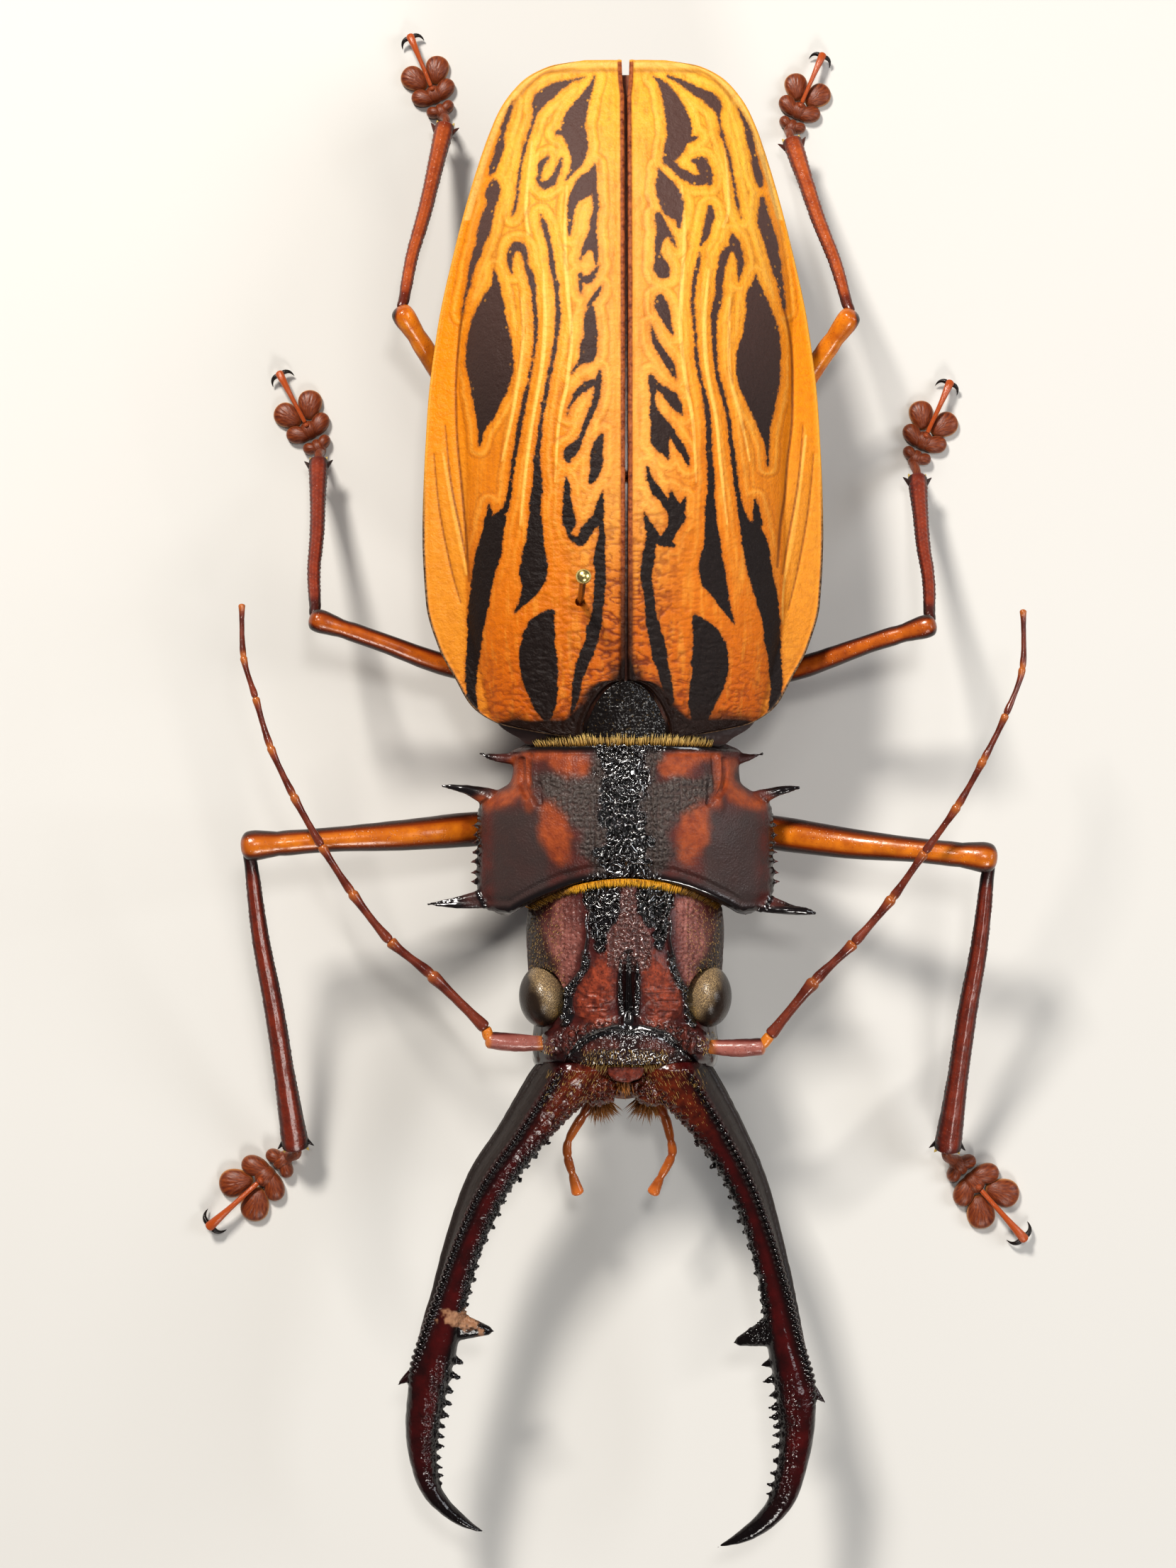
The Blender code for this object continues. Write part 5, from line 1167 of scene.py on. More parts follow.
def headMaterial():
    material, shader, place = startMaterial("maroonHeadHorn")
    ink, red, grey, pale = (fieldOf(key) for key in ("ink", "red", "grey", "pale"))
    cloud = noiseOf(place, 1.6, 4.0)
    tone = blendOf(rampOf(cloud, 0.35, 0.68), (0.072, 0.014, 0.012), (0.034, 0.009, 0.009))
    pinkish = blendOf(rampOf(cloud, 0.3, 0.7), (0.31, 0.130, 0.105), (0.20, 0.072, 0.060))
    tone = blendOf(pale, tone, pinkish)
    fire = blendOf(rampOf(noiseOf(place, 0.9, 4.0, 0.65), 0.36, 0.64), (0.27, 0.056, 0.026),
                   (0.085, 0.018, 0.012))
    tone = blendOf(red, tone, fire)
    tone = blendOf(grey, tone, (0.017, 0.014, 0.012))
    cells = cellsOf(place, 0.36)
    grit = noiseOf(stretched(place, (1.0, 0.6, 1.0)), 0.42, 4.0, 0.7)
    tone = blendOf(rampOf(grit, 0.52, 0.36, 0.0, 0.6), tone, (0.045, 0.013, 0.011))
    tone = blendOf(rampOf(cells, 0.22, 0.10, 0.0, 0.8), tone, (0.020, 0.007, 0.007))
    gilt = sumOf(rampOf(noiseOf(place, 0.24, 3.0), 0.60, 0.70), fieldOf("gilt"), "MULTIPLY")
    tone = blendOf(gilt, tone, (0.42, 0.27, 0.09))
    # near-black of the worms, ridges and cords, and the painted shadow along the front line of the frons
    tone = blendOf(ink, tone, (0.005, 0.003, 0.003))
    matt = rampOf(ink, 0.0, 1.0, 1.0, 0.0)
    normal = bumpOf(noiseOf(place, 0.3, 4.0, 0.6), 0.05, sumOf(matt, 0.6, "MULTIPLY"))
    normal = bumpOf(cells, 0.05, sumOf(matt, 0.7, "MULTIPLY"), normal)
    feed(shader, {"Base Color": tone, "Roughness": rampOf(ink, 0.0, 1.0, 0.36, 0.13), "Normal": normal,
                  "Specular IOR Level": rampOf(ink, 0.0, 1.0, 0.3, 0.8),
                  "Coat Weight": ink, "Coat Roughness": 0.12, "Coat IOR": 1.5})
    return material


def buildHead():
    rings = keelRings(head, head["rear"], head["around"])
    rings = bowedEnd(rings[0], head["rear"])[::-1] + rings + bowedEnd(rings[-1], head["front"], 0.0)
    pieces = [growSkin("headCapsule", rings)]
    for sign in sides.values():
        pieces.append(growLimb("tubercle", roundEnds([(sign * 5.6, -28.0, 20.0, 1.5, 1.8),
                                                      (sign * 8.3, -29.1, 20.3, 1.25, 1.5)]), 12))
        pieces.append(growBall("jawJoint", (sign * 8.3, -31.0, 15.0), (1.9, 1.9, 3.2), 24, 16))
    obj = refineTop(melt(joinAll("headCapsule", pieces), head["voxel"], 3))
    obj = refineTop(obj, zone=head["fineZone"])
    points, normals = readPoints(obj), readNormals(obj)
    pixels = pixelAt(points)
    above = rise(normals[:, 2], 0.05, 0.4)
    gap = {key: nearestStroke(pixels, strokes) for key, strokes in headMarks.items()}
    ragged = grain(pixels, (8, 8), 3) * 3
    lineX, lineY = np.array(head["frontLine"], float).T
    ahead = pixels[:, 1] - np.interp(pixels[:, 0], lineX, lineY)
    inside = rise(pixels[:, 0], 790, 800) * rise(pixels[:, 0], 992, 982) * rise(points[:, 2], 17.0, 18.2)
    clypeusZone = rise(ahead, -2, 4) * inside * (points[:, 1] > -32.5)
    wormShare = rise(gap["worms"] + ragged, 3, -2) * above
    ridge, groove = rise(gap["ridges"], 2.5, -2) * above, rise(gap["groove"], 3, -4) * above
    cord = np.sqrt(np.clip(-gap["cords"] / 3.4, 0, 1)) * above
    lobe = rise(gap["lobes"] + ragged, 6, -10) * above
    bump = rise(gap["bumps"] + ragged, 5, -5) * above * (1 - wormShare)
    brow, clypeusLumpHighlight = rise(gap["brow"], 5, -5) * above * (1 - clypeusZone), rise(gap["clypeusLumpHighlight"], 6, -6) * above
    tubercle, cheek = rise(gap["tubercles"], 6, -8) * above, rise(gap["cheeks"] + ragged, 8, -8) * above
    pale = rise(gap["pale"] + ragged, 7, -9) * above * (1 - cheek) * (1 - wormShare)
    crests = np.maximum(wormField(pixels, 12.0, 5.5, 3.5, 5), 0.6 * wormField(pixels, 14.0, 4.0, 3.2, 9))
    crumbs = np.maximum(wormField(pixels, 12.0, 2.6, 3.6, 14), 0.7 * wormField(pixels, 9.0, 1.0, 2.8, 21))
    beads = np.maximum(beadField(pixels, headMarks["ridges"], 8.5, 5.0, 3),
                       beadField(pixels, headMarks["ridges"], 10.0, 3.6, 8))
    lift = wormShare * (0.54 * crests - 0.26) * (1 - cord * 0.6) + 0.50 * cord
    beaded = ridge * (0.10 + 0.48 * beads) * (1 - wormShare * 0.5)
    lift += beaded - groove * 0.40 * (1 - np.maximum(ridge, cord))
    wrinkle = 1 - np.abs(grain(pixels, (16, 5.0), 11)) * 2.2
    lift += lobe * (0.28 + 0.10 * wrinkle * rise(pixels[:, 1], 1375, 1415)) + bump * (0.26 * crumbs - 0.06)
    lift += brow * (0.30 + 0.28 * np.maximum(crumbs, beads)) + clypeusLumpHighlight * 0.25 - clypeusZone * head["step"]
    lift += tubercle * (0.30 + 0.22 * crumbs) + np.maximum(cheek, pale) * 0.10 * granules(points, 0.45, 15)
    lift -= pale * 0.10 * wormField(pixels, 8.0, 0.5, 2.2, 33)
    lift += grain(points, (0.6, 0.6, 0.6), 16) * 0.02 + clypeusZone * 0.10 * crumbs
    sculpt(obj, lift)
    points = readPoints(obj)
    for sign in sides.values():
        cx, cy, cz = sign * eye["centre"][0], eye["centre"][1], eye["centre"][2]
        wide, long = eye["size"][0] + eye["gap"], eye["size"][1] + eye["gap"]
        around = ((points[:, 0] - cx) / wide) ** 2 + ((points[:, 1] - cy) / long) ** 2
        roof = cz + eye["size"][2] * np.sqrt(np.clip(1 - around, 0, 1)) - 0.35
        sunk = (around < eye["seat"]) & (points[:, 2] > roof)
        points[sunk, 2] = np.maximum(roof[sunk], 17.0)
    writePoints(obj, points)
    front = np.maximum(rise(points[:, 1], -30.7, -31.4),
                       rise(points[:, 1], -26.4, -27.4) * rise(np.abs(points[:, 0]), 8.0, 8.8)
                       * (1 - tubercle))
    # ink also lays painted shadow along the front line of the frons, under its overhang, besides the black of
    # the worms, ridges, cords and groove
    ink = np.maximum.reduce([wormShare, ridge, cord, groove, front * 0.85, bump * 0.2 + 0.35 * bump * crumbs,
                             tubercle * 0.5 * (1 - crumbs), rise(np.abs(ahead), 11, 6) * inside,
                             clypeusZone * (0.75 - 0.35 * clypeusLumpHighlight), rise(gap["groove"], 9, 2) * above * 0.7,
                             brow * (1 - np.maximum(crumbs, beads)) * 0.6])
    # grey over the cheeks, over the sides below 17.5 mm and between the crumbs of the middle bump
    greyCover = cheek * 0.9 + rise(points[:, 2], 17.5, 15.5) * 0.6 + 0.4 * bump * (1 - crumbs)
    flesh = pale * (0.72 + 0.35 * grain(points, (1.6, 1.6, 1.6), 31))
    # the clypeus lumps are made pinker and redder here as painted highlights
    flesh = flesh + 0.85 * bump * (0.4 + 0.6 * crumbs) + 0.2 * clypeusLumpHighlight
    giveFields(obj, ink=np.clip(ink, 0, 1),
               red=np.clip((lobe + 0.35 * brow) * (1 - clypeusZone) + 0.30 * clypeusLumpHighlight, 0, 1),
               grey=np.clip(greyCover, 0, 1),
               pale=np.clip(flesh, 0, 1),
               gilt=np.clip(0.5 * cheek + clypeusZone * rise(pixels[:, 1], 1484, 1494) * 0.6, 0, 1))
    return finishPiece(obj, maroonHeadHorn, ["head"])


maroonHeadHorn = headMaterial()
buildHead()
print("head done")


# eyes, a little proud of the head
def eyeMaterial():
    material, shader, place = startMaterial("facetedEye")
    speck = rampOf(noiseOf(place, 0.11, 3.0, 0.7), 0.48, 0.62)
    gilt = blendOf(speck, (0.12, 0.085, 0.055), (0.44, 0.31, 0.16))
    smooth = blendOf(noiseOf(place, 1.5), (0.014, 0.009, 0.007), (0.030, 0.019, 0.013))
    gilt = blendOf(sumOf(fieldOf("glow"), speck, "MULTIPLY"), gilt, (0.62, 0.36, 0.06))
    tone = blendOf(fieldOf("gilt"), smooth, gilt)
    normal = bumpOf(cellsOf(place, eye["facet"]), 0.03, 0.8)
    feed(shader, {"Base Color": tone, "Roughness": 0.2, "Normal": normal, "Specular IOR Level": 0.25,
                  "Coat Weight": 0.1, "Coat Roughness": 0.08})
    return material


def buildEye(side, material):
    sign = sides[side]
    deselect()
    bpy.ops.mesh.primitive_ico_sphere_add(subdivisions=eye["detail"], radius=1.0)
    obj = bpy.context.object
    obj.name = obj.data.name = "eye_" + side
    unit = readPoints(obj) * mm
    points = unit * eye["size"] * [sign, 1, 1] + np.array([sign * eye["centre"][0], *eye["centre"][1:]])
    writePoints(obj, points)
    if sign < 0:
        flipFaces(obj)
    slant = unit[:, 0] * 0.9 - unit[:, 1] * 0.55 + 0.12 * grain(points, (0.8, 0.8, 0.8), 3)
    giveFields(obj, gilt=rise(slant, 0.34, -0.22) * rise(unit[:, 2], -0.2, 0.2))
    glow = np.linalg.norm((unit - [-0.75, -0.62, 0.3]) * [1, 0.8, 0.5], axis=1)
    giveFields(obj, glow=rise(glow, 0.55, 0.15) * 0.8)
    return finishPiece(obj, material, ["eye_" + side])


facetedEye = eyeMaterial()
for side in sides:
    buildEye(side, facetedEye)

# jaws
jaws = {
    "level": 16.6, "voxel": 0.177, "stations": 72,
    "path": {
        "right": [(-5.4, -32.15, 4.6, 3.9), (-10.9, -38.9, 2.85, 3.4), (-14.9, -44.6, 2.45, 2.9),
                  (-17.55, -51.1, 2.1, 2.5), (-19.2, -57.0, 2.0, 2.3), (-20.2, -61.2, 2.2, 2.3),
                  (-21.6, -67.4, 2.1, 2.1), (-22.2, -72.5, 1.7, 1.9), (-21.6, -77.1, 1.2, 1.5),
                  (-20.0, -79.7, 0.9, 1.2), (-17.6, -81.7, 0.55, 0.8), (-15.2, -82.9, 0.0, 0.0)],
        "left": [(5.2, -32.15, 4.4, 3.9), (10.3, -39.1, 2.8, 3.4), (13.2, -44.4, 2.2, 2.9),
                 (15.2, -50.4, 1.9, 2.5), (16.7, -56.8, 1.85, 2.3), (17.4, -61.5, 2.05, 2.3),
                 (18.6, -68.0, 2.1, 2.1), (18.7, -72.6, 1.8, 1.9), (17.5, -78.3, 1.45, 1.5),
                 (15.5, -81.3, 1.1, 1.2), (12.9, -83.2, 0.7, 0.8), (9.9, -84.5, 0.0, 0.0)]},
    "bigTooth": {"right": ((-19.6, -60.2), (-14.2, -60.9), 1.6), "left": ((17.0, -60.6), (11.7, -62.2), 1.6)},
    "spur": {"right": ((-20.9, -64.0), (-24.9, -66.8), 1.2), "left": ((17.9, -64.8), (21.9, -68.8), 1.2)},
    "lowTeeth": {"from": 0.085, "to": 0.43, "count": 17, "height": 0.42, "radius": 0.62},
    "sawTeeth": {"from": 0.487, "to": 0.745, "count": 12, "height": 1.05, "radius": 0.70},
    "ridgePlace": [(0.0, 0.30), (0.08, 0.22), (0.2, 0.12), (0.4, 0.32), (0.55, 0.62), (0.66, 0.9)],
    "chip": [(632, 1860, 7), (650, 1858, 10), (666, 1866, 8), (676, 1876, 5)],
    "beadStep": 0.72, "rootLobe": (3.0, -33.6, 15.9, (2.75, 2.7, 3.2)),
}


def jawMaterial():
    material, shader, place = startMaterial("cherryJawHorn")
    ink, outer, core, chip = (fieldOf(key) for key in ("ink", "outer", "core", "chip"))
    cloud = noiseOf(place, 2.0, 4.0)
    tone = blendOf(rampOf(cloud, 0.3, 0.7), (0.056, 0.0045, 0.0045), (0.019, 0.0032, 0.0032))
    ember = blendOf(rampOf(noiseOf(place, 1.0, 3.0), 0.35, 0.65), (0.115, 0.019, 0.006),
                    (0.038, 0.006, 0.0035))
    tone = blendOf(core, tone, ember)
    drab = blendOf(noiseOf(place, 0.6, 4.0), (0.009, 0.006, 0.005), (0.024, 0.014, 0.011))
    tone = blendOf(outer, tone, drab)
    tone = blendOf(ink, tone, (0.005, 0.003, 0.003))
    cells = cellsOf(place, 0.42)
    tone = blendOf(sumOf(rampOf(cells, 0.12, 0.06, 0.0, 0.6), core, "MULTIPLY"), tone, (0.55, 0.34, 0.12))
    tan = blendOf(noiseOf(place, 0.4, 4.0), (0.14, 0.055, 0.028), (0.40, 0.22, 0.12))
    tone = blendOf(chip, tone, tan)
    rough = rampOf(sumOf(outer, chip), 0.0, 1.0, 0.16, 0.48)
    normal = bumpOf(noiseOf(place, 0.35, 4.0, 0.6), 0.05, 0.5)
    normal = bumpOf(cells, 0.05, 0.45, normal)
    feed(shader, {"Base Color": tone, "Roughness": rough, "Normal": normal, "Specular IOR Level": 0.4})
    return material


# nearest place along a path: index, offset sideways to its right when seen from above, distance run
def alongPath(points, path):
    gaps = np.linalg.norm(points[:, None, :2] - path[None, :, :2], axis=2)
    nearest = gaps.argmin(1)
    run = np.concatenate(([0], np.cumsum(np.linalg.norm(np.diff(path[:, :2], axis=0), axis=1))))
    heading = np.gradient(path[:, :2], axis=0)
    heading /= np.linalg.norm(heading, axis=1)[:, None]
    away = points[:, :2] - path[nearest, :2]
    beside = away[:, 0] * heading[nearest, 1] - away[:, 1] * heading[nearest, 0]
    ahead = (away * heading[nearest]).sum(1)
    return nearest, beside, run[nearest] + ahead, run[-1]


def buildJaw(side, material):
    sign = sides[side]
    path = smoothLine(jaws["path"][side], jaws["stations"])
    path[-1, 2:] = 0.03
    level = jaws["level"]
    stations = [(x, y, level, wide, deep) for x, y, wide, deep in path]
    x, y, wide, deep = path[0]
    stations = [(x * 0.97, y + 0.9, level, wide * 0.9, deep * 0.9)] + stations
    pieces = [growLimb("jaw_" + side, stations, 26, 20)]
    lobe = jaws["rootLobe"]
    pieces.append(growBall("rootLobe", (sign * lobe[0], lobe[1], lobe[2]), lobe[3], 32, 20))
    for kind in ("lowTeeth", "sawTeeth"):
        teeth = jaws[kind]
        for index in range(teeth["count"]):
            at = teeth["from"] + (teeth["to"] - teeth["from"]) * index / (teeth["count"] - 1)
            at *= len(path) - 1
            low = int(at)
            x, y, wide, deep = path[low] + (path[low + 1] - path[low]) * (at - low)
            heading = (path[low + 1, :2] - path[low, :2]) / np.linalg.norm(path[low + 1, :2] - path[low, :2])
            inward = np.array([heading[1], -heading[0]])
            inward *= -1 if inward[0] * sign > 0 else 1
            if kind == "sawTeeth":
                reach = teeth["height"] * (1.15 - 0.05 * index + 0.12 * math.sin(index * 2.1))
            else:
                reach = teeth["height"] * (0.75 + 0.4 * abs(math.sin(index * 2.4)))
            root, tip = (x, y) + inward * wide * 0.4, (x, y) + inward * (wide + reach) + heading * 0.3
            thick = teeth["radius"] * (1.1 - 0.035 * index)
            pieces.append(growThorn("tooth", (*root, level), (*tip, level), thick))
    for root, tip, radius in (jaws["bigTooth"][side], jaws["spur"][side]):
        pieces.append(growThorn("bigTooth", (*root, level), (*tip, level), radius, count=14))
    root, tip, radius = jaws["bigTooth"][side]
    root, tip = np.array(root), np.array(tip)
    middle, nearTip = root * 0.40 + tip * 0.60, root * 0.12 + tip * 0.88
    body = [(*root, level, 2.0, 1.6), (*middle, level, 1.0, 1.0), (*nearTip, level, 0.5, 0.5)]
    pieces.append(growLimb("toothBody", roundEnds(body), 16))
    obj = refineTop(melt(joinAll("jaw_" + side, pieces), jaws["voxel"], 2))
    points, normals = readPoints(obj), readNormals(obj)
    nearest, beside, run, whole = alongPath(points, path)
    outward = beside * (1 if side == "right" else -1)
    beyond = (nearest > 30) & (points[:, 0] * sign > path[nearest, 0] * sign)
    outward = outward * np.sign(np.median(outward[beyond]))
    share, wide = run / whole, np.maximum(path[nearest, 2], 0.3)
    place = outward / wide
    ridgeAt = curveAt(jaws["ridgePlace"], share)
    above = rise(normals[:, 2], 0.0, 0.35)
    live = rise(share, 0.70, 0.60) * rise(share, 0.0, 0.03)
    beadRun = run / jaws["beadStep"] + 0.35 * grain(points, (2, 2, 2), 4)
    beads = np.sqrt(np.clip(1 - (2.3 * (beadRun - np.round(beadRun))) ** 2
                            - ((place - ridgeAt) * wide / 0.42) ** 2, 0, 1))
    pixels = pixelAt(points)
    crumbs = np.maximum(wormField(pixels, 8.5, 1.0, 3.0, 3), 0.8 * wormField(pixels, 10.0, 1.6, 2.8, 9))
    ridge = bell((place - ridgeAt) * wide, 0, 0.5) * above * live
    outer = rise(place, ridgeAt + 0.06, ridgeAt + 0.22) * live
    inner = rise(place, -0.40, -0.75)
    lift = ridge * 0.30 + 0.42 * beads * above * live - outer * above * 0.50 * rise(place, ridgeAt + 0.1, 1.0)
    lift += inner * above * 0.32 * crumbs * rise(share, 0.56, 0.50) * rise(place, -2.6, -1.6)
    sawn = above * (1 - outer) * 0.16 * crumbs * rise(share, 0.58, 0.64) * rise(share, 0.9, 0.8)
    lift += sawn * rise(place, 0.25, -0.2)
    lift -= above * bell(place - ridgeAt, -0.4, 0.2) * 0.16 * live
    lift += grain(points, (0.7, 0.7, 0.7), 6) * 0.03
    sculpt(obj, lift)
    edge = np.maximum(bell((place - ridgeAt + 0.06) * wide, 0, 0.55) * live, rise(np.abs(place), 0.50, 0.92))
    ink = np.maximum.reduce([edge, inner, rise(share, 0.72, 0.92), rise(place, -1.0, -1.25),
                             rise(normals[:, 2], 0.1, -0.3)])
    chip = np.zeros(len(points))
    if side == "right":
        chip = rise(strokeDistance(pixels, jaws["chip"])
                    + grain(pixels, (8, 8), 3) * 9 + grain(pixels, (3, 3), 5) * 4, 5, -5) * above
    hairless = rise(share, 0.19, 0.03) * rise(place, ridgeAt - 0.02, ridgeAt - 0.35)
    hairless *= rise(np.abs(place + 0.2), 1.3, 0.9)
    giveFields(obj, ink=np.clip(ink * (1 - outer * 0.9) * (1 - 0.8 * hairless), 0, 1),
               outer=np.clip(outer * rise(share, 0.64, 0.5), 0, 1),
               core=np.clip(hairless, 0, 1),
               chip=chip)
    return finishPiece(obj, material, ["mandible_" + side])


cherryJawHorn = jawMaterial()
for side in sides:
    buildJaw(side, cherryJawHorn)
print("jaws done")


# how far along, across and above a limb's line each point lies
def limbPlace(points, path):
    nearest = np.linalg.norm(points[:, None] - path[None], axis=2).argmin(1)
    heading = np.gradient(path, axis=0)
    heading /= np.linalg.norm(heading, axis=1)[:, None]
    across = np.cross(heading, (0, 0, 1))
    across /= np.linalg.norm(across, axis=1)[:, None]
    over = np.cross(across, heading)
    run = np.concatenate(([0], np.cumsum(np.linalg.norm(np.diff(path, axis=0), axis=1))))
    away = points - path[nearest]
    return (run[nearest] + (away * heading[nearest]).sum(1), (away * across[nearest]).sum(1),
            (away * over[nearest]).sum(1), run[-1])


# horn of limbs: two tones, darker along the edges, with fine pits
def limbHorn(name, pale, deep, dark, pit, pitTone, pitSize=0.34, rough=0.24, glow=None):
    material, shader, place = startMaterial(name)
    tone = blendOf(rampOf(noiseOf(place, 1.6, 4.0), 0.35, 0.68), pale, deep)
    edge = fieldOf("edge")
    tone = layered(tone, [
        (rampOf(edge, 0.0, 0.55), tuple(v * share for v, share in zip(deep, (0.62, 0.45, 0.45)))),
        (rampOf(edge, 0.45, 1.0), dark),
        (fieldOf("bright"), glow or tuple(min(1.0, v * 1.45) for v in pale)),
    ])
    cells = cellsOf(place, pitSize)
    tone = blendOf(rampOf(cells, 0.26, 0.14, 0.0, pit), tone, pitTone)
    tone = blendOf(fieldOf("gilt"), tone, (0.55, 0.38, 0.09))
    normal = bumpOf(noiseOf(place, 0.3, 4.0, 0.6), 0.035, 0.5)
    normal = bumpOf(rampOf(cells, 0.1, 0.3), 0.04, 0.5, normal)
    feed(shader, {"Base Color": tone, "Roughness": rough, "Normal": normal, "Specular IOR Level": 0.4,
                  "Coat Weight": 0.12, "Coat Roughness": 0.1})
    return material


foot = {
    "lobes": [(1.6, 0.0, 0, 1.25, 0.95, 0.14, 2.1), (1.95, 0.85, 62, 1.2, 0.78, 0.14, 1.9),
              (1.95, -0.85, -62, 1.2, 0.78, 0.14, 1.9),
              (4.35, 0.0, 0, 1.25, 1.25, 0.08, 1.85), (4.4, 1.5, 60, 1.75, 1.15, 0.07, 1.7),
              (4.4, -1.5, -60, 1.75, 1.15, 0.07, 1.7),
              (4.9, 0.0, 0, 0.5, 0.5, 0.3, 2.15), (7.35, 1.65, 33, 2.0, 1.6, 0.0, 1.5),
              (7.35, -1.65, -33, 2.0, 1.6, 0.0, 1.5)],
    "stalk": [(5.5, 1.45, 0.30), (7.6, 1.85, 0.29), (9.8, 2.05, 0.36), (11.8, 1.85, 0.52), (12.8, 1.5, 0.60)],
    "claw": {"root": (12.75, 0.25, 1.3), "tip": (11.75, 1.6, 0.5), "radius": 0.40, "bend": (0.36, 0.30)},
}


def buildThigh(name, leg, material):
    line = [(*spot, wide) for spot, wide in zip([*leg["thigh"], leg["knee"]], leg["thighWidth"])]
    stations = [(x, y, z, wide, wide) for x, y, z, wide in smoothLine(line, 26)]
    obj = soften(growLimb("femur_" + name, roundEnds(stations), 18), 1)
    points = readPoints(obj)
    path = smoothLine(line, 80)[:, :3]
    run, across, over, whole = limbPlace(points, path)
    local = np.interp(run / whole, np.linspace(0, 1, len(leg["thighWidth"])), leg["thighWidth"])
    middle = np.interp(np.clip(run / whole, 0, 1), np.linspace(0, 1, len(path)), path[:, 0])
    out = np.abs(across)
    if name.startswith("hind"):
        out = (points[:, 0] - middle) * sides[name.split("_")[1]] * 1.25
    sculpt(obj, 0.12 * bell(run - whole, -0.8, 0.9) - 0.10 * bell(run - whole, -3.2, 0.6)
           + 0.03 * grain(points, (1.5, 1.5, 1.5), 3))
    low = rise(over / local, -0.05, -0.45)
    giveFields(obj, edge=np.clip(rise(out / local, 0.28, 0.88) * (1 - 0.6 * low) + 0.5 * rise(run, 4.0, 1.0)
                                 + 0.6 * rise(run, whole - 0.4, whole + leg["thighWidth"][-1]), 0, 1))
    return finishPiece(obj, material, ["femur_" + name])


def buildShin(name, leg, material):
    knee, ankle, widths = np.array(leg["knee"]), np.array(leg["ankle"]), leg["shinWidth"]
    along = (ankle - knee) / np.linalg.norm(ankle - knee)
    side = np.cross(along, (0, 0, 1))
    side /= np.linalg.norm(side)
    outward = side * np.sign(side[0] * sides[name.split("_")[1]] or 1)
    top = knee + along * (leg["thighWidth"][-1] + 0.3)
    spots = [top + (ankle - top) * i / (len(widths) - 1) for i in range(len(widths))]
    spots[1] = spots[1] + outward * 0.25
    line = [(*spot, wide) for spot, wide in zip(spots, widths)]
    neckSpot = knee + along * leg["thighWidth"][-1] * 0.3 + outward * 0.3
    neckEnd = (*neckSpot, 0.7 * widths[0], 0.7 * widths[0])
    stations = [neckEnd] + [(x, y, z, wide, wide * 0.85) for x, y, z, wide in smoothLine(line, 34)]
    end = stations[-1]
    for share, reach in ((0.93, 0.12), (0.7, 0.2), (0.3, 0.2)):
        stations.append((*(np.array(end[:3]) + along * reach), end[3] * share, end[4] * share))
    obj = soften(growLimb("tibia_" + name, stations, 16), 2)
    points = readPoints(obj)
    path = smoothLine(line, 120)[:, :3]
    run, across, over, whole = limbPlace(points, path)
    local = np.interp(run / whole, np.linspace(0, 1, len(widths)), widths)
    turn = np.arctan2(over / 0.85, across)
    rows, live = 12, rise(run, 1.0, 3.0) * rise(run, whole - 0.3, whole - 1.4)
    lane = np.round(turn / (2 * np.pi) * rows)
    pitRun = run / 0.66 + 0.5 * (lane % 2) + 0.3 * grain(points, (1, 1, 1), 8)
    inPit = bell(turn / (2 * np.pi) * rows, lane, 0.22) * bell(pitRun, np.round(pitRun), 0.22)
    sculpt(obj, 0.07 * inPit * live + 0.03 * grain(points, (0.6, 0.6, 0.6), 5))
    low = rise(over / local, -0.05, -0.45)
    giveFields(obj, edge=np.clip(rise(np.abs(across) / local, 0.50, 0.92) * (0.95 - 0.6 * low)
                                 + 0.7 * rise(run, 2.0, 0.3) + 0.4 * rise(run, whole - 1.2, whole), 0, 1),
               bright=np.clip(inPit * live * 0.5, 0, 1))
    pieces = [obj]
    for sideways in (-1, 1):
        for back, reach, gilt in ((1.2, 0.5, 0.0), (0.5, 0.15, 1.0)):
            root = ankle + side * sideways * widths[-1] * 0.55 - along * back
            tip = ankle + side * sideways * (widths[-1] + reach - gilt * 0.3) + along * (0.25 + gilt * 0.55)
            pieces.append(soften(growThorn("spur", root, tip, 0.42, tuple(along * 0.1), 10), 1))
            giveFields(pieces[-1], edge=1.0, gilt=gilt * 0.8)
    return finishPiece(joinAll("tibia_" + name, pieces), material, ["tibia_" + name])


def velvetMaterial():
    material, shader = startMaterial("cinnamonVelvet")[:2]
    lanes = put("CombineXYZ", {"X": fieldOf("lane"), "Y": fieldOf("along"),
                               "Z": fieldOf("claw")}).outputs[0]
    streak = put("TexNoise", {"Vector": lanes, "Scale": 1.0, "Detail": 3.0, "Roughness": 0.6}).outputs["Fac"]
    tone = blendOf(rampOf(streak, 0.35, 0.65), (0.085, 0.014, 0.005), (0.21, 0.048, 0.010))
    tone = layered(tone, [
        (fieldOf("rim"), (0.42, 0.18, 0.05)),
        (fieldOf("stalk"), (0.34, 0.065, 0.012)),
        (fieldOf("claw"), (0.010, 0.006, 0.005)),
    ])
    feed(shader, {"Base Color": tone, "Roughness": rampOf(fieldOf("stalk"), 0.0, 1.0, 0.42, 0.22),
                  "Sheen Weight": 0.10, "Sheen Roughness": 0.4, "Specular IOR Level": 0.4,
                  "Normal": bumpOf(streak, 0.08, 0.7)})
    return material


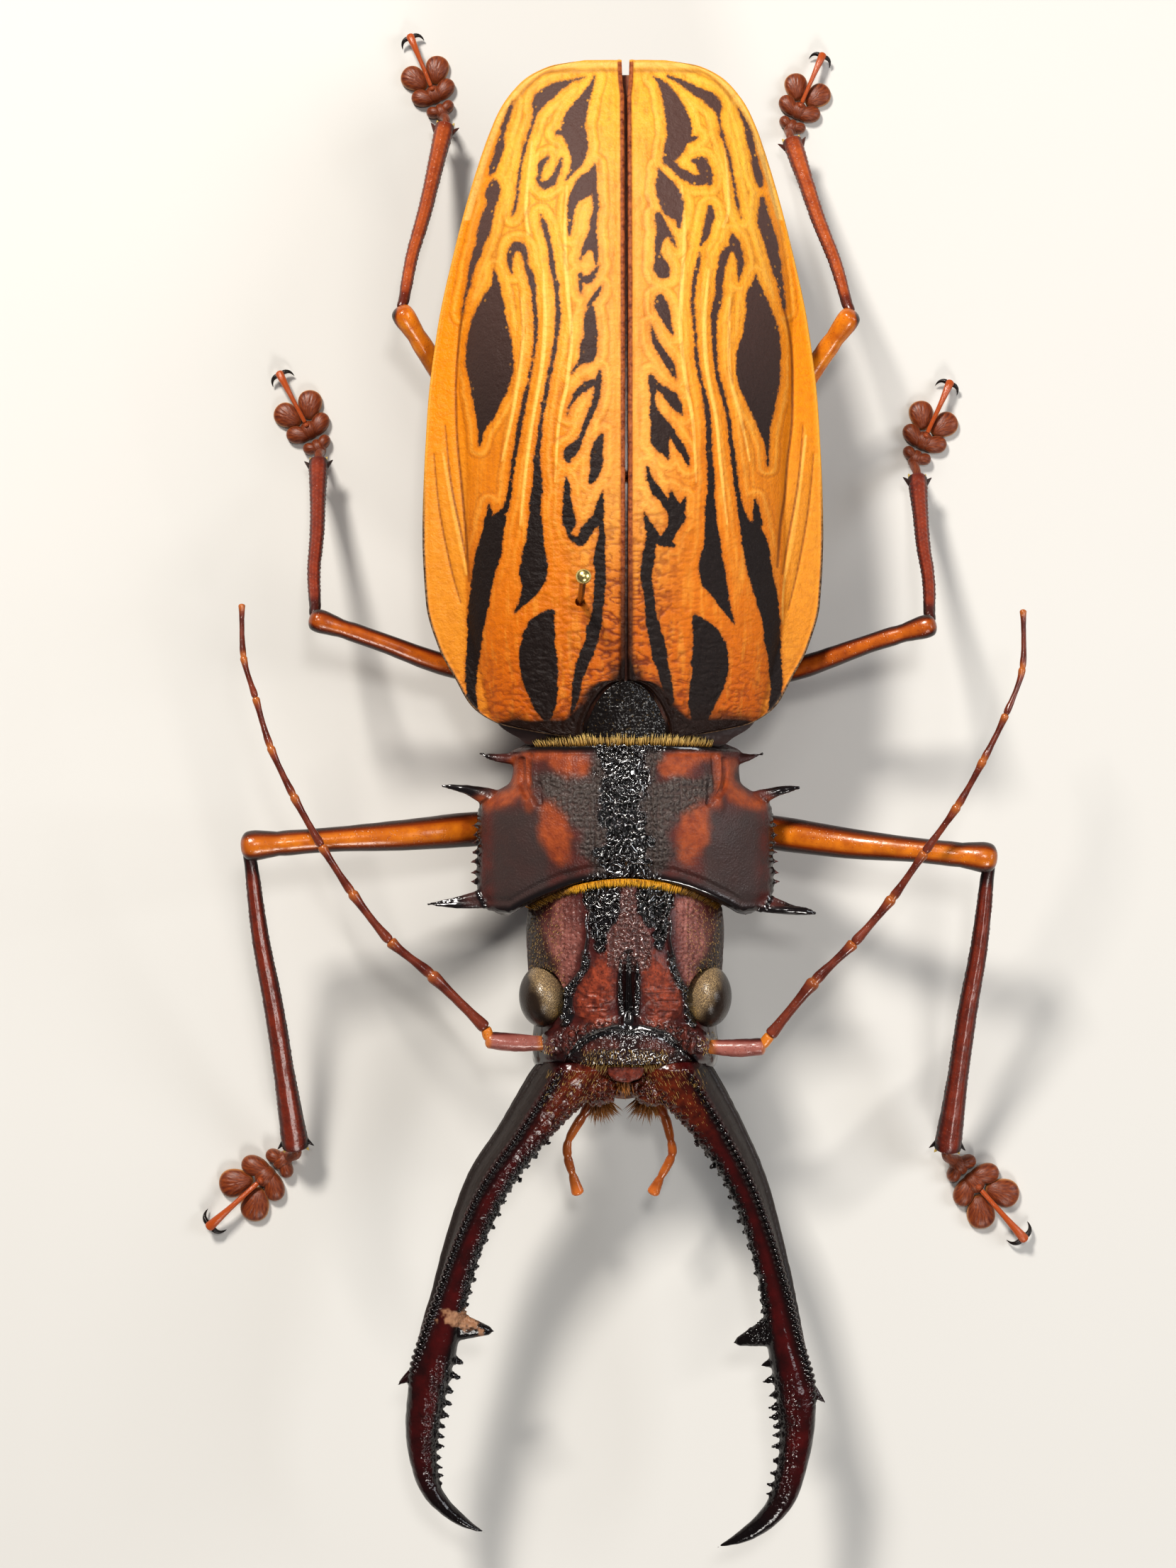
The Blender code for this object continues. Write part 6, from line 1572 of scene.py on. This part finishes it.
def buildFoot(name, leg, material):
    turn, size = math.radians(leg["turn"]), leg["size"]
    heel = np.array([*leg["heel"], 0.0])
    along = np.array([math.cos(turn), math.sin(turn), 0.0])
    across = np.array([-math.sin(turn), math.cos(turn), 0.0])
    knee, ankle = np.array(leg["knee"]), np.array(leg["ankle"])
    down = (ankle - knee) / np.linalg.norm(ankle - knee)

    def spot(forward, sideways, up):
        return heel + along * forward * size + across * sideways * size + np.array([0, 0, up])

    def mark(obj, claw=0.0, stalk=0.0, rim=0.0, lane=None, radius=None):
        points = readPoints(obj) - heel
        giveFields(obj, lane=points @ across * 9 / size if lane is None else lane,
                   along=points @ along * 1.2 if radius is None else radius, claw=claw, stalk=stalk, rim=rim)
        return obj

    pieces = []
    for forward, sideways, angle, long, wide, sole, top in foot["lobes"]:
        obj = growBall("pad", (0, 0, 0), (1, 1, 1), 44, 24)
        unit = readPoints(obj)
        tilt = math.radians(angle)
        ahead = along * math.cos(tilt) + across * math.sin(tilt)
        beside = across * math.cos(tilt) - along * math.sin(tilt)
        pear = 1 + (0.22 if angle else 0.0) * unit[:, 0]
        middle = sole + (top * size - sole) * 0.3
        ray = np.arctan2(unit[:, 1] * wide, (unit[:, 0] + 1.15) * long)
        far = np.hypot(unit[:, 1] * wide, (unit[:, 0] + 1.15) * long)
        high = np.where(unit[:, 2] > 0, middle + (top * size - middle) * np.maximum(unit[:, 2], 0) ** 0.8,
                        middle - (middle - sole) * np.minimum(1, np.abs(unit[:, 2]) * 2.2))
        lanes = 0.035 * np.sin(ray * 46) * (unit[:, 2] > 0) * unit[:, 2] * (long > 1.9)
        points = (spot(forward, sideways, 0) + ahead * (unit[:, :1] * long * size)
                  + beside * (unit[:, 1:2] * wide * size * pear[:, None]))
        points[:, 2] = high + lanes * size
        writePoints(obj, points)
        border = rise(np.hypot(unit[:, 0], unit[:, 1]), 0.90, 0.99) * (unit[:, 2] > -0.6)
        border *= 0.9 if long > 1.9 else 0.3
        pieces.append(mark(obj, rim=border, lane=ray * 11, radius=far, stalk=0.6 if long < 0.6 else 0.0))
    thick = 0.70 * size
    neckLine = [(*(ankle + down * 0.05), thick * 0.8), (*(ankle + down * 1.2), thick * 0.85),
                (*spot(0.9, 0, 1.2 * size), thick * 0.95), (*spot(1.9, 0, 0.95 * size), thick)]
    stations = [(x, y, z, r, r) for x, y, z, r in smoothLine(neckLine, 9)]
    pieces.append(mark(soften(growLimb("neck", stations, 12), 1)))
    stalk = [(*spot(forward, 0, up * size), radius * size, radius * size)
             for forward, up, radius in foot["stalk"]]
    pieces.append(mark(soften(growLimb("stalk", roundEnds(smoothLine(stalk, 14)), 14), 1), stalk=1.0))
    claw = foot["claw"]
    for sideways in (-1, 1):
        root, tip = (spot(forward, sideways * beside, up * size)
                     for forward, beside, up in (claw["root"], claw["tip"]))
        bend = (along * claw["bend"][0] + across * sideways * claw["bend"][1]) * size
        thorn = growThorn("claw", root, tip, claw["radius"] * size, (*bend[:2], 0.2 * size), 10)
        pieces.append(mark(soften(thorn, 1), claw=1.0, stalk=1.0))
    return finishPiece(joinAll("tarsus_" + name, pieces), material, ["tarsus_" + name])


def bellyMaterial():
    material, shader, place = startMaterial("redBrownBellyHorn")
    tone = blendOf(rampOf(noiseOf(place, 2.5, 4.0), 0.35, 0.68), (0.17, 0.045, 0.018), (0.075, 0.020, 0.012))
    hair = noiseOf(stretched(place, (6.0, 1.0, 1.0)), 1.4, 4.0)
    tone = blendOf(rampOf(hair, 0.5, 0.75, 0.0, 0.5), tone, (0.40, 0.25, 0.10))
    tone = blendOf(fieldOf("edge"), tone, (0.025, 0.010, 0.008))
    normal = bumpOf(cellsOf(place, 0.5), 0.05, 0.5)
    feed(shader, {"Base Color": tone, "Roughness": 0.38, "Normal": normal, "Coat Weight": 0.2,
                  "Coat Roughness": 0.2, "Sheen Weight": 0.15})
    return material


# trunk under the wing cases
trunk = {
    "thorax": {"rows": (3.8, 31.0), "joints": [14.5],
               "width": [(3.7, 11.5), (5.0, 13.6), (8.0, 15.2), (16.0, 17.6), (31.0, 17.8)]},
    "abdomen": {"rows": (31.05, 75.6), "joints": [42.0, 50.5, 58.5, 65.0],
                "width": [(31.3, 17.6), (45.0, 16.6), (56.0, 14.6), (65.0, 12.0), (71.0, 9.2), (74.5, 6.0),
                          (75.6, 3.6)]},
    "belly": [(3.7, 9.6), (10.0, 8.3), (31.3, 8.1), (45.0, 9.3), (60.0, 12.0), (70.0, 14.8), (75.6, 16.9)],
    "lid": 1.45,
}


def buildTrunk(name, material):
    part, count, rings = trunk[name], 56, []
    turn = 2 * np.pi * np.arange(count) / count
    first, last = part["rows"]
    for y in np.linspace(first, last, 60):
        wide = float(curveAt(part["width"], y))
        belly = float(curveAt(trunk["belly"], y))
        row = np.full(count, y)
        x = wide * np.cos(turn)
        top = wingHeight(x, row) - trunk["lid"]
        rim = wingHeight(np.array([wide]), np.array([y]))[0] - trunk["lid"]
        z = np.where(np.sin(turn) > 1e-6, top, rim - (rim - belly) * np.abs(np.sin(turn)) ** 0.8)
        rings.append(np.stack([x, row, z], 1))
    for ring, edge in ((rings[0], True), (rings[-1], False)):
        middle = ring.mean(0)
        small = [middle + (ring - middle) * [share, 1, share] for share in (0.8, 0.4)]
        if edge and name == "thorax":
            small = [middle + (ring - middle) * [share, 1, share] - [0, back, 0]
                     for share, back in ((0.97, 0.2), (0.9, 1.2), (0.4, 1.4))]
        rings = small[::-1] + rings if edge else rings + small
    obj = soften(growSkin(name, rings), 1)
    points, normals = readPoints(obj), readNormals(obj)
    below = rise(normals[:, 2], 0.1, -0.3)
    lift = np.zeros(len(points))
    edge = np.zeros(len(points))
    for joint in part["joints"]:
        gap = points[:, 1] - joint - 0.02 * points[:, 0] ** 2 * (1 if name == "thorax" else -0.4)
        lift += below * (0.10 * bell(gap, 0.9, 0.7) - 0.40 * bell(gap, 0, 0.3))
        edge += below * bell(gap, 0, 0.35)
    if name == "thorax":
        flank = np.abs(points[:, 0]) - (12.2 + 0.06 * points[:, 1])
        seams = bell(flank, 0, 0.3) + bell(points[:, 0], 0, 0.3) * rise(points[:, 1], 10, 14)
        lift -= 0.35 * below * seams
        edge += below * seams * 0.7
    lip, groove = hipLip(points)
    edge += rise(points[:, 1], 7.0, 5.0) + below * groove
    sculpt(obj, lift + (lip + 0.02 * grain(points, (0.8, 0.8, 0.8), 2)) * below)
    giveFields(obj, edge=np.clip(edge, 0, 1))
    return finishPiece(obj, material, [name])


redBrownBellyHorn = bellyMaterial()
for name in ("thorax", "abdomen"):
    buildTrunk(name, redBrownBellyHorn)
thighHorns = {
    "fore": limbHorn("amberThighHorn", (0.52, 0.155, 0.010), (0.34, 0.082, 0.008), (0.016, 0.006, 0.005),
                     0.35, (0.18, 0.040, 0.010)),
    "mid": limbHorn("burntThighHorn", (0.42, 0.105, 0.010), (0.25, 0.052, 0.008), (0.016, 0.006, 0.005), 0.35,
                    (0.14, 0.030, 0.010)),
    "hind": limbHorn("orangeThighHorn", (0.62, 0.20, 0.012), (0.42, 0.105, 0.010), (0.016, 0.006, 0.005),
                     0.35, (0.20, 0.045, 0.010)),
}
shinHorns = {
    "fore": limbHorn("darkShinHorn", (0.165, 0.024, 0.010), (0.088, 0.014, 0.008), (0.008, 0.004, 0.004),
                     0.15, (0.22, 0.09, 0.04), 0.30, 0.33),
    "mid": limbHorn("redShinHorn", (0.21, 0.034, 0.012), (0.12, 0.018, 0.009), (0.018, 0.006, 0.005), 0.15,
                    (0.26, 0.10, 0.04), 0.30, 0.33),
    "hind": limbHorn("orangeShinHorn", (0.34, 0.075, 0.016), (0.21, 0.038, 0.011), (0.06, 0.014, 0.008), 0.15,
                     (0.42, 0.17, 0.06), 0.30, 0.30),
}
cinnamonVelvet = velvetMaterial()
for name, leg in legs.items():
    coxa = growBall("coxa_" + name, leg["coxa"], hip["size"], 48, 28)
    points = readPoints(coxa)
    over = np.maximum(points[:, 2] - leg["coxa"][2], 0)
    writePoints(coxa, points + np.outer(over, [0, 0, hip["stretch"]]))
    sculpt(coxa, 0.05 * grain(points, (0.7, 0.7, 0.7), 1))
    giveFields(coxa, edge=rise(over, 0.9, 1.5) * 0.7)
    finishPiece(coxa, redBrownBellyHorn, ["coxa_" + name])
    buildThigh(name, leg, thighHorns[name.split("_")[0]])
    buildShin(name, leg, shinHorns[name.split("_")[0]])
    buildFoot(name, leg, cinnamonVelvet)
print("trunk and legs done")

# antennae, mouth feelers and lips
feelers = {
    "scape": {"right": [(-8.9, -29.3, 18.6), (-11.9, -29.2, 18.9), (-14.7, -28.9, 19.2)],
              "left": [(9.2, -29.7, 18.6), (12.1, -29.8, 18.9), (14.7, -29.6, 19.2)]},
    "path": {
        "right": [(-15.1, -27.6, 19.6), (-21.0, -21.7, 20.6), (-25.4, -18.0, 21.3), (-29.4, -12.8, 22.0),
                  (-32.6, -7.7, 23.0), (-35.5, -2.4, 23.6), (-37.9, 2.8, 24.0), (-39.5, 8.1, 24.0),
                  (-40.8, 12.4, 23.6), (-41.1, 18.1, 22.6)],
        "left": [(15.6, -28.4, 19.6), (20.4, -22.4, 20.6), (24.6, -18.2, 21.3), (28.6, -13.4, 22.0),
                 (32.0, -8.4, 23.0), (35.4, -3.5, 23.6), (38.1, 1.4, 24.0), (40.5, 6.3, 24.0),
                 (42.3, 11.2, 23.6), (42.5, 17.5, 22.6)]},
    "radius": [0.62, 0.54, 0.49, 0.44, 0.41, 0.38, 0.36, 0.33, 0.31, 0.30],
    "lengths": {"inner": (0, 2), "middle": (2, 4), "outer": (4, 7), "tip": (7, 9)},
    "swell": [(0.0, 1.0), (0.06, 1.22), (0.16, 1.12), (0.32, 0.90), (0.6, 0.86), (0.8, 1.0), (0.9, 1.22),
              (0.96, 1.30), (1.0, 0.95)],
    "palp": {"right": [(-3.2, -36.0, 12.0, 0.85), (-4.6, -37.9, 11.9, 0.62), (-6.2, -40.6, 12.3, 0.5),
                       (-6.3, -42.4, 12.3, 0.55), (-5.8, -44.3, 12.0, 0.5), (-5.2, -46.4, 11.6, 0.75)],
             "left": [(3.2, -36.0, 12.0, 0.85), (4.4, -37.9, 11.9, 0.62), (5.1, -40.6, 12.3, 0.5),
                      (5.2, -42.3, 12.3, 0.55), (4.0, -44.7, 12.0, 0.5), (3.2, -46.4, 11.6, 0.75)]},
}
feelerHorn = limbHorn("glossyFeelerHorn", (0.18, 0.040, 0.020), (0.095, 0.021, 0.013), (0.035, 0.008, 0.007),
                      0.35, (0.06, 0.012, 0.01), 0.26, 0.2, (0.38, 0.115, 0.025))
scapeHorn = limbHorn("maroonScapeHorn", (0.30, 0.110, 0.088), (0.20, 0.062, 0.050), (0.028, 0.010, 0.010),
                     0.4, (0.07, 0.02, 0.02), 0.36, 0.3, (0.50, 0.16, 0.02))
palpHorn = limbHorn("amberPalpHorn", (0.36, 0.10, 0.018), (0.21, 0.048, 0.012), (0.08, 0.018, 0.009), 0.2,
                    (0.2, 0.05, 0.02))


def buildAntennaLength(side, name, material):
    first, last = feelers["lengths"][name]
    joints = feelers["path"][side]
    path = smoothLine(joints, 10 * (len(joints) - 1) + 1)
    stations, knobs = [], []
    for joint in range(first, last):
        for share, swell in feelers["swell"]:
            at = (joint + share) * 10
            low = min(int(at), len(path) - 2)
            here = path[low] + (path[low + 1] - path[low]) * (at - low)
            isEnd = joint == last - 1 and share == 1.0
            radius = feelers["radius"][joint] * (0.5 if joint + share >= len(joints) - 1 else swell)
            if share == 0.0 and joint == first and joint:
                here = here - (path[low + 1] - path[low]) * 0.35
            stations.append((*here, radius * (0.7 if isEnd else 1), radius * (0.7 if isEnd else 1)))
            if share == 0.96:
                knobs.append(here)
    obj = soften(growLimb(f"antenna_{side}_{name}", stations, 12), 2)
    points = readPoints(obj)
    knobGap = np.min([np.linalg.norm(points - knob, axis=1) for knob in knobs], axis=0)
    sculpt(obj, 0.018 * grain(points, (0.4, 0.4, 0.4), 4))
    giveFields(obj, bright=rise(knobGap, 1.0, 0.35) * 0.85,
               edge=rise(knobGap, 3.2, 1.6) * rise(knobGap, 1.0, 1.5) * 0.4)
    return finishPiece(obj, material, [f"antenna_{side}_{name}"])


def buildScape(side, material):
    line = [(*spot, wide) for spot, wide in zip(feelers["scape"][side], (0.78, 1.0, 0.95))]
    stations = [(x, y, z, r, r) for x, y, z, r in smoothLine(line, 12)]
    body = soften(growLimb("scape", roundEnds(stations), 16), 2)
    near, far = np.array(feelers["scape"][side][0]), np.array(feelers["scape"][side][-1])
    start = np.array(feelers["path"][side][0])
    out = (far - near) / np.linalg.norm(far - near)
    neckLine = [(*(far + (start - far) * share), 0.62, 0.62) for share in (0.0, 0.4, 0.8, 1.1)]
    pedicel = soften(growLimb("pedicel", neckLine, 12), 2)
    for obj, bright in ((body, 0.0), (pedicel, 1.0)):
        points = readPoints(obj)
        run = (points - near) @ out
        sculpt(obj, 0.03 * grain(points, (0.5, 0.5, 0.5), 7))
        giveFields(obj, edge=rise(points[:, 1] - far[1], 0.35, 0.9) * (1 - bright),
                   bright=np.maximum(bright, np.maximum(rise(run, 1.0, 0.0), rise(run, 5.4, 6.2)) * 0.8))
    return finishPiece(joinAll(f"antenna_{side}_scape", [body, pedicel]), material,
                       [f"antenna_{side}_scape"])


def buildPalp(side, material):
    line = feelers["palp"][side]
    dense = smoothLine(line, 41)
    knot = 1 - sum(0.28 * bell(np.arange(41) / 8, joint, 0.10) for joint in (1, 2, 3, 4))
    stations = [(x, y, z, r * k, r * k * 0.85) for (x, y, z, r), k in zip(dense, knot)]
    obj = soften(growLimb("palp_" + side, roundEnds(stations), 12), 1)
    points = readPoints(obj)
    tipGap = np.linalg.norm(points - np.array(line[-1][:3]), axis=1)
    giveFields(obj, bright=rise(tipGap, 1.4, 0.4) * 0.8, edge=rise(points[:, 1], -38.5, -37.5) * 0.4)
    return finishPiece(obj, material, ["palp_" + side])


lips = {
    "labrum": {"width": 2.0, "rear": -31.7, "front": -33.4, "bottom": 19.4, "top": 20.3},
    "labium": {"width": 4.6, "rear": -31.6, "front": -36.2, "bottom": 9.3, "top": 12.1},
}


def buildLip(name, material):
    sizes, rings = lips[name], []
    length, middle = sizes["front"] - sizes["rear"], (sizes["top"] + sizes["bottom"]) / 2
    half, count = (sizes["top"] - sizes["bottom"]) / 2, 28
    turn = 2 * np.pi * np.arange(count) / count
    box = [np.sign(v) * np.abs(v) ** 0.6 for v in (np.cos(turn), np.sin(turn))]
    for share in np.linspace(0, 1, 14):
        narrow = max(0.05, 1 - share ** 3.2) ** 0.55
        thin = max(0.08, 1 - share ** 4) ** 0.5
        rings.append(np.stack([sizes["width"] * narrow * box[0],
                               np.full(count, sizes["rear"] + length * share),
                               middle + half * thin * box[1]], 1))
    obj = soften(growSkin(name, rings), 2)
    points = readPoints(obj)
    sculpt(obj, 0.05 * grain(points, (0.5, 0.5, 0.5), 3) - 0.15 * bell(points[:, 0], 0, 0.4)
           * rise(readNormals(obj)[:, 2], 0.3, 0.8))
    giveFields(obj, edge=0.0, ink=0.0, grey=0.0, pale=0.0, red=0.6)
    return finishPiece(obj, material, [name])


for side in sides:
    buildScape(side, scapeHorn)
    for name in feelers["lengths"]:
        buildAntennaLength(side, name, feelerHorn)
    buildPalp(side, palpHorn)
buildLip("labrum", maroonHeadHorn)
buildLip("labium", redBrownBellyHorn)
print("antennae and mouth done")

# insect pin
pin = {"top": (-4.5, 19.7, 41.0), "low": (-5.5, 15.2, 2.0), "radius": 0.35, "knob": 0.8}


def buildPin():
    material, shader, place = startMaterial("pinMetal")
    tone = blendOf(fieldOf("knob"), (0.20, 0.155, 0.11), (0.80, 0.62, 0.24))
    tone = blendOf(rampOf(noiseOf(place, 0.5), 0.4, 0.7, 0.0, 0.4), tone, (0.30, 0.33, 0.16))
    feed(shader, {"Base Color": tone, "Metallic": 1.0,
                  "Roughness": rampOf(noiseOf(place, 0.3), 0.3, 0.7, 0.2, 0.36)})
    top, low = np.array(pin["top"]), np.array(pin["low"])
    stations = [(*(low + (top - low) * share), pin["radius"] * thick, pin["radius"] * thick)
                for share, thick in ((0.0, 0.08), (0.03, 0.5), (0.06, 0.95), (0.08, 1.0), (0.5, 1.0),
                                     (1.0, 1.0))]
    shaft = growLimb("pin", stations, 20)
    knob = growBall("pinHead", pin["top"], (pin["knob"], pin["knob"], pin["knob"] * 0.85), 40, 24)
    for obj, share in ((shaft, 0.0), (knob, 1.0)):
        giveFields(obj, knob=share)
    return finishPiece(joinAll("pin", [shaft, knob]), material, ["pin"], 40)


buildPin()
print("pin done")

# hairs: thin bent cones seated on a skin, each with its own small patch of the skin's map
# each coat has its thinnest and thickest hair, how far the hairs arch up, and its slot
# each zone of down has its count, its spans across and along, its reach and its shade
# each brush has its middle, its fan of directions, its reach and its count
hairs = {"rings": ((0.0, 1.0), (0.35, 0.85), (0.7, 0.55)), "patch": 0.003,
         "coats": {"shieldRearFringe": (0.045, 0.075, 0.08, "thorax_shield"),
                   "neckFringe": (0.045, 0.075, 0.10, "head_shell"),
                   "headDown": (0.012, 0.022, 0.04, "head_shell"),
                   "lipFringe": (0.03, 0.055, 0.12, "head_shell"),
                   "mouthBrushes": (0.05, 0.10, 0.2, "head_shell"),
                   "jawDown": (0.013, 0.024, 0.05, "mandible")},
         "down": [(330, (-4.8, 4.6), (-31.6, -29.6), 0.38, 0.9),
                  (520, (-10.4, -6.6), (-24, -12.6), 0.20, 0.4),
                  (520, (6.4, 10.2), (-24, -12.6), 0.20, 0.4), (90, (-10.2, -7.6), (-30.2, -28.0), 0.3, 0.4),
                  (90, (7.6, 10.2), (-30.2, -28.0), 0.3, 0.4)],
         "brushes": [((-2.9, -35.6, 12.6), (-1.95, -0.62), 2.9, 190),
                     ((2.7, -35.5, 12.6), (-2.50, -1.15), 2.9, 190),
                     ((-0.1, -33.2, 18.2), (-1.95, -1.2), 1.6, 60)]}


def seatOn(obj, x, y, default):
    inverse = obj.matrix_world.inverted()
    hit, spot = obj.ray_cast(inverse @ Vector((x * mm, y * mm, 0.06)), Vector((0, 0, -1)))[:2]
    return spot.z / mm if hit else default


def growHairs(name, roots, tips, shades, draw, skin, material):
    thin, thickest, arch, slot = hairs["coats"][name.split("_")[0]]
    radii, bend = draw.uniform(thin, thickest, len(roots)), np.array([0, 0, arch])
    roots, tips = np.array(roots), np.array(tips)
    verts, faces, ends, tones, corners = [], [], [], [], []
    turn = 2 * np.pi * np.arange(3) / 3
    for root, tip, radius, shade, place in zip(roots, tips, radii, shades, skin(roots)):
        heading = (tip - root) / np.linalg.norm(tip - root)
        across = np.cross(heading, (0.31, 0.22, 0.93))
        across /= np.linalg.norm(across)
        over, first = np.cross(across, heading), len(verts)
        for share, thick in hairs["rings"]:
            at = root + (tip - root) * share + bend * 4 * share * (1 - share)
            verts += list(at + radius * thick * (across * np.cos(t) + over * np.sin(t)) for t in turn)
            corners += [place + hairs["patch"] * (np.array([k / 3, share]) - 0.5) for k in range(3)]
            ends += [share] * 3
        verts.append(tip)
        corners.append(place + hairs["patch"] * np.array([0.0, 0.5]))
        ends.append(1.0)
        tones += [shade] * 10
        faces.append((first + 2, first + 1, first))
        for ring in (0, 3):
            faces += [(first + ring + k, first + ring + (k + 1) % 3, first + ring + 3 + (k + 1) % 3,
                       first + ring + 3 + k)
                      for k in range(3)]
        faces += [(first + 6 + k, first + 6 + (k + 1) % 3, first + 9) for k in range(3)]
    mesh = bpy.data.meshes.new(name)
    mesh.from_pydata([tuple(v * mm) for v in verts], [], faces)
    obj = bpy.data.objects.new(name, mesh)
    bpy.context.collection.objects.link(obj)
    layer = mesh.uv_layers.new(name="OFBake")
    for loop in mesh.loops:
        layer.data[loop.index].uv = corners[loop.vertex_index]
    giveFields(obj, end=ends, shade=tones)
    return finishPiece(obj, material)


# a skin's own map: around the body and along it
def wrapMap(middle, span):
    def place(roots):
        around = np.arctan2(roots[:, 2] - middle[1], roots[:, 0] - middle[0]) / (2 * np.pi) + 0.5
        return np.stack([around, (roots[:, 1] - span[0]) / (span[1] - span[0])], 1).clip(0.01, 0.99)
    return place


def hairMaterial(name, root, tip, dim):
    material, shader, place = startMaterial(name)
    tone = blendOf(fieldOf("end"), root, tip)
    tone = blendOf(fieldOf("shade"), tone, dim)
    tone = blendOf(rampOf(noiseOf(place, 0.2), 0.5, 0.75, 0.0, 0.35), tone, dim)
    feed(shader, {"Base Color": tone, "Roughness": 0.38, "Specular IOR Level": 0.4,
                  "Normal": bumpOf(noiseOf(place, 0.06), 0.01, 0.4)})
    return material


def buildCoats(shieldSkin, headSkin, jawSkins):
    bpy.context.view_layer.update()
    draw = np.random.default_rng(7)
    gold = hairMaterial("goldenHair", (0.46, 0.24, 0.04), (0.92, 0.68, 0.26), (0.08, 0.035, 0.012))
    amber = hairMaterial("amberFringe", (0.55, 0.24, 0.012), (0.80, 0.45, 0.04), (0.055, 0.020, 0.008))
    russet = hairMaterial("russetBrush", (0.16, 0.045, 0.010), (0.42, 0.17, 0.03), (0.04, 0.014, 0.008))
    shieldMap, headMap = wrapMap((0, shield["edge"]), (-16, 5)), wrapMap((0, head["edge"]), (-34, -11))
    # fringe behind the shield
    roots, tips = [], []
    for row in range(6):
        for x in np.linspace(-9.7, 9.2, 150):
            x = x + draw.normal(0, 0.06)
            top = seatOn(shieldSkin, x, 2.7, 24.0)
            reach = (1.45 - 0.008 * x ** 2) * draw.uniform(0.6, 1.1)
            root = np.array([x, 2.80 + 0.07 * row, top - 0.12 - 0.16 * row])
            roots.append(root)
            tips.append(root + [0.045 * x * reach + draw.normal(0, 0.12), reach, reach * (0.62 - 0.11 * row)])
    shades = np.where(draw.random(len(roots)) < 0.25, draw.uniform(0.3, 0.8, len(roots)), 0.08)
    growHairs("shieldRearFringe", roots, tips, shades, draw, shieldMap, gold)
    # fringe between shield and head, darker and shorter down the sides
    roots, tips, shades = [], [], []
    for row in range(3):
        for x in np.linspace(-10.9, 10.6, 230):
            x = x + draw.normal(0, 0.05)
            line = shield["front"] + neckBow(x)
            side = float(rise(abs(x), 5.0, 7.0))
            reach = (0.92 - 0.22 * side) * draw.uniform(0.65, 1.1)
            top = seatOn(headSkin, x * 0.985, line - 0.9, 20.0)
            root = np.array([x, line + 0.12, top + 0.10 + 0.12 * row])
            tip = np.array([x * 0.97 + draw.normal(0, 0.10) - 0.05 * x * side, line - reach + 0.1 * row, 0.0])
            tip[2] = seatOn(headSkin, tip[0], tip[1], top) + 0.12 + 0.12 * row
            roots.append(root)
            tips.append(tip)
            shades.append(np.clip(side * 0.75 + (draw.random() < 0.18) * 0.5, 0, 0.95))
    growHairs("neckFringe", roots, tips, shades, draw, headMap, amber)
    # short gold hairs over the front of the head, the cheeks and the tubercles
    roots, tips, shades = [], [], []
    for count, spanX, spanY, reach, dim in hairs["down"]:
        for step in range(count):
            x, y = draw.uniform(*spanX), draw.uniform(*spanY)
            top = seatOn(headSkin, x, y, None)
            if top is None or top < 15:
                continue
            root = np.array([x, y, top - 0.05])
            roots.append(root)
            far = reach * draw.uniform(0.6, 1.2)
            tips.append(root + [0.25 * far * np.sign(x) + draw.normal(0, 0.05), -far, far * 0.45])
            shades.append(dim * draw.random())
    growHairs("headDown", roots, tips, shades, draw, headMap, gold)
    # fringe along the front of the head
    roots, tips, shades = [], [], []
    for row in range(2):
        for x in np.linspace(-5.6, 5.4, 105):
            x = x + draw.normal(0, 0.1)
            reach = draw.uniform(0.45, 0.8) + 0.4 * float(rise(abs(x), 3.4, 0.8)) * draw.random()
            root = np.array([x, -31.5, 19.6 + 0.5 * row])
            roots.append(root)
            tips.append(root + [0.05 * x + draw.normal(0, 0.15), -reach - 0.25, -0.35 - 0.1 * row])
            shades.append(0.25 + 0.5 * draw.random() + 0.2 * float(rise(abs(x), 1.5, 4.0)))
    growHairs("lipFringe", roots, tips, shades, draw, headMap, gold)
    # brushes of the mouth, with a small orange tuft in the middle
    roots, tips, shades = [], [], []
    for middle, fan, reach, count in hairs["brushes"]:
        for step in range(count):
            aim, far = draw.uniform(*fan), reach * draw.uniform(0.75, 1.1)
            root = np.array(middle) + draw.normal(0, 0.33, 3) * [1, 0.8, 1.2]
            roots.append(root)
            tips.append(root + [far * np.cos(aim), far * np.sin(aim), draw.normal(0, 0.5)])
            shades.append(0.5 * draw.random())
    growHairs("mouthBrushes", roots, tips, shades, draw, headMap, russet)
    # short gold hairs at the roots of the jaws
    for side, skin in jawSkins.items():
        sign = sides[side]
        roots, tips, shades = [], [], []
        for step in range(300):
            x, y = draw.uniform(0.4, 8.8), -draw.triangular(31.6, 31.9, 39.0)
            top = seatOn(skin, sign * x, y, None)
            if top is None or top < 16.5:
                continue
            root = np.array([sign * x, y, top - 0.04])
            roots.append(root)
            far = draw.uniform(0.25, 0.5) * (1.25 - 0.09 * (-31 - y))
            tips.append(root + [sign * 0.5 * far, -far, far * 0.4])
            shades.append(0.2 + 0.6 * draw.random())
        growHairs("jawDown_" + side, roots, tips, shades, draw,
                  wrapMap((sign * 5, jaws["level"]), (-84, -31)), gold)


buildCoats(bpy.data.objects["shieldOfThorax"], bpy.data.objects["headCapsule"],
           {side: bpy.data.objects["jaw_" + side] for side in sides})
print("hairs done")
